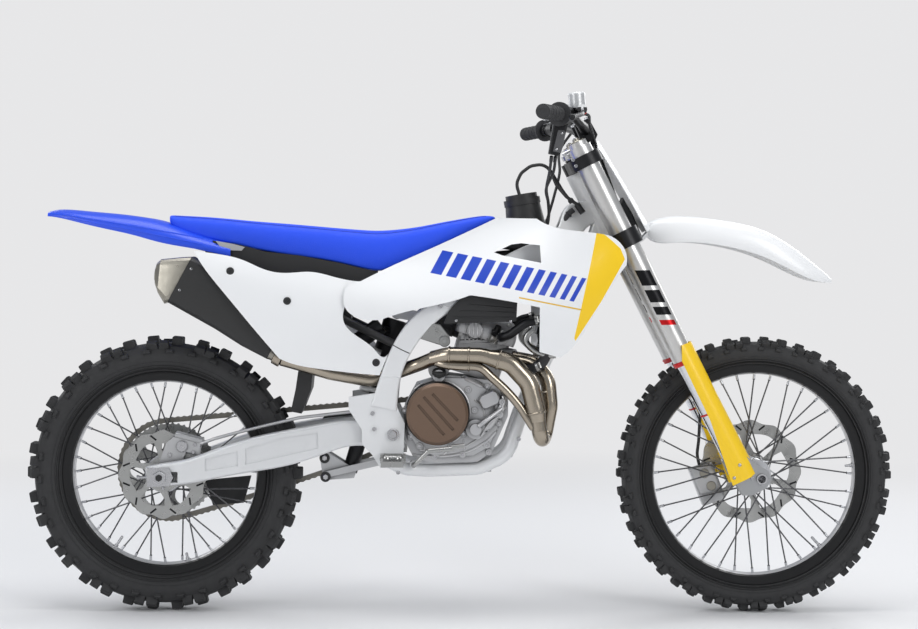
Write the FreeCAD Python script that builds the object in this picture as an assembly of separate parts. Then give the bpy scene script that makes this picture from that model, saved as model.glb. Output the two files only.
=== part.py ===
import FreeCAD, Part
import math
import os

from FreeCAD import Placement, Rotation, Vector

# Motocross bike in millimetres: +X forward, +Y left, +Z up.
# It is drawn over the ground, with the rear axle above x = 0, and saved with its origin on the seat.

# Driving dimensions
WHEELBASE = 1485.0
BODY_HEIGHT = 1000.0            # level of the fender's tail, which the bodywork's heights follow
BODY_HALF = 100.0               # half the width of the body under the seat, which its widths follow
HEAD_ANGLE = 63.3               # degrees, steering axis to the ground
CLAMP_OFFSET = 22.0             # fork tubes ahead of the steering axis
AXLE_LEAD = 40.0                # front axle ahead of the fork tubes
LEG_SPREAD = 107.0              # fork tube to the middle plane
FORK_LENGTH = 934.0             # front axle's level to the outer tubes' tops
HAND = 100.0                    # width of a hand, which the controls on the bar follow
FIT = 0.3                       # seat between two pieces that stay together
RUN_GAP = 0.8                   # gap between a pin and what turns on it
FULL_TURN = 360                 # degrees
OVERRUN = 400.0                 # how far cutting tools pass the stock
SKIN = 3.0                      # moulded plastic wall
SEAT_LOW_SHARES = (0.3636, 0.957)

# Wheels
FRONT_RADIUS = 348.0
FRONT_HALF_WIDTH = 44.0
FRONT_BEAD = 266.7              # 21 inch rim
FRONT_RIM_INNER = 253.0
FRONT_RIM_HALF = 26.0
FRONT_FLANGE = 279.0
FRONT_LUGS = 46
FRONT_BARREL = 24.0
FRONT_HUB_FLANGE = 34.0
FRONT_HUB_HALF = 60.0
FRONT_LACE_HALF = 33.0
FRONT_AXLE_RADIUS = 13.0
FRONT_AXLE_BORE = 9.5
FRONT_AXLE_HALF = 134.0
FRONT_DISC_RADIUS = 130.0
FRONT_DISC_Y = 52.0
FRONT_WAVES = 14
REAR_RADIUS = 346.0
REAR_HALF_WIDTH = 52.0
REAR_BEAD = 241.3               # 19 inch rim
REAR_RIM_INNER = 229.0
REAR_RIM_HALF = 31.0
REAR_FLANGE = 254.0
REAR_LUGS = 34
REAR_BARREL = 27.0
REAR_HUB_FLANGE = 42.0
REAR_HUB_HALF = 62.0
REAR_HUB_LEFT = 70.0
REAR_LACE_HALF = 36.0
REAR_AXLE_RADIUS = 12.5
REAR_AXLE_BORE = 8.5
REAR_AXLE_HALF = 134.0
REAR_DISC_RADIUS = 110.0
REAR_DISC_Y = -54.0
REAR_WAVES = 12
COLLAR_WALL = 6.5               # spacer collars and nuts outside the axles
LUG_HEIGHT = 12.0
SPOKES = 36
SPOKE_LEAN = 62.0               # degrees between a spoke's foot and its nipple
SPOKE_RADIUS = 1.9
NIPPLE_RADIUS = 3.2
NIPPLE_LENGTH = 13.0
HUB_WEB = 5.0
DISC_THICK = 4.0
DISC_WINDOWS = 6
RIM_LIP = 4.0
RIM_WALL = 3.5
CARCASS_SHARE = 0.93            # carcass in shares of the tyre's half width
WALL_SHARES = ((1.0, 0.52), (0.76, 0.91))
WIDE_LUG_SHARES = ((0.98, 0.66), (0.92, 0.88), (0.36, 1.0))
NARROW_LUG_SHARES = ((0.56, 0.80), (0.48, 0.98))
LUG_LENGTH_SHARE = 0.44         # a lug in shares of the lugs' pitch
BARREL_END_SHARE = 0.9          # the hub's ends, which the disc and the sprocket sit on

# Chain drive
CHAIN_PITCH = 15.875
CHAIN_Y = 66.0
CHAIN_HEIGHT = 14.0
CHAIN_HALF = 7.5
REAR_TEETH = 50
FRONT_TEETH = 13
SPROCKET_THICK = 5.5
SPROCKET_WINDOWS = 6
TOOTH_SETBACK = 6.4             # teeth end inside the chain's rollers
SHAFT_RADIUS = 12.0
COUNTERSHAFT_SHARES = (0.4323, 0.498)

# Fork and steering, measured up the steering axis from the level of the front axle
INNER_TUBE_RADIUS = 24.0
INNER_TUBE_TOP = 410.0
OUTER_TUBE_RADIUS = 29.5
OUTER_TUBE_LOW_RADIUS = 28.0
OUTER_TUBE_FROM = 350.0
OUTER_TAPER_AT = 600.0
FORK_CAP_HEIGHT = 13.0
FORK_CAP_RADIUS = 23.5
SEAL_HEIGHT = 12.0
SEAL_WALL = 1.5
FEET_ABOVE = 78.0
FOOT_WIDE = 40.0
FOOT_BOSS_WALL = 4.0
FOOT_BOSS_REACH = 9.0
FOOT_TUBE_SINK = 2.0
GUARD_THICK = 3.0
GUARD_CLEAR = 8.0
LOWER_CLAMP_FROM = 660.0
LOWER_CLAMP_HEIGHT = 42.0
LOWER_CLAMP_BACK = 36.0
UPPER_CLAMP_FROM = 882.0
UPPER_CLAMP_HEIGHT = 30.0
UPPER_CLAMP_BACK = 30.0
CLAMP_WALL = 11.0
CLAMP_SLOT = 4.0
STEM_RADIUS = 15.0
STEM_BORE = 10.0
STEM_RISE = 6.0                 # stem above the upper clamp
HEAD_TUBE_RADIUS = 31.0
HEAD_SEAL = 1.5                 # gap at each end of the steering head
GUARD_ANGLES = (-105, -75, -38, 0, 40, 80)

# Handlebar and controls
BAR_RADIUS = 14.3
BAR_END_RADIUS = 11.1
BAR_WALL = 2.5
BAR_RISE = 54.0                 # bar above the upper clamp's top
BAR_AHEAD = 38.0                # bar ahead of the fork tubes
BAR_HALF = 400.0
BAR_FLAT_HALF = 62.0
BAR_BEND_HALF = 175.0
BAR_BEND_BACK = 38.0
BAR_LIFT = 24.0
BAR_SWEEP = 126.0
BAR_BEND_RADIUS = 60.0
BAR_CLAMP_WIDE = 26.0
BAR_CLAMP_DEEP = 44.0
BAR_CLAMP_WALL = 9.0
GRIP_RADIUS = 16.5
GRIP_LENGTH = 126.0
GRIP_END = 4.0
GRIP_FLANGE = 29.0
GRIP_FLANGE_THICK = 5.0
GRIP_GAP = 1.0
LEVER_RADIUS = 5.5
LEVER_BALL = 8.0
HOSE_RADIUS = 4.0
CABLE_RADIUS = 3.6

# Frame and swingarm
PIVOT_SHARES = (0.3872, 0.455)
PIVOT_RADIUS = 21.0
PIVOT_PIN = 10.0
PIVOT_PIN_REACH = 5.0
PLATE_INNER = 112.0
PLATE_THICK = 16.0
SWINGARM_Y = 101.0
SWINGARM_WIDE = 34.0
SWINGARM_CORNER = 9.0
POCKET_DEPTH = 5.0
SLOT_LONG = 44.0
SLOT_SHORT = 20.0
ADJUSTER_THICK = 8.0
SPAR_CORNER = 6.0
DOWN_TUBE_CORNER = 8.0
CRADLE_RADIUS = 16.0
CRADLE_BEND = 70.0
ENGINE_BAR = 9.0
FRAME_BAR = 14.0
PLATE_BAR = 10.0
SHOCK_TOP_SHARES = (0.392, 0.752)
SHOCK_FOOT_SHARES = (0.312, 0.350)
SHOCK_EYE_HALF = 21.0
SHOCK_EAR = 9.0
SHOCK_PIN = 6.0
RAIL_RADIUS = 10.0
RAIL_BEND = 60.0
RAIL_BAR = 9.0
POST_RADIUS = 7.0


def spot(along_share, up_share, side_share=0.0):
    """A place in shares of the wheelbase ahead of the rear axle, of the body's height and of its half width."""
    return Vector(along_share * WHEELBASE, side_share * BODY_HALF, up_share * BODY_HEIGHT)


def route(shares):
    """The places of a table of (along, up, side) shares."""
    return [spot(*row) for row in shares]


REAR_AXLE = Vector(0, 0, REAR_RADIUS)
FRONT_AXLE = Vector(WHEELBASE, 0, FRONT_RADIUS)
PIVOT = spot(*PIVOT_SHARES)
COUNTERSHAFT = spot(*COUNTERSHAFT_SHARES)
SHOCK_TOP = spot(*SHOCK_TOP_SHARES)
SHOCK_FOOT = spot(*SHOCK_FOOT_SHARES)
RIDER = spot(*SEAT_LOW_SHARES)
UP_FORK = Vector(-math.cos(math.radians(HEAD_ANGLE)), 0, math.sin(math.radians(HEAD_ANGLE)))
OFF_FORK = Vector(UP_FORK.z, 0, -UP_FORK.x)
SIDEWAYS = Vector(0, 1, 0)
CENTRE = Vector(0, 0, 0)
REAR_PITCH_RADIUS = CHAIN_PITCH / (2 * math.sin(math.pi / REAR_TEETH))
FRONT_PITCH_RADIUS = CHAIN_PITCH / (2 * math.sin(math.pi / FRONT_TEETH))
PLATE_OUTER = PLATE_INNER + PLATE_THICK


def on_fork(up, off, side=0.0):
    """A place by the fork: up the steering axis, off it to the front, and to the left."""
    foot = FRONT_AXLE - OFF_FORK * (CLAMP_OFFSET + AXLE_LEAD)
    return foot + UP_FORK * up + OFF_FORK * off + Vector(0, side, 0)


def fork_spot(up_share, off_share, side_share=0.0):
    """A place by the fork, in shares of the fork's length and of the fork tubes' distance from the middle."""
    return on_fork(up_share * FORK_LENGTH, off_share * LEG_SPREAD, side_share * LEG_SPREAD)


def fork_route(shares):
    """The places of a table of (up, off, side) shares by the fork."""
    return [fork_spot(*row) for row in shares]


def by_hand(place, ahead_share, side_share, up_share):
    """A place near a control, in shares of a hand's width."""
    return place + Vector(ahead_share, side_share, up_share) * HAND


def mirrored_place(place):
    """The same place on the other side."""
    return Vector(place.x, -place.y, place.z)


def joined(pieces):
    """All pieces fused into one shape, with the seams of its faces taken out."""
    first = pieces[0]
    rest = pieces[1:]
    return first.fuse(rest).removeSplitter() if rest else first


def group(pieces):
    """Pieces side by side in one node."""
    return Part.makeCompound(pieces)


def mirrored(shape):
    """The same piece on the other side of the bike."""
    return shape.mirror(CENTRE, SIDEWAYS)


def with_mirror(pieces):
    """The pieces and their mirror images."""
    return pieces + [mirrored(piece) for piece in pieces]


def both_sides(shape):
    """A piece and its mirror image as one node."""
    return group([shape, mirrored(shape)])


def rod(start, end, radius):
    """A round bar between two places."""
    return Part.makeCylinder(radius, (end - start).Length, start, end - start)


def cone(start, end, start_radius, end_radius):
    """A tapered round bar between two places."""
    return Part.makeCone(start_radius, end_radius, (end - start).Length, start, end - start)


def across(place, radius, low, high):
    """A round bar across the bike at a place of the side view."""
    return rod(Vector(place.x, low, place.z), Vector(place.x, high, place.z), radius)


def through(place, radius):
    """A cutting tool right across the bike."""
    return across(place, radius, -OVERRUN, OVERRUN)


def polygon(points):
    """A closed wire with straight sides."""
    return Part.makePolygon(list(points) + [points[0]])


def spline(points):
    """A smooth edge through the points."""
    curve = Part.BSplineCurve()
    curve.interpolate(points)
    return curve.toShape()


def smooth(points, corners):
    """A closed wire through the points: smooth between the corners, whose indexes are given."""
    count = len(points)
    edges = []
    for number, start in enumerate(corners):
        stop = corners[(number + 1) % len(corners)]
        if stop <= start:
            stop += count
        run = [points[index % count] for index in range(start, stop + 1)]
        edges.append(Part.makeLine(run[0], run[1]) if len(run) == 2 else spline(run))
    return Part.Wire(edges)


def slab(wire, low, high):
    """A prism across the bike from a closed wire of the side view."""
    face = Part.Face(wire)
    face.translate(Vector(0, low, 0))
    return face.extrude(Vector(0, high - low, 0))


def flat_piece(points, low, high):
    """A prism with a straight-sided outline."""
    return slab(polygon([Vector(point.x, 0, point.z) for point in points]), low, high)


WIDEST_SHARE = 0.48


def bent_path(points, bend):
    """Straight runs joined by tangent arcs, each no larger than its shorter run allows."""
    edges = []
    start = points[0]
    for number in range(1, len(points) - 1):
        corner = points[number]
        back = points[number - 1] - corner
        ahead = points[number + 1] - corner
        shorter = min(back.Length, ahead.Length)
        back.normalize()
        ahead.normalize()
        half_turn = (math.pi - back.getAngle(ahead)) / 2
        radius = min(bend, WIDEST_SHARE * shorter / math.tan(half_turn))
        leg = radius * math.tan(half_turn)
        inward = (back + ahead).normalize()
        middle = corner + inward * (radius / math.cos(half_turn) - radius)
        edges.append(Part.makeLine(start, corner + back * leg))
        edges.append(Part.Arc(corner + back * leg, middle, corner + ahead * leg).toShape())
        start = corner + ahead * leg
    edges.append(Part.makeLine(start, points[-1]))
    return Part.Wire(edges)


def tube(points, radius, bend):
    """A round tube along bent runs."""
    section = Part.Wire([Part.makeCircle(radius, points[0], points[1] - points[0])])
    return bent_path(points, bend).makePipeShell([section], True, False)


def block_section(middle, forward, wide, high, corner):
    """A rounded oblong wire, square to a direction of the side view."""
    forward = Vector(forward.x, forward.y, forward.z).normalize()
    up = forward.cross(SIDEWAYS).normalize()
    half_wide = wide / 2 - corner
    half_high = high / 2 - corner
    slant = corner * math.sqrt(0.5)
    corners = []
    for number, (side, level) in enumerate(((1, 1), (-1, 1), (-1, -1), (1, -1))):
        knot = middle + SIDEWAYS * (side * half_wide) + up * (level * half_high)
        from_side = knot + SIDEWAYS * (side * corner)
        from_level = knot + up * (level * corner)
        on_corner = knot + SIDEWAYS * (side * slant) + up * (level * slant)
        first, last = (from_side, from_level) if number % 2 == 0 else (from_level, from_side)
        corners.append((first, on_corner, last))
    wire = []
    for number, (first, on_corner, last) in enumerate(corners):
        following = corners[(number + 1) % len(corners)][0]
        wire.append(Part.Arc(first, on_corner, last).toShape())
        wire.append(Part.makeLine(last, following))
    return Part.Wire(wire)


def beam(stations, corner):
    """A rounded oblong bar lofted through stations of (middle, wide, high)."""
    wires = []
    for number, (middle, wide, high) in enumerate(stations):
        before = stations[max(number - 1, 0)][0]
        after = stations[min(number + 1, len(stations) - 1)][0]
        wires.append(block_section(middle, after - before, wide, high, corner))
    return Part.makeLoft(wires, True, False)


def stations_of(shares):
    """Stations from rows of (along, up, side, wide, high), the last three in shares of the body's half width."""
    return [(spot(along, up, side), wide * BODY_HALF, high * BODY_HALF) for along, up, side, wide,
            high in shares]


def revolved(profile, place, corners=None):
    """A turned form across the bike from a closed profile of (side, radius) points, about a place."""
    points = [Vector(0, side, radius) for side, radius in profile]
    wire = polygon(points) if corners is None else smooth(points, corners)
    solid = Part.Face(wire).revolve(CENTRE, SIDEWAYS, FULL_TURN)
    solid.translate(place)
    return solid


def between(line, at):
    """The value at a place of a line of (place, value) pairs."""
    for (start, low), (stop, high) in zip(line, line[1:]):
        if at <= stop:
            return low + (high - low) * (at - start) / (stop - start)
    return line[-1][1]


def even_rows(rows, count):
    """Rows of (along, values...) read off at even steps, so that a loft through them stays calm."""
    first = rows[0][0]
    step = (rows[-1][0] - first) / (count - 1)
    columns = [[(row[0], row[column]) for row in rows] for column in range(1, len(rows[0]))]
    places = [first + step * number for number in range(count)]
    return [[at] + [between(line, at) for line in columns] for at in places]


ARCH_SHARES = ((-1.0, 0.0), (-0.97, 0.55), (-0.8, 0.93), (0.0, 1.0), (0.8, 0.93), (0.97, 0.55), (1.0, 0.0))


def arch_points(middle, half_wide, drop, crown, inset):
    """The places of one curve of an arch, moved inward by an inset."""
    low = middle.z - drop
    height = drop - inset
    points = []
    for side_share, up_share in ARCH_SHARES:
        lift = crown * (1 - side_share * side_share) * up_share
        points.append(Vector(middle.x, side_share * (half_wide - inset),
                             low + up_share * (height - crown) + lift))
    return points


def arch(middle, half_wide, drop, crown):
    """An upside-down channel section across the bike, one skin thick."""
    outer = arch_points(middle, half_wide, drop, crown, 0)
    inner = arch_points(middle, half_wide, drop, crown, SKIN)
    ends = [Part.makeLine(outer[-1], inner[-1]), Part.makeLine(inner[0], outer[0])]
    return Part.Wire([spline(outer), ends[0], spline(inner), ends[1]])


def panel_surface(along_shares, rows):
    """A surface of the right side through rows of (up share, side shares)."""
    grid = [[spot(along, up, -side) for along, side in zip(along_shares, sides)] for up, sides in rows]
    surface = Part.BSplineSurface()
    surface.interpolate(grid)
    return surface.toShape()


def panel(surface, outline, bosses):
    """A moulded panel of the right side: a skin cut to an outline, with bosses that end at the skin."""
    stock = surface.extrude(Vector(0, SKIN, 0)).common(slab(outline, -OVERRUN, 0))
    outside = surface.extrude(Vector(0, -OVERRUN, 0))
    return joined([stock] + [boss.cut(outside) for boss in bosses])


def save(name, shape):
    """Write one node, moved so that its origin lies on the seat."""
    placed = shape.copy()
    placed.translate(RIDER * -1)
    placed.exportStep("parts/" + name + ".step")


# Wheels

def lug(radius, half_width, bead, shares, long):
    """One tread lug: a bar across the top of a wheel that stands at the origin."""
    right = [Vector(-long / 2, side * half_width, bead + up * (radius - bead)) for side, up in shares]
    left = [mirrored_place(point) for point in reversed(right)]
    return Part.Face(polygon(right + left)).extrude(Vector(long, 0, 0))


def tyre(place, radius, half_width, bead, flange, rim_half, lugs):
    """A solid tyre with wide and narrow lugs in turn, out to their tips."""
    seat = rim_half - RIM_LIP - FIT
    clear = flange + 2 * FIT
    crown = radius - LUG_HEIGHT
    wall = half_width * CARCASS_SHARE
    right = [(wall * side, bead + up * (crown - bead)) for side, up in WALL_SHARES]
    left = [(-side, reach) for side, reach in right]
    profile = [(-seat, bead), (-seat, clear)] + left + [(0, crown)] + right[::-1] + [(seat, clear),
                                                                                     (seat, bead)]
    carcass = revolved(profile, CENTRE)
    long = 2 * math.pi * radius / lugs * LUG_LENGTH_SHARE
    bars = []
    for number in range(lugs):
        shares = WIDE_LUG_SHARES if number % 2 == 0 else NARROW_LUG_SHARES
        bar = lug(radius, half_width, bead, shares, long)
        bar.rotate(CENTRE, SIDEWAYS, number * FULL_TURN / lugs)
        bars.append(bar)
    whole = carcass.fuse(bars)
    whole.translate(place)
    return whole


WELL_SHARE = 0.22
RIM_SHARES = (0.42, 0.50, 0.34)


def rim(place, inner, bead, flange, half):
    """A drop-centre rim with its two flanges."""
    well = inner + (flange - inner) * WELL_SHARE
    floor, shoulder, drop = [share * half for share in RIM_SHARES]
    seat = bead - FIT
    lip = half - RIM_LIP
    right = [
        (floor, inner), (half - RIM_LIP / 2, well), (half, flange - RIM_LIP), (half, flange), (lip, flange),
        (lip, seat), (shoulder, seat), (drop, inner + RIM_WALL),
    ]
    left = [(-side, reach) for side, reach in reversed(right)]
    return revolved(right + left, place)


SPOKE_GROUP = 4
SPOKE_STEP_SHARE = 2.4
SPOKE_REACH_SHARE = 0.2
NIPPLE_SINK_SHARE = 0.4
HUB_SHARES = (1.6, 2.4)


def spoke_set(lace_radius, lace_half, rim_inner):
    """Crossed spokes from the hub's flanges to the rim, with their nipples."""
    pieces = []
    lean = math.radians(SPOKE_LEAN)
    reach = rim_inner - FIT
    for number in range(SPOKES):
        at_rim = number * 2 * math.pi / SPOKES
        side = 1 if number % 2 == 0 else -1
        turn = 1 if number % SPOKE_GROUP < SPOKE_GROUP / 2 else -1
        depth = lace_half if turn > 0 else lace_half - SPOKE_RADIUS * SPOKE_STEP_SHARE
        at_hub = at_rim + turn * lean
        inner = Vector(math.cos(at_hub) * lace_radius, side * depth, math.sin(at_hub) * lace_radius)
        outer = Vector(math.cos(at_rim) * reach, side * lace_half * SPOKE_REACH_SHARE,
                       math.sin(at_rim) * reach)
        along = (outer - inner).normalize()
        stop = outer - along * (NIPPLE_RADIUS * NIPPLE_SINK_SHARE)
        pieces.append(rod(inner, stop, SPOKE_RADIUS))
        pieces.append(rod(stop - along * NIPPLE_LENGTH, stop, NIPPLE_RADIUS))
    return pieces


def hub(place, barrel, flange, half, left, lace_half, bore, rim_inner):
    """A hub with two laced flanges, its spokes and nipples, and a seat at each end."""
    seat = barrel * BARREL_END_SHARE
    lace = flange + HUB_WEB
    outer = lace_half + HUB_WEB
    inner, foot = [lace_half - HUB_WEB * share for share in HUB_SHARES]
    profile = [
        (-half, bore), (left, bore), (left, seat), (outer, seat), (outer, lace), (inner, lace),
        (foot, barrel),
        (-foot, barrel), (-inner, lace), (-outer, lace), (-outer, seat), (-half, seat),
    ]
    whole = joined([revolved(profile, CENTRE)] + spoke_set(flange, lace_half, rim_inner))
    whole.translate(place)
    return whole


def on_circle(reach, angle):
    """A place round the origin in the side view."""
    return Vector(math.cos(angle) * reach, 0, math.sin(angle) * reach)


DISC_SHARES = (0.95, 0.55, 0.17, 0.028)
HOLE_RING_SHARES = (0.82, 0.90)
TOOTH_DEPTH_SHARE = 0.22
TOOTH_SHARES = (0.32, 0.10)
SPROCKET_WINDOW_SHARES = (0.66, 0.21)


def wavy_disc(place, radius, seat, middle_y, waves):
    """A brake disc with a wavy edge, round windows and two rings of holes."""
    valley_share, window_at_share, window_share, hole_share = DISC_SHARES
    points = []
    for number in range(waves * 2):
        reach = radius if number % 2 == 0 else radius * valley_share
        points.append(on_circle(reach, math.pi * number / waves))
    curve = Part.BSplineCurve()
    curve.interpolate(Points=points, PeriodicFlag=True)
    body = slab(Part.Wire([curve.toShape()]), middle_y - DISC_THICK / 2, middle_y + DISC_THICK / 2)
    tools = [through(CENTRE, seat)]
    for number in range(DISC_WINDOWS):
        at = on_circle(radius * window_at_share, 2 * math.pi * number / DISC_WINDOWS)
        tools.append(through(at, radius * window_share))
    for number in range(waves * 2):
        at = on_circle(radius * HOLE_RING_SHARES[number % 2], math.pi * (number + 0.5) / waves)
        tools.append(through(at, radius * hole_share))
    whole = body.cut(tools)
    whole.translate(place)
    return whole


def sprocket(place, teeth, pitch_radius, bore, windows):
    """A chain sprocket with teeth, windows and a bore."""
    tip = pitch_radius - TOOTH_SETBACK
    root = tip - CHAIN_PITCH * TOOTH_DEPTH_SHARE
    window_at_share, window_share = SPROCKET_WINDOW_SHARES
    low, high = TOOTH_SHARES
    points = []
    for number in range(teeth):
        for share, reach in ((-low, root), (-high, tip), (high, tip), (low, root)):
            points.append(on_circle(reach, 2 * math.pi * (number + share) / teeth))
    body = flat_piece(points, CHAIN_Y - SPROCKET_THICK / 2, CHAIN_Y + SPROCKET_THICK / 2)
    tools = [through(CENTRE, bore)]
    for number in range(windows):
        at = on_circle(root * window_at_share, 2 * math.pi * number / windows)
        tools.append(through(at, root * window_share))
    whole = body.cut(tools)
    whole.translate(place)
    return whole


def front_wheel():
    """Save the front wheel's nodes."""
    seat = FRONT_BARREL * BARREL_END_SHARE + FIT
    bore = FRONT_AXLE_RADIUS + RUN_GAP
    save("front_tyre", tyre(FRONT_AXLE, FRONT_RADIUS, FRONT_HALF_WIDTH, FRONT_BEAD, FRONT_FLANGE,
                            FRONT_RIM_HALF,
                            FRONT_LUGS))
    save("front_rim", rim(FRONT_AXLE, FRONT_RIM_INNER, FRONT_BEAD, FRONT_FLANGE, FRONT_RIM_HALF))
    save("front_hub", hub(FRONT_AXLE, FRONT_BARREL, FRONT_HUB_FLANGE, FRONT_HUB_HALF, FRONT_HUB_HALF,
                          FRONT_LACE_HALF,
                          bore, FRONT_RIM_INNER))
    save("front_disc", wavy_disc(FRONT_AXLE, FRONT_DISC_RADIUS, seat, FRONT_DISC_Y, FRONT_WAVES))


def rear_wheel():
    """Save the rear wheel's nodes."""
    seat = REAR_BARREL * BARREL_END_SHARE + FIT
    bore = REAR_AXLE_RADIUS + RUN_GAP
    save("rear_tyre", tyre(REAR_AXLE, REAR_RADIUS, REAR_HALF_WIDTH, REAR_BEAD, REAR_FLANGE, REAR_RIM_HALF,
                           REAR_LUGS))
    save("rear_rim", rim(REAR_AXLE, REAR_RIM_INNER, REAR_BEAD, REAR_FLANGE, REAR_RIM_HALF))
    save("rear_hub", hub(REAR_AXLE, REAR_BARREL, REAR_HUB_FLANGE, REAR_HUB_HALF, REAR_HUB_LEFT,
                         REAR_LACE_HALF,
                         bore, REAR_RIM_INNER))
    save("rear_disc", wavy_disc(REAR_AXLE, REAR_DISC_RADIUS, seat, REAR_DISC_Y, REAR_WAVES))
    save("rear_sprocket", sprocket(REAR_AXLE, REAR_TEETH, REAR_PITCH_RADIUS, seat, SPROCKET_WINDOWS))


# Steering

FOOT_SHARES = ((-0.017, 0.019), (0.084, -0.028), (0.084, 0.44), (0.038, 0.655), (0.011, 0.804),
               (-0.015, 0.785),
               (-0.028, 0.579), (-0.028, 0.206))
GUARD_ROW_SHARES = ((-0.009, 1.12), (0.084, 1.1), (0.252, 1.04), (0.42, 1.04))
GUARD_EDGE_SHARES = ((0.413, 0.28), (0.406, 0.748), (0.026, 0.748), (0.019, 0.374), (0.020, -0.093),
                     (0.037, -0.084),
                     (0.2, 0.103), (0.376, 0.121))


def front_axle():
    """Save the hollow front axle with a collar each side of the hub and a head."""
    inner = LEG_SPREAD - FOOT_WIDE / 2 - FIT
    outer = LEG_SPREAD + FOOT_WIDE / 2 + FIT
    body = across(FRONT_AXLE, FRONT_AXLE_RADIUS, -FRONT_AXLE_HALF, FRONT_AXLE_HALF)
    collar = across(FRONT_AXLE, FRONT_AXLE_RADIUS + COLLAR_WALL, FRONT_HUB_HALF + RUN_GAP, inner)
    head = across(FRONT_AXLE, FRONT_AXLE_RADIUS + COLLAR_WALL, outer, FRONT_AXLE_HALF)
    whole = joined([body, collar, mirrored(collar), head])
    save("front_axle", whole.cut(through(FRONT_AXLE, FRONT_AXLE_BORE)))


def foot_outline():
    """The side outline of a fork leg's axle foot."""
    return [fork_spot(up, off) for up, off in FOOT_SHARES]


def fork_leg():
    """The right inner tube with its axle foot."""
    side = -LEG_SPREAD
    inner = rod(on_fork(FEET_ABOVE + FOOT_TUBE_SINK, CLAMP_OFFSET, side),
                on_fork(INNER_TUBE_TOP, CLAMP_OFFSET, side),
                INNER_TUBE_RADIUS)
    foot = flat_piece(foot_outline(), side - FOOT_WIDE / 2, side + FOOT_WIDE / 2)
    boss = rod(on_fork(FEET_ABOVE * 0.55, CLAMP_OFFSET, side),
               on_fork(FEET_ABOVE + FOOT_BOSS_REACH, CLAMP_OFFSET, side), INNER_TUBE_RADIUS + FOOT_BOSS_WALL)
    return joined([foot, boss, inner]).cut(through(FRONT_AXLE, FRONT_AXLE_RADIUS + FIT))


def outer_tube():
    """The right outer tube, bored for the inner one, with its cap."""
    side = -LEG_SPREAD
    low = on_fork(OUTER_TUBE_FROM, CLAMP_OFFSET, side)
    middle = on_fork(OUTER_TAPER_AT, CLAMP_OFFSET, side)
    high = on_fork(FORK_LENGTH, CLAMP_OFFSET, side)
    pieces = [
        cone(low, middle, OUTER_TUBE_LOW_RADIUS, OUTER_TUBE_RADIUS), rod(middle, high, OUTER_TUBE_RADIUS),
        rod(high, high + UP_FORK * FORK_CAP_HEIGHT, FORK_CAP_RADIUS),
    ]
    bore = rod(low - UP_FORK, on_fork(INNER_TUBE_TOP + FOOT_TUBE_SINK, CLAMP_OFFSET, side),
               INNER_TUBE_RADIUS + FIT)
    return joined(pieces).cut(bore)


def fork():
    """Save both fork legs with their seals."""
    save("fork_legs", both_sides(fork_leg()))
    save("fork_tubes", both_sides(outer_tube()))
    top = on_fork(OUTER_TUBE_FROM - FIT, CLAMP_OFFSET, -LEG_SPREAD)
    bottom = on_fork(OUTER_TUBE_FROM - SEAL_HEIGHT, CLAMP_OFFSET, -LEG_SPREAD)
    seal = rod(bottom, top, OUTER_TUBE_LOW_RADIUS + SEAL_WALL).cut(rod(bottom, top, INNER_TUBE_RADIUS + FIT))
    save("fork_seals", both_sides(seal))


def guard_core(reach):
    """A column along the right fork leg whose front is the guard's curve at a reach from the tube's middle."""
    back = CLAMP_OFFSET - OVERRUN / 3
    wires = []
    for up_share, growth in GUARD_ROW_SHARES:
        up = up_share * FORK_LENGTH
        points = []
        for degrees in GUARD_ANGLES:
            angle = math.radians(degrees)
            off = CLAMP_OFFSET + math.cos(angle) * reach * growth
            points.append(on_fork(up, off, math.sin(angle) * reach - LEG_SPREAD))
        left = on_fork(up, back, points[-1].y)
        right = on_fork(up, back, points[0].y)
        wires.append(Part.Wire([spline(points), Part.makeLine(points[-1], left), Part.makeLine(left, right),
                                Part.makeLine(right, points[0])]))
    return Part.makeLoft(wires, True, False)


def fork_guards():
    """Save the two fork guards: bent plates round the front and outside of the inner tubes."""
    side = -LEG_SPREAD
    inner = INNER_TUBE_RADIUS + GUARD_CLEAR
    sheet = guard_core(inner + GUARD_THICK).cut(guard_core(inner))
    edge = [fork_spot(up, off) for up, off in GUARD_EDGE_SHARES]
    foot_room = flat_piece(foot_outline(), side - FOOT_WIDE / 2 - FIT, side + FOOT_WIDE / 2 + FIT)
    bolt = rod(fork_spot(0.12, 0.3, -1), fork_spot(0.12, 0.7, -1), POST_RADIUS)
    post = bolt.common(guard_core(inner + GUARD_THICK / 2))
    post = post.cut(rod(fork_spot(0, 0.2056, -1), fork_spot(0.4, 0.2056, -1), INNER_TUBE_RADIUS + FIT))
    guard = joined([sheet.common(flat_piece(edge, -OVERRUN, 0)).cut(foot_room), post])
    save("fork_guards", both_sides(guard))


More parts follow.
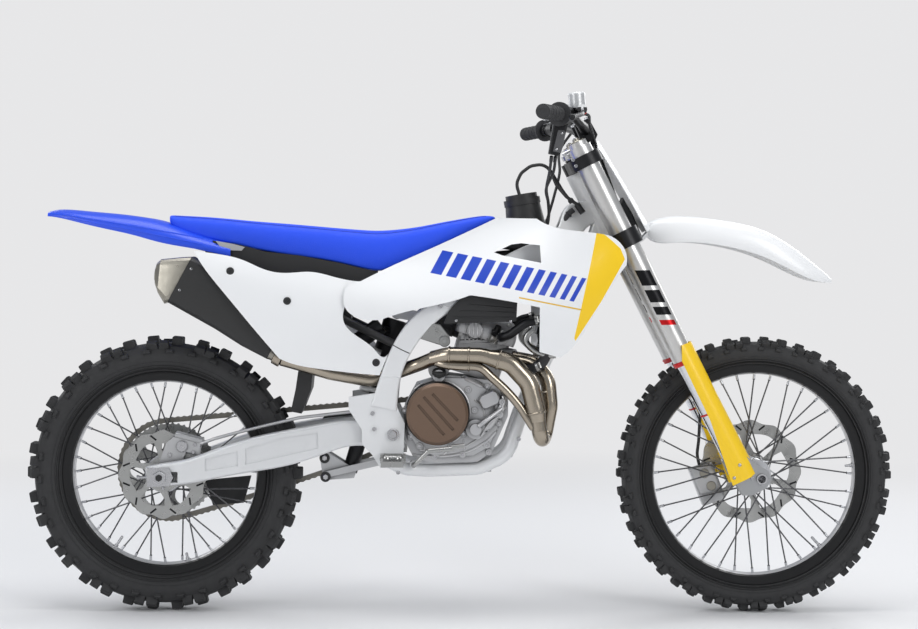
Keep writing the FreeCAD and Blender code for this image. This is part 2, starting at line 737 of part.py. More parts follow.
def clamp_body(low, height, back):
    """A fork clamp: a web with a ring round each tube, slotted for its bolts."""
    reach = OUTER_TUBE_RADIUS + CLAMP_WALL
    rear = CLAMP_OFFSET - reach * 0.8
    front = CLAMP_OFFSET + reach * 0.75
    rise = UP_FORK * height
    web = polygon([
        on_fork(low, -back * 0.9, 0), on_fork(low, rear, -LEG_SPREAD), on_fork(low, front, -LEG_SPREAD),
        on_fork(low, CLAMP_OFFSET + back * 0.55, 0), on_fork(low, front, LEG_SPREAD),
        on_fork(low, rear, LEG_SPREAD),
    ])
    pieces = [rod(on_fork(low, 0), on_fork(low + height, 0), back), Part.Face(web).extrude(rise)]
    bores = []
    for side in (-LEG_SPREAD, LEG_SPREAD):
        foot = on_fork(low, CLAMP_OFFSET, side)
        pieces.append(rod(foot, foot + rise, reach))
        bores.append(rod(foot - UP_FORK, foot + rise + UP_FORK, OUTER_TUBE_RADIUS + FIT))
        half_slot = SIDEWAYS * (CLAMP_SLOT / 2)
        behind = foot - OFF_FORK * (reach * 1.2)
        slot = Part.Face(polygon([behind - half_slot, behind + half_slot, foot + half_slot,
                                  foot - half_slot]))
        slot.translate(-UP_FORK)
        bores.append(slot.extrude(rise + UP_FORK * 2))
    return joined(pieces).cut(bores)


def clamps():
    """Save the two fork clamps; the lower one carries the stem."""
    stem_top = UPPER_CLAMP_FROM + UPPER_CLAMP_HEIGHT + STEM_RISE
    stem = rod(on_fork(LOWER_CLAMP_FROM, 0), on_fork(stem_top, 0), STEM_RADIUS)
    bore = rod(on_fork(LOWER_CLAMP_FROM, 0) - UP_FORK, on_fork(stem_top, 0) + UP_FORK, STEM_BORE)
    lower = clamp_body(LOWER_CLAMP_FROM, LOWER_CLAMP_HEIGHT, LOWER_CLAMP_BACK)
    save("lower_clamp", joined([lower, stem]).cut(bore))
    upper = clamp_body(UPPER_CLAMP_FROM, UPPER_CLAMP_HEIGHT, UPPER_CLAMP_BACK)
    room = rod(on_fork(UPPER_CLAMP_FROM, 0) - UP_FORK, on_fork(stem_top, 0), STEM_RADIUS + FIT)
    save("upper_clamp", upper.cut(room))


# Places on the controls as (ahead, across, up) in shares of a hand, from the perch that holds the lever
PERCH_GAP_SHARE = 0.56
MASTER_INNER_SHARES = (0.26, 0.10, 0.08)
MASTER_OUTER_SHARES = (0.34, -0.42, 0.12)
LEVER_PIN_SHARES = (0.34, -0.40, 0.06)
LEVER_TIP_SHARES = (0.62, 0, -0.12)
LEVER_KNEE_SHARES = (0.10, 0, 0)
PERCH_ARM_SHARES = (0.30, -0.10, 0.10)
UNION_SHARE = 0.14
LEVER_REACH_SHARE = 0.93
LEVER_KNEE_SHARE = 0.45
RING_SHARE = 0.19
ARM_RADIUS_SHARE = 0.09
MASTER_RADIUS_SHARE = 0.12
POT_SHARES = (0.26, -0.02)
POT_TOP_SHARES = (0.23, -0.02)
BRAKE_POT_SHARES = (0.14, 0.50, 0.20)
CLUTCH_POT_SHARES = (0.14, 0.34, 0.15)
THROTTLE_LONG_SHARE = 0.34
THROTTLE_RADIUS_SHARE = 0.27
THROTTLE_AT_SHARE = 0.23
THROTTLE_FOOT_SHARES = (-0.20, 0, -0.96)
THROTTLE_MOUTH_SHARES = (0.28, 0.38)
THROTTLE_END_SHARES = (0.26, 0.28)
THROTTLE_CORNER_SHARE = 0.06
SWITCH_LONG_SHARE = 0.22
SWITCH_RADIUS_SHARE = 0.17
SPACER_SHARE = 0.15
HOSE_KNEE_SHARES = (0.36, -0.10, 0.06)
LINE_KNEE_SHARES = (0.32, 0.02, 0.04)

BAR_UP = UPPER_CLAMP_FROM + UPPER_CLAMP_HEIGHT + BAR_RISE
BAR_OFF = CLAMP_OFFSET + BAR_AHEAD
BAR_CENTRE = on_fork(BAR_UP, BAR_OFF)
BAR_BEND = BAR_CENTRE + Vector(-BAR_BEND_BACK, -BAR_BEND_HALF, BAR_LIFT)
BAR_END = BAR_CENTRE + Vector(-BAR_SWEEP, -BAR_HALF, BAR_LIFT * 0.8)
BAR_AXIS = (BAR_BEND - BAR_END).normalize()
HOUSING_AT = BAR_END + BAR_AXIS * (GRIP_LENGTH + GRIP_GAP)
PERCH_AT = HOUSING_AT + BAR_AXIS * (PERCH_GAP_SHARE * HAND)
MASTER_FROM = by_hand(PERCH_AT, *MASTER_INNER_SHARES)
MASTER_TO = by_hand(PERCH_AT, *MASTER_OUTER_SHARES)
MASTER_AXIS = (MASTER_FROM - MASTER_TO).normalize()
MASTER_UNION = [MASTER_FROM + MASTER_AXIS * FIT, MASTER_FROM + MASTER_AXIS * (UNION_SHARE * HAND)]
THROTTLE_FOOT = by_hand(BAR_END + BAR_AXIS * (GRIP_LENGTH + THROTTLE_AT_SHARE * HAND), *THROTTLE_FOOT_SHARES)


def clamp_foot(up, off, side, deep):
    """An oblong wire of a bar clamp, square to the steering axis."""
    middle = on_fork(up, off, side)
    wide = SIDEWAYS * (BAR_CLAMP_WIDE / 2)
    half = OFF_FORK * (deep / 2)
    return polygon([middle - wide - half, middle + wide - half, middle + wide + half, middle - wide + half])


def bar_clamp(side):
    """One clamp that holds the handlebar on the upper fork clamp."""
    foot = clamp_foot(UPPER_CLAMP_FROM + UPPER_CLAMP_HEIGHT + FIT, BAR_OFF - BAR_CLAMP_DEEP * 0.68, side,
                      BAR_CLAMP_DEEP * 0.82)
    waist = clamp_foot(BAR_UP - BAR_RADIUS - BAR_CLAMP_WALL, BAR_OFF, side, BAR_CLAMP_DEEP)
    top = clamp_foot(BAR_UP + BAR_RADIUS + BAR_CLAMP_WALL, BAR_OFF, side, BAR_CLAMP_DEEP * 0.9)
    return [Part.makeLoft([foot, waist], True, True), Part.makeLoft([waist, top], True, True)]


def handlebar():
    """Save the tapered handlebar, with the two clamps that hold it."""
    flat = BAR_CENTRE + Vector(0, -BAR_FLAT_HALF, 0)
    half = tube([BAR_CENTRE, flat, BAR_BEND, BAR_END], BAR_END_RADIUS, BAR_BEND_RADIUS)
    middle = rod(flat, mirrored_place(flat), BAR_RADIUS)
    taper = cone(flat, flat + (BAR_BEND - flat) * 0.45, BAR_RADIUS, BAR_END_RADIUS)
    pieces = with_mirror([half, taper]) + [middle]
    for side in (-BAR_FLAT_HALF, BAR_FLAT_HALF):
        pieces += bar_clamp(side * 0.75)
    ends = with_mirror([rod(BAR_END, BAR_END + BAR_AXIS * GRIP_LENGTH, BAR_END_RADIUS - BAR_WALL)])
    save("handlebar", joined(pieces).cut(ends))


def grips():
    """Save the two grips with their flanges."""
    inner_end = BAR_END + BAR_AXIS * GRIP_LENGTH
    body = rod(BAR_END - BAR_AXIS * GRIP_END, inner_end, GRIP_RADIUS)
    flange = rod(inner_end - BAR_AXIS * GRIP_FLANGE_THICK, inner_end, GRIP_FLANGE)
    save("grips", both_sides(joined([body, flange]).cut(rod(BAR_END, inner_end + BAR_AXIS,
                                                            BAR_END_RADIUS + FIT))))


def lever():
    """A hand lever from its pin round to its ball end."""
    pin = by_hand(PERCH_AT, *LEVER_PIN_SHARES)
    tip = by_hand(BAR_BEND + (BAR_END - BAR_BEND) * LEVER_REACH_SHARE, *LEVER_TIP_SHARES)
    middle = by_hand(pin + (tip - pin) * LEVER_KNEE_SHARE, *LEVER_KNEE_SHARES)
    return joined([tube([pin, middle, tip], LEVER_RADIUS, BAR_BEND_RADIUS), Part.makeSphere(LEVER_BALL,
                                                                                            tip)])


def perch():
    """The ring, arm, master cylinder and lever that both sides of the bar share."""
    half = BAR_AXIS * (MASTER_RADIUS_SHARE * HAND)
    ring = rod(PERCH_AT - half, PERCH_AT + half, RING_SHARE * HAND)
    arm = rod(PERCH_AT, by_hand(PERCH_AT, *PERCH_ARM_SHARES), ARM_RADIUS_SHARE * HAND)
    return [ring, arm, rod(MASTER_FROM, MASTER_TO, MASTER_RADIUS_SHARE * HAND), lever()]


def pot(foot_share, top_share, radius_share):
    """A fluid pot on a master cylinder."""
    foot = by_hand(PERCH_AT, *POT_SHARES, foot_share)
    return rod(foot, by_hand(PERCH_AT, *POT_TOP_SHARES, top_share), radius_share * HAND)


def controls():
    """Save the throttle and brake controls on the right and the clutch controls on the left."""
    bore = rod(BAR_END, BAR_BEND, BAR_END_RADIUS + FIT)
    housing = rod(HOUSING_AT, HOUSING_AT + BAR_AXIS * (THROTTLE_LONG_SHARE * HAND),
                  THROTTLE_RADIUS_SHARE * HAND)
    stations = []
    for place, shares in ((HOUSING_AT + BAR_AXIS * (SWITCH_LONG_SHARE * HAND), THROTTLE_MOUTH_SHARES),
                          (THROTTLE_FOOT, THROTTLE_END_SHARES)):
        wide_share, high_share = shares
        stations.append((place, wide_share * HAND, high_share * HAND))
    guide = beam(stations, THROTTLE_CORNER_SHARE * HAND)
    save("right_controls", joined([housing, guide, pot(*BRAKE_POT_SHARES)] + perch()).cut(bore))
    switch = rod(HOUSING_AT, HOUSING_AT + BAR_AXIS * (SWITCH_LONG_SHARE * HAND), SWITCH_RADIUS_SHARE * HAND)
    spacer = rod(HOUSING_AT, PERCH_AT, SPACER_SHARE * HAND)
    save("left_controls", mirrored(joined([switch, spacer, pot(*CLUTCH_POT_SHARES)] + perch()).cut(bore)))


# Rows of (along, up, half width, drop) in shares of the front wheel's radius, from the rear end to the tip
FRONT_FENDER_SHARES = (
    (-0.79, 1.815, 0.086, 0.086), (-0.70, 1.855, 0.132, 0.178), (-0.55, 1.868, 0.178, 0.19),
    (-0.26, 1.838, 0.213, 0.184), (0.03, 1.77, 0.224, 0.195), (0.25, 1.65, 0.213, 0.178),
    (0.42, 1.52, 0.178, 0.115), (0.535, 1.425, 0.115, 0.034),
)
FENDER_CROWN_SHARE = 0.12


def front_fender():
    """Save the front fender: a crowned channel over the wheel, with a tongue under the lower clamp."""
    wires = []
    for along, up, half_wide, drop in FRONT_FENDER_SHARES:
        middle = FRONT_AXLE + Vector(along, 0, up) * FRONT_RADIUS
        wires.append(arch(middle, half_wide * FRONT_RADIUS, drop * FRONT_RADIUS,
                          drop * FRONT_RADIUS * FENDER_CROWN_SHARE))
    under = LOWER_CLAMP_FROM - FIT
    tongue = flat_piece([
        on_fork(under, -LOWER_CLAMP_BACK * 0.7), on_fork(under, CLAMP_OFFSET + LOWER_CLAMP_BACK * 1.15),
        fork_spot(0.717, 0.85), fork_spot(0.735, 0.98), fork_spot(0.731, 1.05), fork_spot(0.709, 0.89),
        on_fork(under - SKIN * 2, CLAMP_OFFSET + LOWER_CLAMP_BACK * 1.3),
        on_fork(under - SKIN * 2, -LOWER_CLAMP_BACK * 0.7),
    ], -FRONT_FENDER_SHARES[0][2] * FRONT_RADIUS, FRONT_FENDER_SHARES[0][2] * FRONT_RADIUS)
    save("front_fender", joined([Part.makeLoft(wires, True, False), tongue]))


# Rows of (up, front, half width) of the number plate, in shares of the fork
PLATE_ROW_SHARES = ((0.731, 0.822, 0.654), (0.814, 0.897, 0.916), (0.910, 0.879, 1.047),
                    (0.998, 0.766, 1.009))
PLATE_ARM_SHARES = ((0.734, 0.4075), (0.750, 0.4075), (0.758, 0.86), (0.743, 0.84))
PLATE_KEEP_SHARES = ((0.64, 0.467), (1.07, 0.374), (1.07, 1.5), (0.64, 1.5))


def plate_core(inset):
    """A column whose front is the number plate's curve, moved back by an inset."""
    sag = LEG_SPREAD * 0.14
    behind = -OVERRUN / 5
    wires = []
    for up_share, off_share, half_share in PLATE_ROW_SHARES:
        up = up_share * FORK_LENGTH
        off = off_share * LEG_SPREAD - inset
        half = half_share * LEG_SPREAD
        left = on_fork(up, off - sag, half)
        right = on_fork(up, off - sag, -half)
        corners = [on_fork(up, behind, -half), on_fork(up, behind, half)]
        wires.append(Part.Wire([Part.Arc(left, on_fork(up, off), right).toShape(),
                                Part.makeLine(right, corners[0]),
                                Part.makeLine(corners[0], corners[1]), Part.makeLine(corners[1], left)]))
    return Part.makeLoft(wires, True, False)


def number_plate():
    """Save the bare number plate: a curved sheet on an arm from the lower clamp."""
    core = plate_core(0)
    keep = flat_piece([fork_spot(up, off) for up, off in PLATE_KEEP_SHARES], -OVERRUN, OVERRUN)
    arm = flat_piece([fork_spot(up, off) for up, off in PLATE_ARM_SHARES], -STEM_RADIUS, STEM_RADIUS)
    sheet = core.cut(plate_core(SKIN)).common(keep)
    save("number_plate", joined([sheet, arm.common(core)]))


CALIPER_SHARES = ((-0.030, -0.505, 0.523), (0.075, -0.430, 0.523))
CALIPER_WIDE = 44.0
CALIPER_HIGH = 62.0
CALIPER_CORNER = 8.0
CALIPER_PAD_GAP = 3.0
CALIPER_BOLT = 12.0


def front_caliper():
    """Save the front caliper, bolted to the left fork foot."""
    body = beam([(place, CALIPER_WIDE, CALIPER_HIGH) for place in fork_route(CALIPER_SHARES)],
                CALIPER_CORNER)
    half_gap = DISC_THICK / 2 + CALIPER_PAD_GAP
    gap = across(FRONT_AXLE, FRONT_DISC_RADIUS + CALIPER_PAD_GAP, FRONT_DISC_Y - half_gap,
                 FRONT_DISC_Y + half_gap)
    bolt = rod(fork_spot(0.054, -0.374, 0.673), fork_spot(0.054, 0.02, 0.925), CALIPER_BOLT)
    save("front_caliper", joined([body, bolt]).cut([gap, mirrored(fork_leg())]))


FRONT_HOSE_SHARES = (
    (1.041, 0.636, -1.121), (0.996, 0.617, -0.692), (0.921, 0.617, 0), (0.814, 0.579, 0.467),
    (0.685, 0.551, 0.598),
    (0.514, 0.411, 0.607), (0.321, 0.355, 0.617), (0.203, 0.15, 0.617), (0.135, -0.187, 0.598),
    (0.104, -0.37, 0.58),
    (0.076, -0.43, 0.56),
)


def front_brake_hose():
    """Save the hose from the master cylinder to the front caliper."""
    start = MASTER_UNION + [by_hand(BAR_BEND, *HOSE_KNEE_SHARES)]
    save("front_brake_hose", tube(start + fork_route(FRONT_HOSE_SHARES), HOSE_RADIUS, BAR_BEND_RADIUS))


def steering():
    """Save everything that turns with the handlebar."""
    front_axle()
    fork()
    fork_guards()
    clamps()
    handlebar()
    grips()
    controls()
    front_fender()
    number_plate()
    front_caliper()
    front_brake_hose()


# Frame and swingarm

# Rows of (along, up, side, wide, high), the last three in shares of the body's half width
SPAR_SHARES = (
    (0.673, 0.945, -0.50, 0.24, 0.62), (0.606, 0.893, -0.78, 0.24, 0.52), (0.539, 0.838, -0.98, 0.24, 0.46),
    (0.478, 0.782, -1.12, 0.24, 0.46), (0.446, 0.749, -1.16, 0.24, 0.48), (0.4135, 0.696, -1.20, 0.24, 0.50),
    (0.390, 0.630, -1.20, 0.24, 0.48), (0.3765, 0.560, -1.20, 0.24, 0.56), (0.371, 0.520, -1.20, 0.24, 0.66),
)
SPAR_ROOT_SHARES = (0.35, -0.20, 0.24, 0.74)    # up the head tube, then side, wide and high
DOWN_TUBE_SHARES = ((0.662, 0.690, 0, 0.44, 0.40), (0.700, 0.820, 0, 0.46, 0.44))
DOWN_TUBE_ROOT_SHARES = (0.18, 0.48, 0.56)
PIVOT_PLATE_SHARES = (
    (0.356, 0.556), (0.313, 0.546), (0.313, 0.516), (0.335, 0.467), (0.335, 0.431), (0.352, 0.405),
    (0.366, 0.372),
    (0.392, 0.372), (0.404, 0.400), (0.406, 0.482), (0.391, 0.530),
)
CRADLE_SHARES = (
    (0.379, 0.388, -1.14), (0.405, 0.366, -0.92), (0.445, 0.361, -0.78), (0.530, 0.366, -0.78),
    (0.579, 0.400, -0.78),
    (0.600, 0.495, -0.72), (0.618, 0.560, -0.54), (0.662, 0.690, -0.14), (0.690, 0.770, -0.08),
)
CRADLE_SIDE_SHARE = 0.78
ENGINE_BAR_SHARES = (0.540, 0.366)
UPPER_BAR_SHARES = (0.438, 0.740)
LOWER_BAR_SHARES = (0.385, 0.385)
SHOCK_EAR_SHARES = ((0.436, 0.753), (0.436, 0.727), (0.384, 0.740), (0.384, 0.764))
PEDAL_PIVOT_SHARES = (0.421, 0.380)
PEDAL_BOSS = 9.0
RADIATOR_SIDE_SHARE = -1.25
RADIATOR_LOW_SHARES = (0.643, 0.692)
RADIATOR_HIGH_SHARES = (0.672, 0.890)
RADIATOR_TANK_WIDE = 112.0
RADIATOR_TANK_DEEP = 38.0
RADIATOR_TANK_HIGH = 20.0
RADIATOR_CORE_WIDE = 104.0
RADIATOR_CORE_DEEP = 30.0
RADIATOR_CORNER = 3.0
RADIATOR_TANK_CORNER = 6.0
RADIATOR_SLATS = 14
SLAT_DEPTH = 5.0
RADIATOR_BRACKET_SHARES = (
    ((0.645, 0.735), (0.680, 0.735), (0.680, 0.747), (0.645, 0.747)),
    ((0.657, 0.834), (0.700, 0.834), (0.700, 0.846), (0.657, 0.846)),
)
HEAD_LOW = on_fork(LOWER_CLAMP_FROM + LOWER_CLAMP_HEIGHT + HEAD_SEAL, 0)
HEAD_HIGH = on_fork(UPPER_CLAMP_FROM - HEAD_SEAL, 0)
CLAMP_ROOM = 110.0
CLAMP_ROOM_DEEP = 90.0
TRIM_ROOM = 60.0


def head_place(share):
    """A place on the steering head's axis, by its share from the foot."""
    return HEAD_LOW + (HEAD_HIGH - HEAD_LOW) * share


def spar():
    """The right spar from the steering head back and down to the pivot plate."""
    up, side, wide, high = SPAR_ROOT_SHARES
    root = (head_place(up) + SIDEWAYS * (side * BODY_HALF), wide * BODY_HALF, high * BODY_HALF)
    return beam([root] + stations_of(SPAR_SHARES), SPAR_CORNER)


def down_tube():
    """The tube from the steering head down to the cradle."""
    up, wide, high = DOWN_TUBE_ROOT_SHARES
    root = (head_place(up), wide * BODY_HALF, high * BODY_HALF)
    return beam(stations_of(DOWN_TUBE_SHARES) + [root], DOWN_TUBE_CORNER)


def frame():
    """The frame: head tube, two spars, down tube, cradle, pivot plates, cross bars and brackets."""
    cradle = tube(route(CRADLE_SHARES), CRADLE_RADIUS, CRADLE_BEND)
    plate = flat_piece(route(PIVOT_PLATE_SHARES), -PLATE_OUTER, -PLATE_INNER)
    ear = flat_piece(route(SHOCK_EAR_SHARES), -SHOCK_EYE_HALF - SHOCK_EAR, -SHOCK_EYE_HALF - FIT)
    pieces = [rod(HEAD_LOW, HEAD_HIGH, HEAD_TUBE_RADIUS), down_tube()] + with_mirror([spar(), plate, cradle,
                                                                                      ear])
    cradle_y = CRADLE_SIDE_SHARE * BODY_HALF
    bars = ((ENGINE_BAR_SHARES, ENGINE_BAR, cradle_y), (UPPER_BAR_SHARES, FRAME_BAR, PLATE_INNER),
            (LOWER_BAR_SHARES, PLATE_BAR, PLATE_INNER + PLATE_THICK / 4))
    for shares, radius, half in bars:
        pieces.append(across(spot(*shares), radius, -half, half))
    pieces.append(across(SHOCK_TOP, SHOCK_PIN, -SHOCK_EYE_HALF - SHOCK_EAR, SHOCK_EYE_HALF + SHOCK_EAR))
    pieces.append(across(spot(*PEDAL_PIVOT_SHARES), PEDAL_BOSS, -PLATE_OUTER, -cradle_y))
    reach = -RADIATOR_SIDE_SHARE * BODY_HALF - RADIATOR_CORE_WIDE / 2 - FIT
    pieces += [flat_piece(route(shares), -reach, reach) for shares in RADIATOR_BRACKET_SHARES]
    bore = rod(HEAD_LOW - UP_FORK, HEAD_HIGH + UP_FORK, STEM_RADIUS + RUN_GAP)
    below = rod(HEAD_LOW - UP_FORK * CLAMP_ROOM_DEEP, HEAD_LOW, CLAMP_ROOM)
    above = rod(HEAD_HIGH, HEAD_HIGH + UP_FORK * TRIM_ROOM, CLAMP_ROOM_DEEP)
    pin_reach = PLATE_OUTER + PIVOT_PIN_REACH
    pin = across(PIVOT, PIVOT_PIN, -pin_reach, pin_reach)
    return joined([joined(pieces).cut([bore, below, above]), pin])


ARM_SHARES = (
    (-0.0215, 0.346, -1.01, 0.34, 0.50), (0.0404, 0.358, -1.02, 0.34, 0.60), (0.0842, 0.375, -1.04, 0.34,
                                                                              0.68),
    (0.1347, 0.3955, -1.05, 0.34, 0.80), (0.2020, 0.4165, -1.04, 0.34, 0.87), (0.2653, 0.440, -0.99, 0.34,
                                                                               0.76),
    (0.3165, 0.456, -0.90, 0.34, 0.66), (0.3872, 0.455, -0.88, 0.34, 0.58),
)
POCKET_SHARES = (
    ((0.075, 0.362), (0.130, 0.375), (0.130, 0.412), (0.075, 0.392)),
    ((0.142, 0.378), (0.262, 0.418), (0.262, 0.457), (0.205, 0.446), (0.142, 0.418)),
)
BRIDGE_SHARES = ((0.3522, 0.455, 0, 1.70, 0.40), (0.3805, 0.455, 0, 1.70, 0.40))
BLOCK_SHARES = ((-0.0202, 0.323), (0.0162, 0.325), (0.0229, 0.346), (0.0162, 0.370), (-0.0202, 0.370))


def swingarm():
    """Save the swingarm: two tapering arms with sunk panels, a cross member and the pivot boss."""
    plain = beam(stations_of(ARM_SHARES), SWINGARM_CORNER)
    inside = plain.copy()
    inside.translate(SIDEWAYS * POCKET_DEPTH)
    pockets = [flat_piece(route(shares), -OVERRUN, -SWINGARM_Y).cut(inside) for shares in POCKET_SHARES]
    arm = plain.cut(pockets)
    half = REAR_AXLE_RADIUS + RUN_GAP
    corners = ((-SLOT_SHORT, -half), (SLOT_LONG, -half), (SLOT_LONG, half), (-SLOT_SHORT, half))
    slot = flat_piece([REAR_AXLE + Vector(ahead, 0, up) for ahead, up in corners], -OVERRUN, OVERRUN)
    bridge = beam(stations_of(BRIDGE_SHARES), SWINGARM_CORNER)
    boss = across(PIVOT, PIVOT_RADIUS, -PLATE_INNER + FIT, PLATE_INNER - FIT)
    whole = joined(with_mirror([arm]) + [bridge, boss])
    save("swingarm", whole.cut([through(PIVOT, PIVOT_PIN + FIT), slot]))


def rear_axle():
    """Save the hollow rear axle with its collars, and the adjuster blocks."""
    inner = SWINGARM_Y - SWINGARM_WIDE / 2 - RUN_GAP
    outer = SWINGARM_Y + SWINGARM_WIDE / 2 + 2 * RUN_GAP
    collar_radius = REAR_AXLE_RADIUS + COLLAR_WALL
    body = across(REAR_AXLE, REAR_AXLE_RADIUS, -REAR_AXLE_HALF, REAR_AXLE_HALF)
    left = across(REAR_AXLE, collar_radius, REAR_HUB_LEFT + RUN_GAP, inner)
    right = across(REAR_AXLE, collar_radius, -inner, -REAR_HUB_HALF - RUN_GAP)
    nut = across(REAR_AXLE, collar_radius, outer + ADJUSTER_THICK + FIT, REAR_AXLE_HALF)
    axle = joined([body, left, right, nut]).cut(through(REAR_AXLE, REAR_AXLE_BORE))
    block = flat_piece(route(BLOCK_SHARES), -outer - ADJUSTER_THICK, -outer)
    block = block.cut(through(REAR_AXLE, REAR_AXLE_RADIUS + FIT))
    save("rear_axle", group([axle, block, mirrored(block)]))


# Engine

CASE_SHARES = (
    (0.405, 0.440), (0.420, 0.398), (0.445, 0.384), (0.528, 0.386), (0.552, 0.412), (0.578, 0.500),
    (0.578, 0.560),
    (0.560, 0.585), (0.480, 0.600), (0.425, 0.575), (0.405, 0.520),
)
CASE_RIGHT_SHARE = -1.04
CASE_LEFT_SHARE = 0.46
LEFT_CASE_SHARES = (
    (0.480, 0.388), (0.526, 0.390), (0.550, 0.420), (0.575, 0.505), (0.572, 0.560), (0.500, 0.590),
    (0.480, 0.560),
)
LEFT_CASE_SIDE_SHARES = (0.40, 0.98)
COVER_FLANGE_SHARES = (
    (0.411, 0.462), (0.430, 0.416), (0.462, 0.398), (0.520, 0.402), (0.546, 0.424), (0.566, 0.492),
    (0.566, 0.548),
    (0.540, 0.566), (0.520, 0.592), (0.470, 0.594), (0.428, 0.568), (0.411, 0.520),
)
COVER_FLANGE_SIDE_SHARE = -1.12
FOOT_LUG_SHARES = ((0.528, 0.354), (0.552, 0.354), (0.552, 0.400), (0.528, 0.400))
FOOT_LUG_HALF_SHARE = 0.40
FLYWHEEL_SHARES = (0.524, 0.487)
FLYWHEEL_RADIUS = 62.0
FLYWHEEL_STEP_RADIUS = 46.0
FLYWHEEL_SIDE_SHARES = (0.90, 1.20, 1.28)
PUMP_SHARES = (0.5236, 0.4686)
PUMP_RADIUS = 24.0
PUMP_NOSE_RADIUS = 14.0
PUMP_SIDE_SHARES = (-1.10, -1.34, -1.44)
PUMP_PIPE_SHARES = ((0.5236, 0.4686, -1.24), (0.545, 0.474, -1.24), (0.566, 0.520, -1.20),
                    (0.572, 0.548, -1.18))
PUMP_PIPE_RADIUS = 9.5
PIPE_BEND = 24.0
CLUTCH_SHARES = (0.460, 0.507)
CLUTCH_RADIUS = 76.0
CLUTCH_EDGE = 7.0
CLUTCH_SIDE_SHARES = (-1.123, -1.60)
CLUTCH_GROOVE = 7.0
CLUTCH_GROOVE_DEPTH = 3.0
CLUTCH_GROOVE_SHARES = ((-0.62, 0.30, 0.22, -0.66), (-0.44, 0.56, 0.52, -0.50), (-0.16, 0.66, 0.66, -0.20))
OIL_CAP_SHARES = (0.462, 0.600)
OIL_CAP_RADIUS = 15.0
OIL_CAP_SIDE_SHARES = (-1.0, -1.38)
SHIFT_SHAFT_SHARES = (0.455, 0.440)
SHIFT_SHAFT_RADIUS = 8.0
SHIFT_SHAFT_REACH = 110.0
SHAFT_REACH = 76.0
STARTER_SHARES = (0.462, 0.612)
STARTER_RADIUS = 26.0
STARTER_SIDE_SHARES = (-0.60, 0.40)
CYLINDER_SHARES = ((0.5205, 0.5946, 0, 1.18, 1.28), (0.5388, 0.688, 0, 1.20, 1.30))
HEAD_SHARES = ((0.5388, 0.688, 0, 1.42, 1.50), (0.545, 0.720, 0, 1.40, 1.48), (0.5495, 0.743, 0, 1.16, 1.20))
HEAD_CORNER = 10.0
PORT_SHARES = (0.588, 0.640, -0.62)
PORT_LONG = 52.0
PORT_RADIUS = 24.0
CAM_SHARES = ((0.5225, 0.7105), (0.5660, 0.6940))
CAM_RADIUS = 19.0
CAM_REACH_SHARE = 0.76


def cases():
    """The engine's cases: both halves, the cover flange, the ignition cover, the pump and the lugs."""
    right = CASE_RIGHT_SHARE * BODY_HALF
    left = CASE_LEFT_SHARE * BODY_HALF
    low, high = [share * BODY_HALF for share in LEFT_CASE_SIDE_SHARES]
    flywheel = [share * BODY_HALF for share in FLYWHEEL_SIDE_SHARES]
    pump = [share * BODY_HALF for share in PUMP_SIDE_SHARES]
    starter = [share * BODY_HALF for share in STARTER_SIDE_SHARES]
    oil_cap = [share * BODY_HALF for share in OIL_CAP_SIDE_SHARES]
    foot_half = FOOT_LUG_HALF_SHARE * BODY_HALF
    pieces = [
        flat_piece(route(CASE_SHARES), right, left), flat_piece(route(LEFT_CASE_SHARES), low, high),
        flat_piece(route(COVER_FLANGE_SHARES), COVER_FLANGE_SIDE_SHARE * BODY_HALF, right),
        flat_piece(route(FOOT_LUG_SHARES), -foot_half, foot_half),
        across(spot(*FLYWHEEL_SHARES), FLYWHEEL_RADIUS, flywheel[0], flywheel[1]),
        across(spot(*FLYWHEEL_SHARES), FLYWHEEL_STEP_RADIUS, flywheel[0], flywheel[2]),
        across(spot(*PUMP_SHARES), PUMP_RADIUS, pump[1], pump[0]),
        across(spot(*PUMP_SHARES), PUMP_NOSE_RADIUS, pump[2], pump[0]),
        tube(route(PUMP_PIPE_SHARES), PUMP_PIPE_RADIUS, PIPE_BEND),
        across(spot(*STARTER_SHARES), STARTER_RADIUS, starter[0], starter[1]),
        across(spot(*OIL_CAP_SHARES), OIL_CAP_RADIUS, oil_cap[1], oil_cap[0]),
        across(spot(*SHIFT_SHAFT_SHARES), SHIFT_SHAFT_RADIUS, 0, SHIFT_SHAFT_REACH - FIT),
        across(COUNTERSHAFT, SHAFT_RADIUS - FIT, 0, SHAFT_REACH),
    ]
    return joined(pieces).cut(through(spot(*ENGINE_BAR_SHARES), ENGINE_BAR + FIT))


def cylinder_head(case_shape):
    """The cylinder and head, with the exhaust port, the cam bosses and a gasket groove."""
    cylinder = beam(stations_of(CYLINDER_SHARES), HEAD_CORNER)
    head = beam(stations_of(HEAD_SHARES), HEAD_CORNER)
    port = spot(*PORT_SHARES)
    along = (spot(*HEADER_SHARES[1]) - port).normalize()
    neck = rod(port - along * PORT_LONG, port - along * FIT, PORT_RADIUS)
    cam_reach = CAM_REACH_SHARE * BODY_HALF
    cams = [across(spot(*shares), CAM_RADIUS, -cam_reach, cam_reach) for shares in CAM_SHARES]
    return joined([cylinder, head, neck] + cams).cut(case_shape)


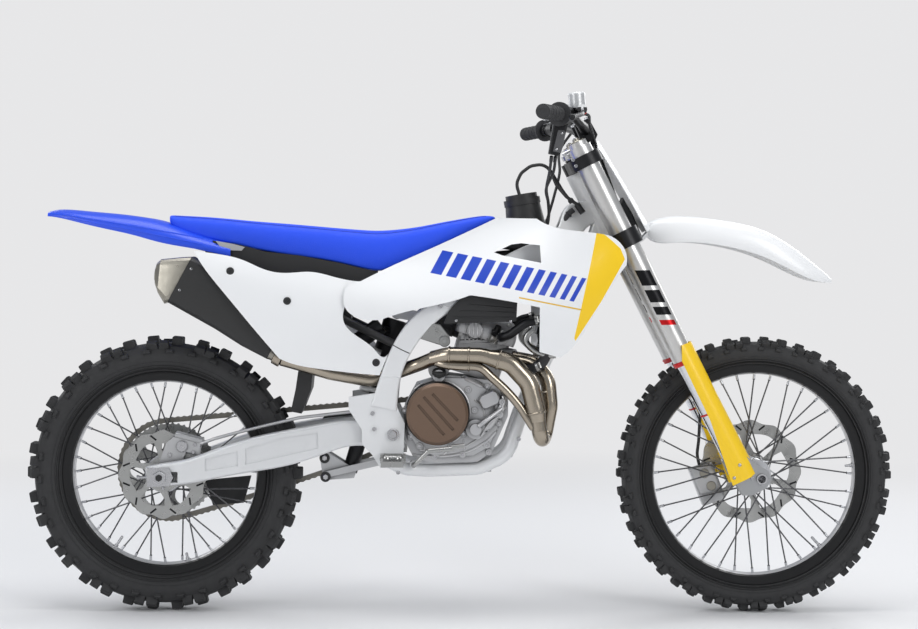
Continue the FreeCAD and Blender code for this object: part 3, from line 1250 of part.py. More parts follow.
def clutch_cover():
    """Save the round clutch cover: a domed edge and three slanting grooves."""
    centre = spot(*CLUTCH_SHARES)
    inner, outer = [share * BODY_HALF for share in CLUTCH_SIDE_SHARES]
    barrel = across(centre, CLUTCH_RADIUS, outer + CLUTCH_EDGE, inner)
    shoulder = cone(Vector(centre.x, outer + CLUTCH_EDGE, centre.z), Vector(centre.x, outer, centre.z),
                    CLUTCH_RADIUS,
                    CLUTCH_RADIUS - CLUTCH_EDGE)
    tools = []
    for start_x, start_z, stop_x, stop_z in CLUTCH_GROOVE_SHARES:
        start = centre + Vector(start_x, 0, start_z) * CLUTCH_RADIUS
        stop = centre + Vector(stop_x, 0, stop_z) * CLUTCH_RADIUS
        aside = (stop - start).cross(SIDEWAYS).normalize() * (CLUTCH_GROOVE / 2)
        tools.append(flat_piece([start - aside, stop - aside, stop + aside, start + aside], outer - OVERRUN,
                                outer + CLUTCH_GROOVE_DEPTH))
    save("clutch_cover", joined([barrel, shoulder]).cut(tools))


def engine():
    """Save the engine's cases, cylinder head and clutch cover."""
    case_shape = cases()
    save("engine_cases", case_shape)
    save("cylinder_head", cylinder_head(case_shape))
    clutch_cover()


HEADER_SHARES = (
    PORT_SHARES, (0.622, 0.632, -0.88), (0.644, 0.590, -1.08), (0.648, 0.525, -1.13), (0.638, 0.446, -1.14),
    (0.631, 0.446, -1.58), (0.622, 0.520, -1.58), (0.611, 0.585, -1.56), (0.580, 0.634, -1.52),
    (0.530, 0.652, -1.50),
    (0.478, 0.653, -1.42), (0.452, 0.642, -1.24),
)
HEADER_RADIUS = 19.0
HEADER_BEND = 60.0
BULB_SHARES = ((0.6225, 0.516, -1.58), (0.622, 0.520, -1.58), (0.611, 0.585, -1.56), (0.580, 0.634, -1.52),
               (0.560, 0.6412, -1.512))
BULB_RADIUS = 24.0
BULB_TAPER = 34.0
BULB_NECK_RADIUS = 17.5
LINK_SHARES = (
    (0.454, 0.643, -1.26), (0.432, 0.628, -1.04), (0.398, 0.609, -0.87), (0.350, 0.585, -0.88),
    (0.282, 0.604, -1.04),
    (0.235, 0.625, -1.14), (0.2016, 0.639, -1.19),
)
LINK_RADIUS = 17.0


def exhaust():
    """Save the header, from the cylinder's port round its loop and back to the silencer."""
    header = tube(route(HEADER_SHARES), HEADER_RADIUS, HEADER_BEND)
    link = tube(route(LINK_SHARES), LINK_RADIUS, HEADER_BEND)
    line = route(BULB_SHARES)
    bulb = tube(line, BULB_RADIUS, HEADER_BEND)
    low = cone(line[0], line[0] + (line[0] - line[1]).normalize() * BULB_TAPER, BULB_RADIUS,
               BULB_NECK_RADIUS)
    back = cone(line[-1], line[-1] + (line[-1] - line[-2]).normalize() * BULB_TAPER, BULB_RADIUS,
                BULB_NECK_RADIUS)
    save("exhaust_header", joined([header, link, bulb, low, back]))


# Chain

CHAIN_DIP_SHARES = (0.222, 0.318)
CHAIN_TURN_SHARES = (0.18, 0.12)        # the lower run leaves the sprockets early, in radians
SAG = 3.0
FRONT_SAG = 16.0
CHAIN_WALL = 1.5
LINK_WAIST = 2.6


def on_wheel(centre, reach, angle):
    """A place round a wheel's middle in the side view."""
    return centre + on_circle(reach, angle)


def chain_outline(offset):
    """The chain's line round both sprockets, moved outward by an offset."""
    early_rear, early_front = CHAIN_TURN_SHARES
    rear_reach = REAR_PITCH_RADIUS + offset
    front_reach = FRONT_PITCH_RADIUS + offset
    ahead = COUNTERSHAFT - REAR_AXLE
    tilt = math.atan2(ahead.z, ahead.x)
    turn = math.acos((REAR_PITCH_RADIUS - FRONT_PITCH_RADIUS) / ahead.Length)
    rear_top = on_wheel(REAR_AXLE, rear_reach, tilt + turn)
    front_top = on_wheel(COUNTERSHAFT, front_reach, tilt + turn)
    rear_low = on_wheel(REAR_AXLE, rear_reach, tilt - turn - early_rear)
    front_low = on_wheel(COUNTERSHAFT, front_reach, tilt - turn + early_front)
    dip = spot(*CHAIN_DIP_SHARES) - Vector(0, 0, offset)
    quarter = rear_low + (dip - rear_low) * 0.5 - Vector(0, 0, SAG)
    beyond = dip + (front_low - dip) * 0.5 - Vector(0, 0, FRONT_SAG)
    edges = [
        Part.makeLine(rear_top, front_top),
        Part.Arc(front_top, on_wheel(COUNTERSHAFT, front_reach, tilt), front_low).toShape(),
        spline([rear_low, quarter, dip, beyond, front_low]),
        Part.Arc(rear_low, on_wheel(REAR_AXLE, rear_reach, tilt + math.pi), rear_top).toShape(),
    ]
    return Part.Wire(Part.sortEdges(edges)[0])


def chain():
    """Save the chain as one closed loop of waisted links round both sprockets."""
    full = chain_outline(CHAIN_HEIGHT / 2)
    waist = chain_outline(CHAIN_HEIGHT / 2 - LINK_WAIST)
    count = 2 * round(full.Length / CHAIN_PITCH)
    points = full.discretize(count + 1)[:-1]
    for number in range(1, count, 2):
        points[number] = waist.distToShape(Part.Vertex(points[number]))[1][0][0]
    links = slab(polygon(points), CHAIN_Y - CHAIN_HALF, CHAIN_Y + CHAIN_HALF)
    middle = slab(chain_outline(-CHAIN_HEIGHT / 2), -OVERRUN, OVERRUN)
    half_groove = SPROCKET_THICK / 2 + RUN_GAP
    groove = slab(chain_outline(-CHAIN_WALL), CHAIN_Y - half_groove, CHAIN_Y + half_groove)
    save("chain", links.cut([middle, groove]))
    save("front_sprocket", sprocket(COUNTERSHAFT, FRONT_TEETH, FRONT_PITCH_RADIUS, SHAFT_RADIUS, 0))


SLIDER_SHARES = (
    (0.262, 0.478), (0.270, 0.489), (0.330, 0.501), (0.372, 0.501), (0.372, 0.494), (0.330, 0.492),
    (0.275, 0.480),
)
SLIDER_SIDE_SHARES = (0.58, 0.78)
GUIDE_SHARES = ((0.062, 0.318), (0.075, 0.256), (0.128, 0.262), (0.140, 0.330))
GUIDE_SIDE_SHARES = (0.55, 0.78)
GUIDE_ROOM_SHARES = ((0.050, 0.330), (0.050, 0.270), (0.160, 0.280), (0.160, 0.350))
GUIDE_ROOM_SIDE_SHARES = (0.575, 0.745)


def prism(outline_shares, side_shares):
    """A straight-sided piece from its outline's and its two sides' shares."""
    low, high = sorted(share * BODY_HALF for share in side_shares)
    return flat_piece(route(outline_shares), low, high)


def chain_guides():
    """Save the chain's slider on the swingarm and its guide under it."""
    slider = prism(SLIDER_SHARES, SLIDER_SIDE_SHARES)
    guide = prism(GUIDE_SHARES, GUIDE_SIDE_SHARES)
    room = prism(GUIDE_ROOM_SHARES, GUIDE_ROOM_SIDE_SHARES)
    wide = CHAIN_HALF + RUN_GAP
    reach = CHAIN_HEIGHT / 2 + RUN_GAP
    path = slab(chain_outline(reach), CHAIN_Y - wide, CHAIN_Y + wide).cut(slab(chain_outline(-reach),
                                                                               -OVERRUN, OVERRUN))
    save("chain_guides", group([slider, guide.cut([room, path])]))


# Bodywork

# Rows of (along, top, underside, half width), the last in shares of the body's half width
SEAT_SHARES = (
    (0.010, 0.9935, 0.984, 0.66), (0.067, 0.990, 0.953, 0.74), (0.145, 0.980, 0.935, 0.79),
    (0.230, 0.971, 0.898, 0.82),
    (0.300, 0.9625, 0.880, 0.84), (0.364, 0.957, 0.860, 0.84), (0.430, 0.968, 0.900, 0.78),
    (0.498, 0.988, 0.948, 0.66),
    (0.540, 0.9975, 0.974, 0.52), (0.558, 0.9945, 0.986, 0.40),
)
SEAT_STATIONS = 17
SEAT_SECTION_SHARES = (
    (-1.0, 0.04), (-1.02, 0.45), (-0.9, 0.86), (-0.5, 0.985), (0.0, 1.0), (0.5, 0.985), (0.9, 0.86),
    (1.02, 0.45),
    (1.0, 0.04),
)


def seat():
    """Save the seat: a long crowned cushion that thins towards the fender and the tank."""
    wires = []
    for along, top, low, half in even_rows(SEAT_SHARES, SEAT_STATIONS):
        points = [spot(along, low + up * (top - low), side * half) for side, up in SEAT_SECTION_SHARES]
        wires.append(smooth(points, [0, len(points) - 1]))
    save("seat", Part.makeLoft(wires, True, False))


# Rows of (along, up, half width, drop), the last two in shares of the body's half width
REAR_FENDER_SHARES = (
    (-0.193, 1.000, 0.58, 0.12), (-0.170, 1.006, 0.72, 0.22), (-0.115, 0.9985, 0.88, 0.34),
    (-0.050, 0.990, 0.98, 0.46),
    (0.005, 0.9740, 1.04, 0.52), (0.060, 0.9440, 1.04, 0.36), (0.115, 0.924, 1.00, 0.32),
)
REAR_FENDER_STATIONS = 9
REAR_FENDER_CROWN_SHARE = 0.1


def rear_fender_shape():
    """The rear fender: a thin channel from the seat's skirts to its tail."""
    wires = []
    for along, up, half, drop in even_rows(REAR_FENDER_SHARES, REAR_FENDER_STATIONS):
        high = drop * BODY_HALF
        wires.append(arch(spot(along, up), half * BODY_HALF, high, high * REAR_FENDER_CROWN_SHARE))
    return Part.makeLoft(wires, True, False)


PANEL_ALONG_SHARES = (0.045, 0.135, 0.222, 0.303, 0.385)
PANEL_SURFACE_SHARES = (
    (0.590, (1.60, 1.62, 1.58, 1.48, 1.38)), (0.700, (1.66, 1.71, 1.67, 1.53, 1.41)),
    (0.800, (1.64, 1.69, 1.65, 1.51, 1.40)), (0.875, (1.58, 1.56, 1.42, 1.24, 1.12)),
    (0.915, (1.46, 1.30, 1.12, 1.06, 1.04)),
)
PANEL_OUTLINE_SHARES = (
    (0.059, 0.904), (0.090, 0.898), (0.141, 0.881), (0.170, 0.862), (0.205, 0.851), (0.249, 0.854),
    (0.299, 0.838),
    (0.332, 0.831), (0.306, 0.765), (0.305, 0.734), (0.316, 0.710), (0.357, 0.662), (0.370, 0.645),
    (0.378, 0.653),
    (0.364, 0.601), (0.332, 0.605), (0.265, 0.617), (0.215, 0.633), (0.200, 0.643), (0.167, 0.700),
    (0.133, 0.760),
    (0.102, 0.815), (0.070, 0.876),
)
PANEL_CORNERS = [0, 7, 13, 14, 18]
PANEL_BOSS_SHARES = (0.2128, 0.787)
SHROUD_ALONG_SHARES = (0.296, 0.377, 0.471, 0.566, 0.646, 0.714, 0.775)
SHROUD_SURFACE_SHARES = (
    (0.635, (1.62, 1.58, 1.58, 1.80, 2.06, 2.22, 2.30)), (0.720, (1.63, 1.58, 1.56, 1.78, 2.12, 2.30, 2.40)),
    (0.800, (1.64, 1.56, 1.50, 1.70, 2.10, 2.38, 2.50)), (0.880, (1.38, 1.14, 1.12, 1.34, 1.80, 2.28, 2.46)),
    (0.940, (1.12, 1.01, 0.94, 1.00, 1.42, 2.05, 2.32)), (1.005, (1.06, 0.98, 0.90, 0.86, 1.02, 1.50, 1.90)),
)
SHROUD_OUTLINE_SHARES = (
    (0.558, 0.990), (0.624, 0.988), (0.665, 0.962), (0.699, 0.955), (0.739, 0.945), (0.763, 0.906),
    (0.764, 0.874),
    (0.729, 0.796), (0.706, 0.736), (0.670, 0.661), (0.659, 0.650), (0.626, 0.663), (0.626, 0.771),
    (0.561, 0.789),
    (0.513, 0.799), (0.490, 0.787), (0.431, 0.766), (0.368, 0.739), (0.351, 0.737), (0.310, 0.762),
    (0.305, 0.785),
    (0.310, 0.817), (0.333, 0.832), (0.366, 0.857), (0.466, 0.925), (0.533, 0.972),
)
SHROUD_CORNERS = [0, 1, 4, 6, 10, 11, 12, 14, 17, 20, 22]
WINDOW_SHARES = ((0.553, 0.904), (0.582, 0.924), (0.598, 0.927), (0.628, 0.922), (0.629, 0.879),
                 (0.566, 0.897))
SHROUD_BOSS_SHARES = (0.660, 0.790)
PANEL_BOSS_RADIUS = 9.0
BOSS_REACH = 170.0


def side_panels():
    """Save both side panels, each with a boss that reaches the subframe's stay."""
    place = spot(*PANEL_BOSS_SHARES)
    inner = STAY_SHARES[2][2] * BODY_HALF
    boss = across(place, PANEL_BOSS_RADIUS, inner - BOSS_REACH, inner).cut(stay_tube(RAIL_RADIUS + FIT))
    outline = smooth(route(PANEL_OUTLINE_SHARES), PANEL_CORNERS)
    side = panel(panel_surface(PANEL_ALONG_SHARES, PANEL_SURFACE_SHARES), outline, [boss])
    save("right_side_panel", side)
    save("left_side_panel", mirrored(side))


def shrouds():
    """Save both shrouds with their windows, each with a boss against the radiator."""
    inner = RADIATOR_SIDE_SHARE * BODY_HALF - RADIATOR_CORE_WIDE / 2 - FIT
    boss = across(spot(*SHROUD_BOSS_SHARES), PANEL_BOSS_RADIUS, inner - BOSS_REACH, inner)
    outline = smooth(route(SHROUD_OUTLINE_SHARES), SHROUD_CORNERS)
    side = panel(panel_surface(SHROUD_ALONG_SHARES, SHROUD_SURFACE_SHARES), outline, [boss])
    side = side.cut(slab(polygon(route(WINDOW_SHARES)), -OVERRUN, 0))
    save("right_shroud", side)
    save("left_shroud", mirrored(side))


SILENCER_JOINT_SHARES = (0.035, 0.833, -1.12)
SILENCER_AXIS = Vector(0.88, 0, -0.475).normalize()
SILENCER_WIDE = 84.0
SILENCER_HIGH = 128.0
SILENCER_CORNER = 20.0
SILENCER_LONG = 130.0
SILENCER_NOSE_SHARES = ((0.1535, 0.722, -1.12, 0.74, 0.98), (0.183, 0.654, -1.16, 0.50, 0.54),
                        (0.197, 0.640, -1.19, 0.44, 0.42))
HANGER_SHARES = ((0.124, 0.800), (0.142, 0.800), (0.142, 0.898), (0.124, 0.898))
HANGER_SIDE_SHARES = (-0.88, -0.815)
CAP_SHARES = ((0.25, 0.023, 0.95, 0.875), (0.4375, 0.039, 0.74, 0.656))
OUTLET_RADIUS = 22.0
OUTLET_FROM = 20.0
OUTLET_TO = 70.0


def silencer():
    """Save the silencer's body, with its hanger, and its end cap."""
    joint = spot(*SILENCER_JOINT_SHARES)
    stations = [(joint, SILENCER_WIDE, SILENCER_HIGH), (joint + SILENCER_AXIS * SILENCER_LONG,
                                                        SILENCER_WIDE, SILENCER_HIGH)]
    body = beam(stations + stations_of(SILENCER_NOSE_SHARES), SILENCER_CORNER)
    save("silencer", joined([body, prism(HANGER_SHARES, HANGER_SIDE_SHARES)]))
    ends = [(joint - SILENCER_AXIS * FIT, SILENCER_WIDE, SILENCER_HIGH)]
    for back, up, wide, high in CAP_SHARES:
        middle = joint - SILENCER_AXIS * (back * SILENCER_HIGH) + Vector(0, 0, up * SILENCER_HIGH)
        ends.append((middle, wide * SILENCER_WIDE, high * SILENCER_HIGH))
    outlet = rod(joint - SILENCER_AXIS * OUTLET_TO, joint - SILENCER_AXIS * OUTLET_FROM, OUTLET_RADIUS)
    save("silencer_cap", beam(ends, SILENCER_CORNER).cut([outlet, body]))


RAIL_SHARES = (
    (0.440, 0.775, -1.00), (0.375, 0.822, -0.82), (0.300, 0.850, -0.76), (0.200, 0.876, -0.74),
    (0.115, 0.898, -0.70),
    (0.040, 0.924, -0.60),
)
STAY_SHARES = ((0.400, 0.668, -1.06), (0.345, 0.706, -0.86), (0.215, 0.800, -0.78), (0.150, 0.892, -0.74))
RAIL_BAR_SHARES = ((0.375, 0.822, 0.80), (0.200, 0.876, 0.72), (0.075, 0.908, 0.62))
POST_SHARES = (0.075, 0.908, -0.30)
POST_TOP_SHARE = 0.9348


def rail_tube(radius):
    """The right seat rail at a radius."""
    return tube(route(RAIL_SHARES), radius, RAIL_BEND)


def stay_tube(radius):
    """The right stay under the rail at a radius."""
    return tube(route(STAY_SHARES), radius, RAIL_BEND)


def subframe(frame_shape, fender_shape):
    """Save the rear rails with their stays, cross bars and the posts under the fender."""
    bars = []
    for along, up, half in RAIL_BAR_SHARES:
        bars.append(across(spot(along, up), RAIL_BAR, -half * BODY_HALF, half * BODY_HALF))
    foot = spot(*POST_SHARES)
    top = spot(POST_SHARES[0], POST_TOP_SHARE, POST_SHARES[2])
    pieces = with_mirror([rail_tube(RAIL_RADIUS), stay_tube(RAIL_RADIUS), rod(foot, top, POST_RADIUS)])
    lowered = fender_shape.copy()
    lowered.translate(Vector(0, 0, -FIT))
    save("subframe", joined(pieces + bars).cut([frame_shape, lowered]))


AIRBOX_SHARES = ((0.140, 0.835, 0, 1.26, 0.70), (0.215, 0.810, 0, 1.40, 0.96), (0.320, 0.775, 0, 1.40, 1.10))
AIRBOX_CORNER = 14.0
FLAP_SHARES = ((0.222, 0.780), (0.248, 0.780), (0.252, 0.622), (0.248, 0.560), (0.232, 0.500),
               (0.214, 0.505), (0.222, 0.560),
               (0.228, 0.622))
FLAP_SIDE_SHARES = (-0.62, 0.50)


def airbox():
    """Save the airbox under the seat with the mud flap that hangs from it."""
    grown = RAIL_RADIUS + FIT
    box = beam(stations_of(AIRBOX_SHARES), AIRBOX_CORNER)
    whole = joined([box, prism(FLAP_SHARES, FLAP_SIDE_SHARES)])
    save("airbox", whole.cut(with_mirror([stay_tube(grown), rail_tube(grown)])))


DAMPER_LENGTH_SHARES = ((0, 0.42), (0.4, 0.84), (0.76, 0.955), (0.36, 0.385))
DAMPER_RADII = (19.0, 11.0, 30.0, 37.0)
SHOCK_EYE_RADIUS = 16.0
SHOCK_FOOT_PIN = 7.0
SHOCK_TANK_SHARES = ((0.365, 0.722, -0.52), (0.328, 0.682, -0.52))
SHOCK_NECK_SHARES = ((0.384, 0.704, -0.10), (0.360, 0.712, -0.52))
SHOCK_TANK_RADIUS = 22.0
SHOCK_NECK_RADIUS = 10.0
SPRING_PITCH = 27.0
SPRING_RADIUS = 32.0
SPRING_WIRE = 6.0
SPRING_SHARES = (0.405, 0.755)
CRANK_SHARES = ((0.262, 0.388), (0.274, 0.402), (0.324, 0.356), (0.320, 0.336), (0.268, 0.330))
CRANK_SIDE_SHARES = (-0.30, -0.21)
PULL_SHARES = ((0.268, 0.336), (0.268, 0.352), (0.362, 0.386), (0.366, 0.370))
PULL_SIDE_SHARES = (-0.42, -0.303)
LINK_PIN_SHARES = ((0.272, 0.344, 0.42), (0.362, 0.378, 0.42), (0.312, 0.350, 0.30))


def suspension():
    """Save the shock, its spring and the linkage under the swingarm."""
    line = SHOCK_TOP - SHOCK_FOOT
    axis = (SHOCK_TOP - SHOCK_FOOT).normalize()
    pieces = []
    for (start, stop), radius in zip(DAMPER_LENGTH_SHARES, DAMPER_RADII):
        pieces.append(rod(SHOCK_FOOT + line * start, SHOCK_FOOT + line * stop, radius))
    pieces.append(across(SHOCK_TOP, SHOCK_EYE_RADIUS, -SHOCK_EYE_HALF, SHOCK_EYE_HALF))
    pieces.append(rod(*route(SHOCK_TANK_SHARES), SHOCK_TANK_RADIUS))
    pieces.append(rod(*route(SHOCK_NECK_SHARES), SHOCK_NECK_RADIUS))
    pin_rooms = [through(SHOCK_TOP, SHOCK_PIN + FIT), through(SHOCK_FOOT, SHOCK_FOOT_PIN + FIT)]
    save("shock", joined(pieces).cut(pin_rooms))
    low, high = SPRING_SHARES
    helix = Part.makeHelix(SPRING_PITCH, line.Length * (high - low), SPRING_RADIUS)
    section = Part.Wire([Part.makeCircle(SPRING_WIRE, Vector(SPRING_RADIUS, 0, 0), SIDEWAYS)])
    spring = Part.Wire(helix.Edges).makePipeShell([section], True, True)
    spring.Placement = Placement(SHOCK_FOOT + line * low, Rotation(Vector(0, 0, 1), axis))
    save("shock_spring", spring)
    arms = with_mirror([prism(CRANK_SHARES, CRANK_SIDE_SHARES), prism(PULL_SHARES, PULL_SIDE_SHARES)])
    pins = [across(spot(along, up), SHOCK_FOOT_PIN, -half * BODY_HALF, half * BODY_HALF)
            for along, up, half in LINK_PIN_SHARES]
    save("linkage", joined(arms + pins))


TANK_TOP_SHARES = (
    (0.470, 0.918, 0, 1.10, 0.20), (0.530, 0.940, 0, 1.16, 0.40), (0.590, 0.948, 0, 1.30, 0.76),
    (0.640, 0.944, 0, 1.20, 0.70),
)
TANK_LOW_SHARES = ((0.500, 0.860, 0, 1.04, 0.80), (0.600, 0.868, 0, 0.96, 0.90))
TANK_CORNER = 9.0
LOBE_SHARES = ((0.470, 0.728), (0.590, 0.735), (0.592, 0.800), (0.500, 0.795), (0.478, 0.760))
LOBE_SIDE_SHARES = (-1.34, -1.11)
FILLER_SHARES = (0.6035, 1.0245)
FILLER_TILT = Vector(-0.165, 0, 0.986)
FILLER_DEEP = 74.0
FILLER_RADII = (52.0, 44.0)
FILLER_CAP_RADII = (46.0, 40.0)
FILLER_CAP_HEIGHTS = (16.0, 27.0)
VENT_SHARES = (
    (0.598, 1.046, -0.16), (0.592, 1.078, -0.16), (0.600, 1.104, -0.18), (0.616, 1.122, -0.20),
    (0.634, 1.126, -0.20),
    (0.646, 1.118, -0.16), (0.653, 1.100, -0.14), (0.660, 1.074, -0.20), (0.676, 1.045, -0.34),
    (0.697, 1.022, -0.44),
)
VENT_RADIUS = 4.2
VENT_BEND = 30.0
VENT_END_SHARES = ((0.6935, 1.026, -0.42), (0.7035, 1.004, -0.46))
VENT_END_RADIUS = 8.0


def fuel(frame_shape):
    """Save the tank with its side lobes, and the cap with its vent hose."""
    base = spot(*FILLER_SHARES)
    neck = cone(base - FILLER_TILT * FILLER_DEEP, base - FILLER_TILT * FIT, *FILLER_RADII)
    body = joined([beam(stations_of(TANK_TOP_SHARES), TANK_CORNER), beam(stations_of(TANK_LOW_SHARES),
                                                                         TANK_CORNER), neck])
    lobe = prism(LOBE_SHARES, LOBE_SIDE_SHARES).cut(frame_shape)
    save("fuel_tank", group([body.cut(frame_shape), lobe, mirrored(lobe)]))
    step, top = [base + FILLER_TILT * height for height in FILLER_CAP_HEIGHTS]
    cap = joined([rod(base, step, FILLER_CAP_RADII[0]), rod(step, top, FILLER_CAP_RADII[1])])
    hose = tube(route(VENT_SHARES), VENT_RADIUS, VENT_BEND)
    save("fuel_cap", joined([cap, hose, rod(*route(VENT_END_SHARES), VENT_END_RADIUS)]))


COOLANT_SHARES = (
    (0.630, 0.740, -1.40), (0.606, 0.732, -1.38), (0.580, 0.702, -1.24), (0.566, 0.694, -1.14),
    (0.566, 0.694, -0.763),
)
COOLANT_RADIUS = 11.0
COOLANT_BEND = 40.0


def radiators():
    """Save the two radiators with their slats, and the hoses to the cylinder head."""
    low = spot(*RADIATOR_LOW_SHARES, RADIATOR_SIDE_SHARE)
    high = spot(*RADIATOR_HIGH_SHARES, RADIATOR_SIDE_SHARE)
    axis = (high - low).normalize()
    ahead = SIDEWAYS.cross(axis)
    tank = axis * RADIATOR_TANK_HIGH
    lap = axis * (RADIATOR_TANK_HIGH * 0.9)
    core = beam([(low + lap, RADIATOR_CORE_WIDE, RADIATOR_CORE_DEEP), (high - lap, RADIATOR_CORE_WIDE,
                                                                       RADIATOR_CORE_DEEP)],
                RADIATOR_CORNER)
    tanks = [beam([(foot, RADIATOR_TANK_WIDE, RADIATOR_TANK_DEEP), (foot + tank, RADIATOR_TANK_WIDE,
                                                                    RADIATOR_TANK_DEEP)],
                  RADIATOR_TANK_CORNER) for foot in (low, high - tank)]
    span = (high - low).Length - 2 * RADIATOR_TANK_HIGH
    pitch = span / RADIATOR_SLATS
    slots = []
    for number in range(RADIATOR_SLATS):
        middle = low + tank + axis * (pitch * (number + 0.5)) + ahead * (RADIATOR_CORE_DEEP / 2)
        half = axis * (pitch / 4)
        slots.append(beam([(middle - half, RADIATOR_CORE_WIDE * 0.94, SLAT_DEPTH * 2),
                           (middle + half, RADIATOR_CORE_WIDE * 0.94, SLAT_DEPTH * 2)], SLAT_DEPTH / 10))
    hose = tube(route(COOLANT_SHARES), COOLANT_RADIUS, COOLANT_BEND)
    save("radiators", both_sides(joined([core] + tanks + [hose]).cut(slots)))


REAR_CALIPER_SHARES = ((0.0189, 0.434, -0.56, 0.42, 0.44), (0.0633, 0.414, -0.56, 0.42, 0.48))
REAR_HOSE_SHARES = (
    (0.062, 0.424, -0.74), (0.0875, 0.438, -0.78), (0.121, 0.452, -0.80), (0.168, 0.470, -0.84),
    (0.229, 0.492, -0.90),
    (0.283, 0.502, -0.94), (0.325, 0.510, -1.00), (0.352, 0.512, -1.077),
)
REAR_BRACKET_SHARES = (
    (-0.0162, 0.326), (0.0162, 0.322), (0.0404, 0.406), (0.0646, 0.396), (0.0633, 0.426), (0.0189, 0.442),
    (0.0067, 0.426),
)
REAR_BRACKET_SIDE_SHARES = (-0.80, -0.70)
HOSE_BEND = 50.0


def rear_caliper():
    """Save the rear caliper on its bracket round the axle, with its hose to the frame."""
    body = beam(stations_of(REAR_CALIPER_SHARES), CALIPER_CORNER)
    half_gap = DISC_THICK / 2 + CALIPER_PAD_GAP + FIT
    gap = across(REAR_AXLE, REAR_DISC_RADIUS + CALIPER_PAD_GAP, REAR_DISC_Y - half_gap,
                 REAR_DISC_Y + half_gap)
    bracket = prism(REAR_BRACKET_SHARES, REAR_BRACKET_SIDE_SHARES)
    bore = across(REAR_AXLE, REAR_AXLE_RADIUS + COLLAR_WALL + FIT, -OVERRUN, 0)
    hose = tube(route(REAR_HOSE_SHARES), HOSE_RADIUS, HOSE_BEND)
    save("rear_caliper", joined([body, bracket, hose]).cut([gap, bore]))


PEDAL_SHARES = ((0.421, 0.380, -1.283), (0.421, 0.380, -1.60), (0.445, 0.418, -1.67), (0.488, 0.424, -1.67))
PEDAL_PAD_SHARES = ((0.484, 0.428, -1.68, 0.24, 0.10), (0.504, 0.432, -1.68, 0.24, 0.10))
PAD_CORNER = 3.0
GEAR_SHARES = ((0.455, 0.440, 1.10), (0.455, 0.440, 1.46), (0.490, 0.446, 1.50), (0.523, 0.446, 1.52))
GEAR_TIP_SHARES = (0.522, 0.446)
GEAR_TIP_SIDE_SHARES = (1.44, 1.80)
GEAR_TIP_RADIUS = 9.0
PEDAL_RADIUS = 6.0
PEDAL_BEND = 12.0


def foot_levers():
    """Save the brake pedal and the gear lever."""
    pedal = tube(route(PEDAL_SHARES), PEDAL_RADIUS, PEDAL_BEND)
    pad = beam(stations_of(PEDAL_PAD_SHARES), PAD_CORNER)
    gear = tube(route(GEAR_SHARES), PEDAL_RADIUS, PEDAL_BEND)
    low, high = [share * BODY_HALF for share in GEAR_TIP_SIDE_SHARES]
    tip = across(spot(*GEAR_TIP_SHARES), GEAR_TIP_RADIUS, low, high)
    save("foot_levers", group([joined([pedal, pad]), joined([gear, tip])]))


PEG_PIVOT = spot(0.387, 0.396) - SIDEWAYS * (PLATE_OUTER + 0.16 * BODY_HALF)
PEG_PIN = 5.0
PEG_PIN_HALF = 32.0
PEG_EAR_FROM = 22.0
PEG_EAR_TO = 31.0
PEG_KNUCKLE = 9.0
PEG_KNUCKLE_HALF = 20.0
PEG_LOW = 10.0
PEG_HIGH = 12.0
PEG_ARM = (36.0, 40.0, 12.0)
PEG_DECK = (54.0, 78.0, 14.0)
PEG_WELL = (44.0, 14.0, 40.0)
PEG_WELLS = 4
PEG_WELL_PITCH = 18.0
PEG_WALL = 4.0
PEG_ARM_REACH = 46.0
PEG_REACH = 112.0
PEG_BACK = 11.0


def peg_bar(radius, half):
    """A round bar along the peg's pivot."""
    return rod(PEG_PIVOT - Vector(half, 0, 0), PEG_PIVOT + Vector(half, 0, 0), radius)


def peg_block(start, stop, side):
    """A block of the peg's mount from a place along the pivot to another, out to a side."""
    ends = ((start, -PEG_LOW), (stop, -PEG_LOW), (stop, PEG_HIGH), (start, PEG_HIGH))
    return flat_piece([PEG_PIVOT + Vector(ahead, 0, up) for ahead, up in ends], side, -PLATE_OUTER - FIT)


def peg_box(size, reach):
    """A block of the peg, centred on the pivot and starting at a reach to the outside."""
    long, wide, high = size
    return Part.makeBox(long, wide, high, PEG_PIVOT - Vector(long / 2, reach, PEG_KNUCKLE))


def pegs():
    """Save the folding footpegs and the mounts that carry them."""
    out = PEG_PIVOT.y - PEG_KNUCKLE
    ears = [peg_block(-PEG_EAR_TO, -PEG_EAR_FROM, out), peg_block(PEG_EAR_FROM, PEG_EAR_TO, out)]
    back = peg_block(-PEG_EAR_TO, PEG_EAR_TO, PEG_PIVOT.y + PEG_BACK)
    save("peg_mounts", both_sides(joined([peg_bar(PEG_PIN, PEG_PIN_HALF), back] + ears)))
    deck = peg_box(PEG_DECK, PEG_REACH)
    wells = []
    for number in range(PEG_WELLS):
        well = peg_box(PEG_WELL, PEG_REACH - PEG_WALL - number * PEG_WELL_PITCH)
        well.translate(Vector(0, 0, -PEG_HIGH))
        wells.append(well)
    peg = joined([peg_bar(PEG_KNUCKLE, PEG_KNUCKLE_HALF), peg_box(PEG_ARM, PEG_ARM_REACH), deck.cut(wells)])
    peg = peg.cut(peg_bar(PEG_PIN + RUN_GAP / 2, PEG_PIN_HALF))
    save("right_footpeg", peg)
    save("left_footpeg", mirrored(peg))


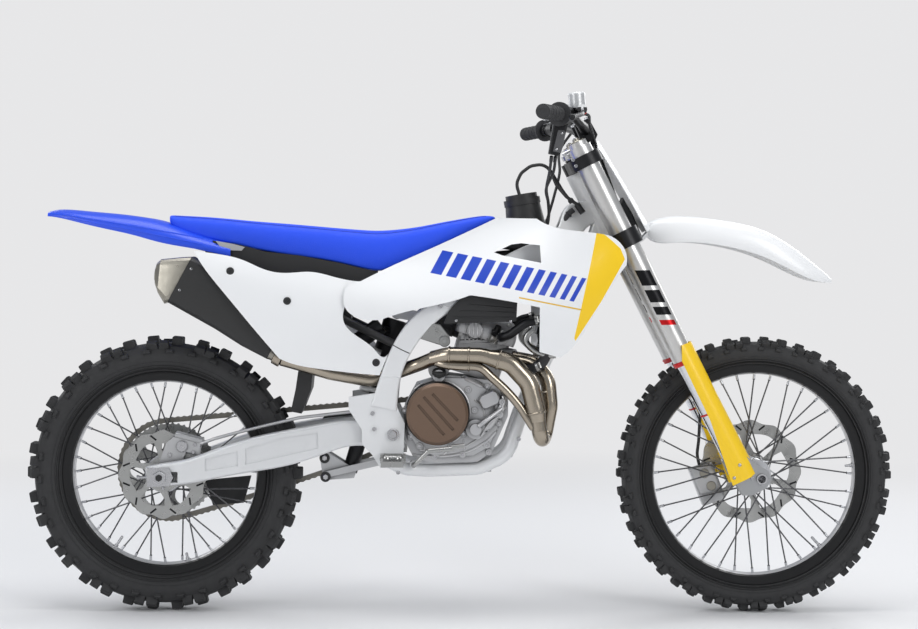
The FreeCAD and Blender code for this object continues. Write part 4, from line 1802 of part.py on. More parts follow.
THROTTLE_SHARES = ((0.638, 1.060, -1.50), (0.643, 1.030, -0.96), (0.646, 1.000, -0.62),
                   (0.6435, 0.976, -0.50))
CLUTCH_LINE_SHARES = (
    (0.672, 1.170, 1.30), (0.670, 1.110, 0.92), (0.660, 1.050, 0.70), (0.650, 1.000, 0.56),
    (0.6445, 0.976, 0.50),
)
CABLE_BEND = 40.0
CABLE_GAP_SHARE = 0.10
CABLE_START_SHARE = 0.04
CABLE_START_SHARES = ((-0.05, 0, 0), (-0.09, 0.24, -0.34))


def cables():
    """Save the throttle cables and the clutch line."""
    foot = THROTTLE_FOOT - Vector(0, 0, CABLE_START_SHARE * HAND)
    pieces = []
    for share in (0, CABLE_GAP_SHARE):
        shift = Vector(0, share * HAND, 0)
        start = [by_hand(foot, share + ahead, aside, up) for ahead, aside, up in CABLE_START_SHARES]
        pieces.append(tube(start + [place + shift for place in route(THROTTLE_SHARES)], CABLE_RADIUS,
                           CABLE_BEND))
    bend = mirrored_place(by_hand(BAR_BEND, *LINE_KNEE_SHARES))
    start = [mirrored_place(place) for place in MASTER_UNION] + [bend]
    pieces.append(tube(start + route(CLUTCH_LINE_SHARES), CABLE_RADIUS, CABLE_BEND))
    save("control_cables", group(pieces))


def chassis():
    """Save everything that the frame carries."""
    frame_shape = frame()
    fender_shape = rear_fender_shape()
    save("frame", frame_shape)
    swingarm()
    rear_axle()
    engine()
    exhaust()
    silencer()
    chain()
    chain_guides()
    subframe(frame_shape, fender_shape)
    airbox()
    suspension()
    fuel(frame_shape)
    radiators()
    rear_caliper()
    foot_levers()
    pegs()
    cables()
    seat()
    save("rear_fender", fender_shape)
    side_panels()
    shrouds()


os.makedirs("parts", exist_ok=True)
front_wheel()
rear_wheel()
steering()
chassis()
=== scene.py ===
"""Looks of a motocross bike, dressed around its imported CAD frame."""

import logging
import math
import random
from dataclasses import dataclass, field
from enum import Enum
from typing import ClassVar, Iterable, Sequence

import bmesh
import bpy
from mathutils import Matrix, Vector
from mathutils.bvhtree import BVHTree

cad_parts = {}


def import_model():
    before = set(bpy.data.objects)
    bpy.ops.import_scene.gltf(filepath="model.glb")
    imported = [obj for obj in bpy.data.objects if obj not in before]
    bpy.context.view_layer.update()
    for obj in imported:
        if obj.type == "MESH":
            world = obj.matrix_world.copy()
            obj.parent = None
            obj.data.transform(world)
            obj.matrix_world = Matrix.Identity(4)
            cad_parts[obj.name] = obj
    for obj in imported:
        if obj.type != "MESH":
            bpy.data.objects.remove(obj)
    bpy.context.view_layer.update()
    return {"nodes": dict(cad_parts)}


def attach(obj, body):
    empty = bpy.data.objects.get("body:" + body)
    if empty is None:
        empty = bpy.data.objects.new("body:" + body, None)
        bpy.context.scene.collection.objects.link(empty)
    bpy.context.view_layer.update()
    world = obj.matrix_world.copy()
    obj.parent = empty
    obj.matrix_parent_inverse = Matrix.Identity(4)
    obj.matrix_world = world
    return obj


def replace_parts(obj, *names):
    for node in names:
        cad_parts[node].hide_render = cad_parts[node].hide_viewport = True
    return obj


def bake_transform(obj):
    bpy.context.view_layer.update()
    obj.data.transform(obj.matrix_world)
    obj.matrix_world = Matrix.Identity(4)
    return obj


LOG = logging.getLogger("bike")

MM = 0.001
WHEELBASE = 1.485
REAR_AXLE = Vector((-0.539946, 0.0, -0.611))
FRONT_AXLE = REAR_AXLE + Vector((WHEELBASE, 0.0, 0.002))
GROUND = -0.957
HEAD_ANGLE = math.radians(63.3)
UP_FORK = Vector((-math.cos(HEAD_ANGLE), 0.0, math.sin(HEAD_ANGLE)))
OFF_FORK = Vector((UP_FORK.z, 0.0, -UP_FORK.x))
SIDEWAYS = Vector((0.0, 1.0, 0.0))
UP = Vector((0.0, 0.0, 1.0))
FORK_LEAD = 0.062
LEG_SPREAD = 0.107
SIDES = (-1.0, 1.0)
SIDE_TAGS = {-1.0: "right", 1.0: "left"}
THINNEST = 0.00001
BEAD_STEP = 0.018

Colour = tuple[float, float, float]
Place = Sequence[float]
Run = tuple[tuple[float, ...], ...]
Mesh = bmesh.types.BMesh
Socket = bpy.types.NodeSocket
Material = bpy.types.Material
Solid = bpy.types.Object


def spot(ahead: float, up: float, side: float = 0.0) -> Vector:
    """Give a place by its distances from the rear axle, the ground and the middle plane.

    Args:
        ahead: Millimetres ahead of the rear axle.
        up: Millimetres above the ground.
        side: Millimetres to the left of the middle plane.

    Returns:
        The place in the frame of the seat.
    """
    return Vector((REAR_AXLE.x + ahead * MM, side * MM, GROUND + up * MM))


def on_fork(up: float, off: float, side: float = 0.0) -> Vector:
    """Give a place by the fork.

    Args:
        up: Millimetres up the steering axis from the level of the front axle.
        off: Millimetres off that axis, to the front.
        side: Millimetres to the left.

    Returns:
        The place in the frame of the seat.
    """
    foot = FRONT_AXLE - OFF_FORK * FORK_LEAD
    return foot + UP_FORK * (up * MM) + OFF_FORK * (off * MM) + SIDEWAYS * (side * MM)


def spots(run: Iterable[Place], mirror: float = 1.0) -> list[Vector]:
    """Give the places of a run of mm ahead, up and to the left, which mirror=-1 puts on the right."""
    return [spot(place[0], place[1], mirror * place[2] if len(place) > 2 else 0.0) for place in run]


def turns(count: int, start: float = 0.0, whole: bool = False) -> list[float]:
    """Give even turns round a circle in radians from a share of a step on; whole adds the closing one."""
    return [2.0 * math.pi * (number + start) / count for number in range(count + int(whole))]


def outward_at(turn: float) -> Vector:
    """Give the way outward from an axle at a turn in radians."""
    return Vector((math.cos(turn), 0.0, math.sin(turn)))


def circle(middle: Place, reach: float, count: int, start: float = 0.0, whole: bool = False) -> Run:
    """Give places on a circle in the side view.

    Args:
        middle: Millimetres ahead and up of its middle.
        reach: Its radius in mm.
        count: How many places there are.
        start: Where the first one stands, as a share of a step.
        whole: Whether one more closes the circle.

    Returns:
        Millimetres ahead and up of each place.
    """
    return tuple((middle[0] + reach * math.cos(turn), middle[1] + reach * math.sin(turn))
                 for turn in turns(count, start, whole))


def linear(red: int, green: int, blue: int) -> Colour:
    """Turn a colour of 0 to 255, as seen on a screen, into the linear one that a shader takes."""
    def one(value: int) -> float:
        """Turn one channel."""
        share = value / 255.0
        return share / 12.92 if share <= 0.04045 else ((share + 0.055) / 1.055) ** 2.4
    return one(red), one(green), one(blue)


class Grain(Enum):
    """Kinds of fine surface."""

    SMOOTH = "smooth"
    MOULDED = "moulded"
    CAST = "cast"
    BRUSHED = "brushed"
    RUBBER = "rubber"
    COVER = "cover"


class Shader:
    """A material's node tree with short ways to add nodes."""

    def __init__(self, name: str) -> None:
        """Start an empty material with a Principled shader and its output.

        Args:
            name: The material's name.
        """
        self.material = bpy.data.materials.new(name)
        self.material.use_nodes = True
        self.tree = self.material.node_tree
        self.tree.nodes.clear()
        self.output = self.node("ShaderNodeOutputMaterial")
        self.surface = self.node("ShaderNodeBsdfPrincipled")
        self.tree.links.new(self.surface.outputs["BSDF"], self.output.inputs["Surface"])
        self._place = None

    def node(self, kind: str, **values: object) -> bpy.types.Node:
        """Add a node.

        Args:
            kind: The node's type name.
            values: Attributes to set on it.

        Returns:
            The new node.
        """
        made = self.tree.nodes.new(kind)
        for key, value in values.items():
            setattr(made, key, value)
        return made

    def join(self, source: Socket, target: Socket) -> None:
        """Link an output to an input."""
        self.tree.links.new(source, target)

    def place(self) -> Socket:
        """Give the place on the object in metres, in the frame that all pieces share."""
        if self._place is None:
            self._place = self.node("ShaderNodeTexCoord").outputs["Object"]
        return self._place

    def math(self, operation: str, *inputs: object) -> Socket:
        """Add a math node.

        Args:
            operation: The kind of sum.
            inputs: Sockets or numbers.

        Returns:
            Its output.
        """
        made = self.node("ShaderNodeMath", operation=operation)
        for number, value in enumerate(inputs):
            if isinstance(value, (int, float)):
                made.inputs[number].default_value = value
            else:
                self.join(value, made.inputs[number])
        return made.outputs[0]

    def mix(self, share: object, first: object, second: object) -> Socket:
        """Mix two colours.

        Args:
            share: How much of the second there is.
            first: A colour or a socket.
            second: A colour or a socket.

        Returns:
            The mixed colour.
        """
        made = self.node("ShaderNodeMix", data_type="RGBA")
        colour_a, colour_b = [s for s in made.inputs if s.type == "RGBA"][:2]
        pairs = ((made.inputs[0], share), (colour_a, first), (colour_b, second))
        for socket, value in pairs:
            if isinstance(value, Socket):
                self.join(value, socket)
            elif isinstance(value, (int, float)):
                socket.default_value = value
            else:
                socket.default_value = (*value, 1.0)
        return [s for s in made.outputs if s.type == "RGBA"][0]

    def noise(self, scale: float, detail: float = 4.0, stretch: Place = (1.0, 1.0, 1.0)) -> Socket:
        """Add a noise over the object's own space.

        Args:
            scale: Waves in a metre.
            detail: Octaves.
            stretch: How much finer the noise is along each axis.

        Returns:
            Its value from 0 to 1.
        """
        mapping = self.node("ShaderNodeMapping")
        mapping.inputs["Scale"].default_value = stretch
        self.join(self.place(), mapping.inputs["Vector"])
        made = self.node("ShaderNodeTexNoise")
        made.inputs["Scale"].default_value = scale
        made.inputs["Detail"].default_value = detail
        self.join(mapping.outputs["Vector"], made.inputs["Vector"])
        return made.outputs["Fac"]

    def ramp(self, value: Socket, low: float, high: float,
             to_low: float = 0.0, to_high: float = 1.0) -> Socket:
        """Map a value from one span onto another, held inside it.

        Args:
            value: What is mapped.
            low: Where the span starts.
            high: Where it ends.
            to_low: What its start becomes.
            to_high: What its end becomes.

        Returns:
            The mapped value.
        """
        made = self.node("ShaderNodeMapRange", interpolation_type="SMOOTHSTEP")
        for number, limit in enumerate((low, high, to_low, to_high)):
            made.inputs[number + 1].default_value = limit
        self.join(value, made.inputs[0])
        return made.outputs[0]

    def inside(self, outline: Sequence[Vector], soft: float = 0.0004) -> Socket:
        """Give 1 inside a convex outline of the side view and 0 outside it.

        Args:
            outline: Its corners, seen from the right side, in either turn.
            soft: Width of its edge in metres.

        Returns:
            The mask.
        """
        split = self.node("ShaderNodeSeparateXYZ")
        self.join(self.place(), split.inputs[0])
        middle = sum(outline, Vector()) / len(outline)
        mask = None
        for start, stop in zip(outline, list(outline[1:]) + [outline[0]]):
            normal = Vector((stop.z - start.z, 0.0, start.x - stop.x)).normalized()
            if (middle - start).dot(normal) < 0.0:
                normal = -normal
            level = normal.dot(start)
            along = self.math("MULTIPLY_ADD", split.outputs["X"], normal.x, -level)
            reach = self.math("MULTIPLY_ADD", split.outputs["Z"], normal.z, along)
            edge = self.ramp(reach, -soft, soft)
            mask = edge if mask is None else self.math("MULTIPLY", mask, edge)
        return mask

    def beyond(self, place: Vector, along: Vector, soft: float = 0.0004) -> Socket:
        """Give 1 past a plane through a place and 0 before it.

        Args:
            place: A place on the plane.
            along: The way past it.
            soft: Half the width of its edge in metres.

        Returns:
            The mask.
        """
        product = self.node("ShaderNodeVectorMath", operation="DOT_PRODUCT")
        self.join(self.place(), product.inputs[0])
        product.inputs[1].default_value = along
        level = place.dot(along)
        return self.ramp(product.outputs["Value"], level - soft, level + soft)

    def paint(self, mask: Socket, colour: Colour) -> None:
        """Paint a colour over the base colour where a mask is 1."""
        base = self.surface.inputs["Base Color"]
        self.join(self.mix(mask, base.links[0].from_socket, colour), base)

    def from_axis(self, axle: Vector) -> Socket:
        """Give the distance from a wheel's axle line.

        Args:
            axle: A place on the axle line.

        Returns:
            The distance in metres.
        """
        split = self.node("ShaderNodeSeparateXYZ")
        self.join(self.place(), split.inputs[0])
        ahead = self.math("SUBTRACT", split.outputs["X"], axle.x)
        above = self.math("SUBTRACT", split.outputs["Z"], axle.z)
        return self.math("SQRT", self.math("ADD", self.math("MULTIPLY", ahead, ahead),
                                           self.math("MULTIPLY", above, above)))

    def bump(self, height: Socket, strength: float, depth: float) -> None:
        """Let a height bend the surface's shading.

        Args:
            height: The height.
            strength: How much it counts, 0 to 1.
            depth: How deep it goes in metres.
        """
        made = self.node("ShaderNodeBump")
        made.inputs["Strength"].default_value = strength
        made.inputs["Distance"].default_value = depth
        self.join(height, made.inputs["Height"])
        self.join(made.outputs["Normal"], self.surface.inputs["Normal"])


GRAIN_NOISE: dict[Grain, tuple[float, float, float]] = {
    Grain.MOULDED: (900.0, 3.0, 0.12),
    Grain.CAST: (420.0, 6.0, 0.35),
    Grain.BRUSHED: (700.0, 5.0, 0.18),
    Grain.RUBBER: (260.0, 8.0, 0.4),
}
"""Waves in a metre, octaves and strength of each fine surface that is a noise."""


@dataclass(frozen=True)
class Finish:
    """One finish of the bike's pieces: its colour, gloss and fine surface."""

    name: str
    colour: Colour
    rough: float = 0.4
    metal: float = 0.0
    coat: float = 0.0
    grain: Grain = Grain.SMOOTH
    depth: float = 0.0003
    dust: float = 0.06
    wear: float = 0.05
    # How much painted shade, from an ambient occlusion node, darkens the colour in hollows; 0 for none.
    hollow_shade: float = 0.0
    brush_along: Place = (1.0, 1.0, 1.0)
    cells: float = 520.0
    coat_rough: float = 0.12

    def shade(self) -> Shader:
        """Build the node tree of this finish.

        Returns:
            The node tree.
        """
        shader = Shader(self.name)
        surface = shader.surface
        surface.inputs["Metallic"].default_value = self.metal
        surface.inputs["Coat Weight"].default_value = self.coat
        surface.inputs["Coat Roughness"].default_value = self.coat_rough
        patches = shader.noise(scale=9.0, detail=3.0)
        darker = tuple(channel * (1.0 - self.dust) for channel in self.colour)
        lighter = tuple(min(channel * (1.0 + self.dust) + self.dust * 0.02, 1.0) for channel in self.colour)
        colour = shader.mix(patches, darker, lighter)
        # Painted shade: an ambient occlusion node mixes the colour towards a darker one in hollows and
        # between parts.
        if self.hollow_shade > 0.0:
            hollow = shader.node("ShaderNodeAmbientOcclusion", samples=6)
            hollow.inputs["Distance"].default_value = 0.02
            deep = tuple(channel * (1.0 - self.hollow_shade) for channel in self.colour)
            colour = shader.mix(shader.ramp(hollow.outputs["AO"], low=0.25, high=0.95), deep, colour)
        shader.join(colour, surface.inputs["Base Color"])
        rough = shader.ramp(shader.noise(scale=60.0, detail=4.0), low=0.25, high=0.75,
                            to_low=max(self.rough - self.wear, 0.04), to_high=self.rough + self.wear)
        shader.join(rough, surface.inputs["Roughness"])
        self._surface_of(shader)
        return shader

    def _surface_of(self, shader: Shader) -> None:
        """Add the fine surface to the tree.

        Args:
            shader: The node tree.
        """
        if self.grain in GRAIN_NOISE:
            scale, detail, strength = GRAIN_NOISE[self.grain]
            shader.bump(shader.noise(scale, detail, self.brush_along), strength, self.depth)
        elif self.grain is Grain.COVER:
            cells = shader.node("ShaderNodeTexVoronoi", feature="F1")
            cells.inputs["Scale"].default_value = self.cells
            shader.join(shader.place(), cells.inputs["Vector"])
            shader.bump(cells.outputs["Distance"], strength=0.5, depth=self.depth)

    def material(self) -> Material:
        """Give the finished material."""
        return self.shade().material


WHITE = Finish("white_plastic", linear(234, 235, 236), 0.32, coat=0.2, grain=Grain.MOULDED,
               depth=0.0001, dust=0.002, wear=0.012)
BLUE = Finish("blue_plastic", linear(30, 76, 222), 0.36, coat=0.15, grain=Grain.MOULDED, depth=0.0002,
              dust=0.02, wear=0.02)
SEAT_WELT = Finish("seat_welt", linear(20, 48, 170), 0.7, grain=Grain.COVER)
SEAT_BLUE = Finish("seat_cover", linear(22, 76, 234), 0.62, grain=Grain.COVER, depth=0.0005, dust=0.05)
YELLOW = Finish("yellow_plastic", linear(246, 203, 20), 0.33, coat=0.2, grain=Grain.MOULDED,
                depth=0.0001, dust=0.01, wear=0.015)
FRAME_SILVER = Finish("frame_paint", linear(226, 227, 228), 0.34, metal=0.1, grain=Grain.CAST, depth=0.0002)
ARM_SILVER = Finish("arm_alloy", linear(222, 223, 224), 0.34, metal=0.35, grain=Grain.CAST, depth=0.0001)
# The cast alloy, the bronze cover and the header metal get painted shade in their hollows.
CASE_GREY = Finish("cast_alloy", linear(192, 192, 193), 0.38, metal=0.75, grain=Grain.CAST,
                   depth=0.0004, dust=0.12, hollow_shade=0.75)
BRONZE = Finish("bronze_cover", linear(117, 96, 81), 0.36, metal=0.5, hollow_shade=0.6, grain=Grain.CAST,
                depth=0.0003)
TITANIUM = Finish("header_metal", linear(172, 162, 147), 0.22, metal=1.0, grain=Grain.BRUSHED,
                  depth=0.00005, dust=0.10, hollow_shade=0.7)
CAP_METAL = Finish("cap_metal", linear(156, 152, 142), 0.32, metal=0.9, grain=Grain.BRUSHED, depth=0.0001)
SILENCER_BLACK = Finish("silencer_coat", linear(38, 38, 38), 0.42, grain=Grain.CAST, depth=0.0002)
BLACK_PLASTIC = Finish("black_plastic", linear(34, 34, 35), 0.5, grain=Grain.MOULDED, depth=0.0004)
LID_GREY = Finish("housing_lid", linear(92, 92, 94), 0.4, metal=0.4, grain=Grain.CAST, depth=0.0002)
BLACK_METAL = Finish("black_anodised", linear(30, 30, 32), 0.36, metal=0.5, grain=Grain.CAST, depth=0.0001)
TUBE_SILVER = Finish("fork_alloy", linear(206, 205, 203), 0.33, metal=0.8, grain=Grain.BRUSHED,
                     depth=0.00005, brush_along=(6.0, 6.0, 1.0))
CHROME = Finish("chromed_tube", linear(222, 223, 226), 0.13, metal=1.0, dust=0.02)
STEEL = Finish("brushed_steel", linear(172, 172, 170), 0.3, metal=1.0, grain=Grain.BRUSHED, depth=0.0001)
CHAIN_STEEL = Finish("chain_steel", linear(126, 123, 116), 0.36, metal=0.9, grain=Grain.CAST,
                     depth=0.0002, dust=0.2)
BOLT_STEEL = Finish("bolt_steel", linear(190, 190, 192), 0.26, metal=1.0)
RUBBER = Finish("tyre_rubber", linear(42, 42, 43), 0.72, grain=Grain.RUBBER, depth=0.0004, dust=0.14)
GRIP = Finish("grip_rubber", linear(46, 46, 48), 0.66, grain=Grain.RUBBER)
RED = Finish("red_ring", linear(204, 26, 30), 0.34, dust=0.05)
SPRING_WHITE = Finish("spring_paint", linear(214, 214, 214), 0.32, coat=0.2)
RIM_BLACK = Finish("rim_coat", linear(24, 24, 25), 0.34, metal=0.4)


def object_from(name: str, mesh: Mesh, smooth: float = 35.0) -> Solid:
    """Put a bmesh into the scene as an object, smooth over blunt edges.

    Args:
        name: The piece's name.
        mesh: Its shape, which is freed.
        smooth: Degrees over which an edge stays sharp.

    Returns:
        The new object.
    """
    bmesh.ops.recalc_face_normals(mesh, faces=mesh.faces)
    data = bpy.data.meshes.new(name)
    for face in mesh.faces:
        face.smooth = True
    for edge in mesh.edges:
        if len(edge.link_faces) == 2 and edge.calc_face_angle(0.0) > math.radians(smooth):
            edge.smooth = False
    mesh.to_mesh(data)
    mesh.free()
    made = bpy.data.objects.new(name, data)
    bpy.context.scene.collection.objects.link(made)
    return made


def fit_on(piece: Solid, body: str, finish: Material, nodes: Iterable[str] = ()) -> Solid:
    """Dress a piece and let it ride on its body.

    Args:
        piece: The piece.
        body: The CAD body it moves with.
        finish: Its material.
        nodes: CAD nodes that it stands for.

    Returns:
        The same piece.
    """
    if not piece.data.materials:
        piece.data.materials.append(finish)
    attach(piece, body)
    for node in nodes:
        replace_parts(piece, node)
    LOG.info("piece %s on %s", piece.name, body)
    return piece


def frame_of(along: Vector) -> tuple[Vector, Vector]:
    """Give two directions square to one direction and to each other.

    Args:
        along: The one direction.

    Returns:
        The two others.
    """
    near = SIDEWAYS if abs(along.normalized().y) < 0.9 else Vector((1.0, 0.0, 0.0))
    first = along.cross(near).normalized()
    return first, along.cross(first).normalized()


def bridge_rings(mesh: Mesh, rings: Sequence[Sequence[bmesh.types.BMVert]],
                 closed: bool = False, caps: bool = True) -> None:
    """Join rings of vertices by quads.

    Args:
        mesh: The bmesh that holds them.
        rings: Rings of one length.
        closed: Whether the last ring joins the first.
        caps: Whether open ends get a face.
    """
    count = len(rings[0])
    pairs = list(zip(rings, rings[1:])) + ([(rings[-1], rings[0])] if closed else [])
    for low, high in pairs:
        for index in range(count):
            after = (index + 1) % count
            mesh.faces.new((low[index], low[after], high[after], high[index]))
    if caps and not closed:
        mesh.faces.new(list(reversed(rings[0])))
        mesh.faces.new(rings[-1])


def add_lathe(mesh: Mesh, start: Vector, along: Vector, profile: Run, segments: int = 24) -> None:
    """Add a turned form.

    Args:
        mesh: The bmesh to add to.
        start: Where the profile's length starts.
        along: The axis.
        profile: Pairs of length along the axis and radius, in metres.
        segments: Sides of the turned form.
    """
    axis = along.normalized()
    first, second = frame_of(axis)
    around = [first * math.cos(turn) + second * math.sin(turn) for turn in turns(segments)]
    rings = [[mesh.verts.new(start + axis * length + way * max(radius, THINNEST)) for way in around]
             for length, radius in profile]
    bridge_rings(mesh, rings)


def smooth_path(points: Sequence[Vector], steps: int) -> list[Vector]:
    """Give places along a smooth line through points.

    Args:
        points: The places it goes through.
        steps: Places made from each point to the next.

    Returns:
        The line's places, ends included.
    """
    line = []
    count = len(points)
    for number in range(count - 1):
        before = points[max(number - 1, 0)]
        start, stop = points[number], points[number + 1]
        after = points[min(number + 2, count - 1)]
        for step in range(steps):
            t = step / steps
            curve = 2.0 * before - 5.0 * start + 4.0 * stop - after
            twist = 3.0 * start - before - 3.0 * stop + after
            line.append(0.5 * ((2.0 * start) + (stop - before) * t + curve * t * t + twist * t ** 3))
    line.append(points[-1].copy())
    return line


def add_tube(mesh: Mesh, line: Sequence[Vector], radius: float, segments: int = 12) -> None:
    """Add a round tube along a line of places.

    Args:
        mesh: The bmesh to add to.
        line: The places along its middle.
        radius: Its radius in metres.
        segments: How many sides it has.
    """
    forward = (line[1] - line[0]).normalized()
    first, _ = frame_of(forward)
    rings = []
    for number, place in enumerate(line):
        before = line[max(number - 1, 0)]
        after = line[min(number + 1, len(line) - 1)]
        forward = (after - before).normalized()
        first = (first - forward * first.dot(forward)).normalized()
        second = forward.cross(first)
        rings.append([mesh.verts.new(place + (first * math.cos(turn) + second * math.sin(turn)) * radius)
                      for turn in turns(segments)])
    bridge_rings(mesh, rings)


class Head(Enum):
    """Kinds of bolt head."""

    HEXAGON = "hexagon"
    SOCKET = "socket"
    BUTTON = "button"


HEAD_FORMS: dict[Head, tuple[tuple[float, Run, int], ...]] = {
    Head.HEXAGON: ((-0.6, ((0.0, 1.35), (0.75, 1.35), (0.8, 1.3)), 20),
                   (0.0, ((0.0, 1.0), (0.62, 1.0), (0.75, 0.86)), 6)),
    Head.SOCKET: ((-0.6, ((0.0, 1.0), (1.45, 1.0), (1.6, 0.9), (1.6, 0.52), (1.0, 0.5)), 14),),
    Head.BUTTON: ((-0.6, ((0.0, 1.0), (0.7, 1.0), (0.98, 0.8), (1.08, 0.45), (0.8, 0.4)), 14),),
}
"""The turned forms of each head: where they start, their profile in radii of the bolt and their sides."""


def add_bolt(mesh: Mesh, place: Vector, outward: Vector, radius: float, head: Head = Head.HEXAGON) -> None:
    """Add a bolt head that stands on a surface.

    Args:
        mesh: The bmesh to add to.
        place: The middle of its seat.
        outward: The way it faces.
        radius: Half the head's width in metres.
        head: Its kind.
    """
    axis = outward.normalized()
    for foot, profile, segments in HEAD_FORMS[head]:
        form = [(length * radius, reach * radius) for length, reach in profile]
        add_lathe(mesh, place + axis * (foot * radius), axis, form, segments)


def add_ring(mesh: Mesh, centre: Vector, along: Vector, profile: Run, segments: int = 32) -> None:
    """Add a closed ring round an axis.

    Args:
        mesh: The bmesh to add to.
        centre: The ring's middle.
        along: Its axis.
        profile: Pairs of length along the axis and radius, in metres, round the section.
        segments: Steps round the ring.
    """
    axis = along.normalized()
    first, second = frame_of(axis)
    rings = []
    for turn in turns(segments):
        way = first * math.cos(turn) + second * math.sin(turn)
        rings.append([mesh.verts.new(centre + axis * length + way * radius) for length, radius in profile])
    bridge_rings(mesh, rings, closed=True)


def add_plate(mesh: Mesh, outline: Sequence[Vector], low: float, high: float, inset: float = 0.0015) -> None:
    """Add a flat piece across the bike with softened edges.

    Args:
        mesh: The bmesh to add to.
        outline: Its corners in the side view.
        low: Its right face, in metres to the left.
        high: Its left face.
        inset: How far the edges are softened.
    """
    middle = sum(outline, Vector()) / len(outline)
    rings = []
    for side, shrink in ((low, inset), (low + inset, 0.0), (high - inset, 0.0), (high, inset)):
        places = [corner + (middle - corner).normalized() * shrink for corner in outline]
        rings.append([mesh.verts.new((place.x, side, place.z)) for place in places])
    bridge_rings(mesh, rings)


@dataclass
class Skin:
    """Finds places on the surfaces of solids, so that small pieces sit on them."""

    solids: dict[str, Solid]
    trees: dict[str, BVHTree] = field(default_factory=dict)
    clear: float = 700.0

    def _tree(self, name: str) -> BVHTree:
        """Give a solid's search tree, made on first use."""
        if name not in self.trees:
            data = self.solids[name].data
            corners = [tuple(corner.co) for corner in data.vertices]
            self.trees[name] = BVHTree.FromPolygons(corners, [tuple(face.vertices) for face in data.polygons])
        return self.trees[name]

    def hit(self, names: Iterable[str], start: Vector, toward: Vector) -> tuple[Vector, Vector] | None:
        """Find the first place that a ray meets on the named solids.

        Args:
            names: The solids to look at.
            start: Where the ray starts.
            toward: The way it goes.

        Returns:
            The place and the normal, or None.
        """
        best = None
        for name in names:
            place, normal, _, distance = self._tree(name).ray_cast(start, toward)
            if place is not None and (best is None or distance < best[2]):
                best = (place, -normal if normal.dot(toward) > 0.0 else normal, distance)
        return None if best is None else (best[0], best[1])

    def flank(self, names: Iterable[str], ahead: float, up: float,
              side: float) -> tuple[Vector, Vector] | None:
        """Give the place and normal on the right flank, -1, or the left one, 1, at mm ahead and up."""
        return self.hit(names, spot(ahead, up, side * self.clear), SIDEWAYS * -side)

    def side_of(self, names: Iterable[str], ahead: float, up: float, side: float, otherwise: float) -> float:
        """Give how many mm to the left a flank lies at mm ahead and up, or the last value without one."""
        found = self.flank(names, ahead, up, side)
        return otherwise if found is None else found[0].y / MM


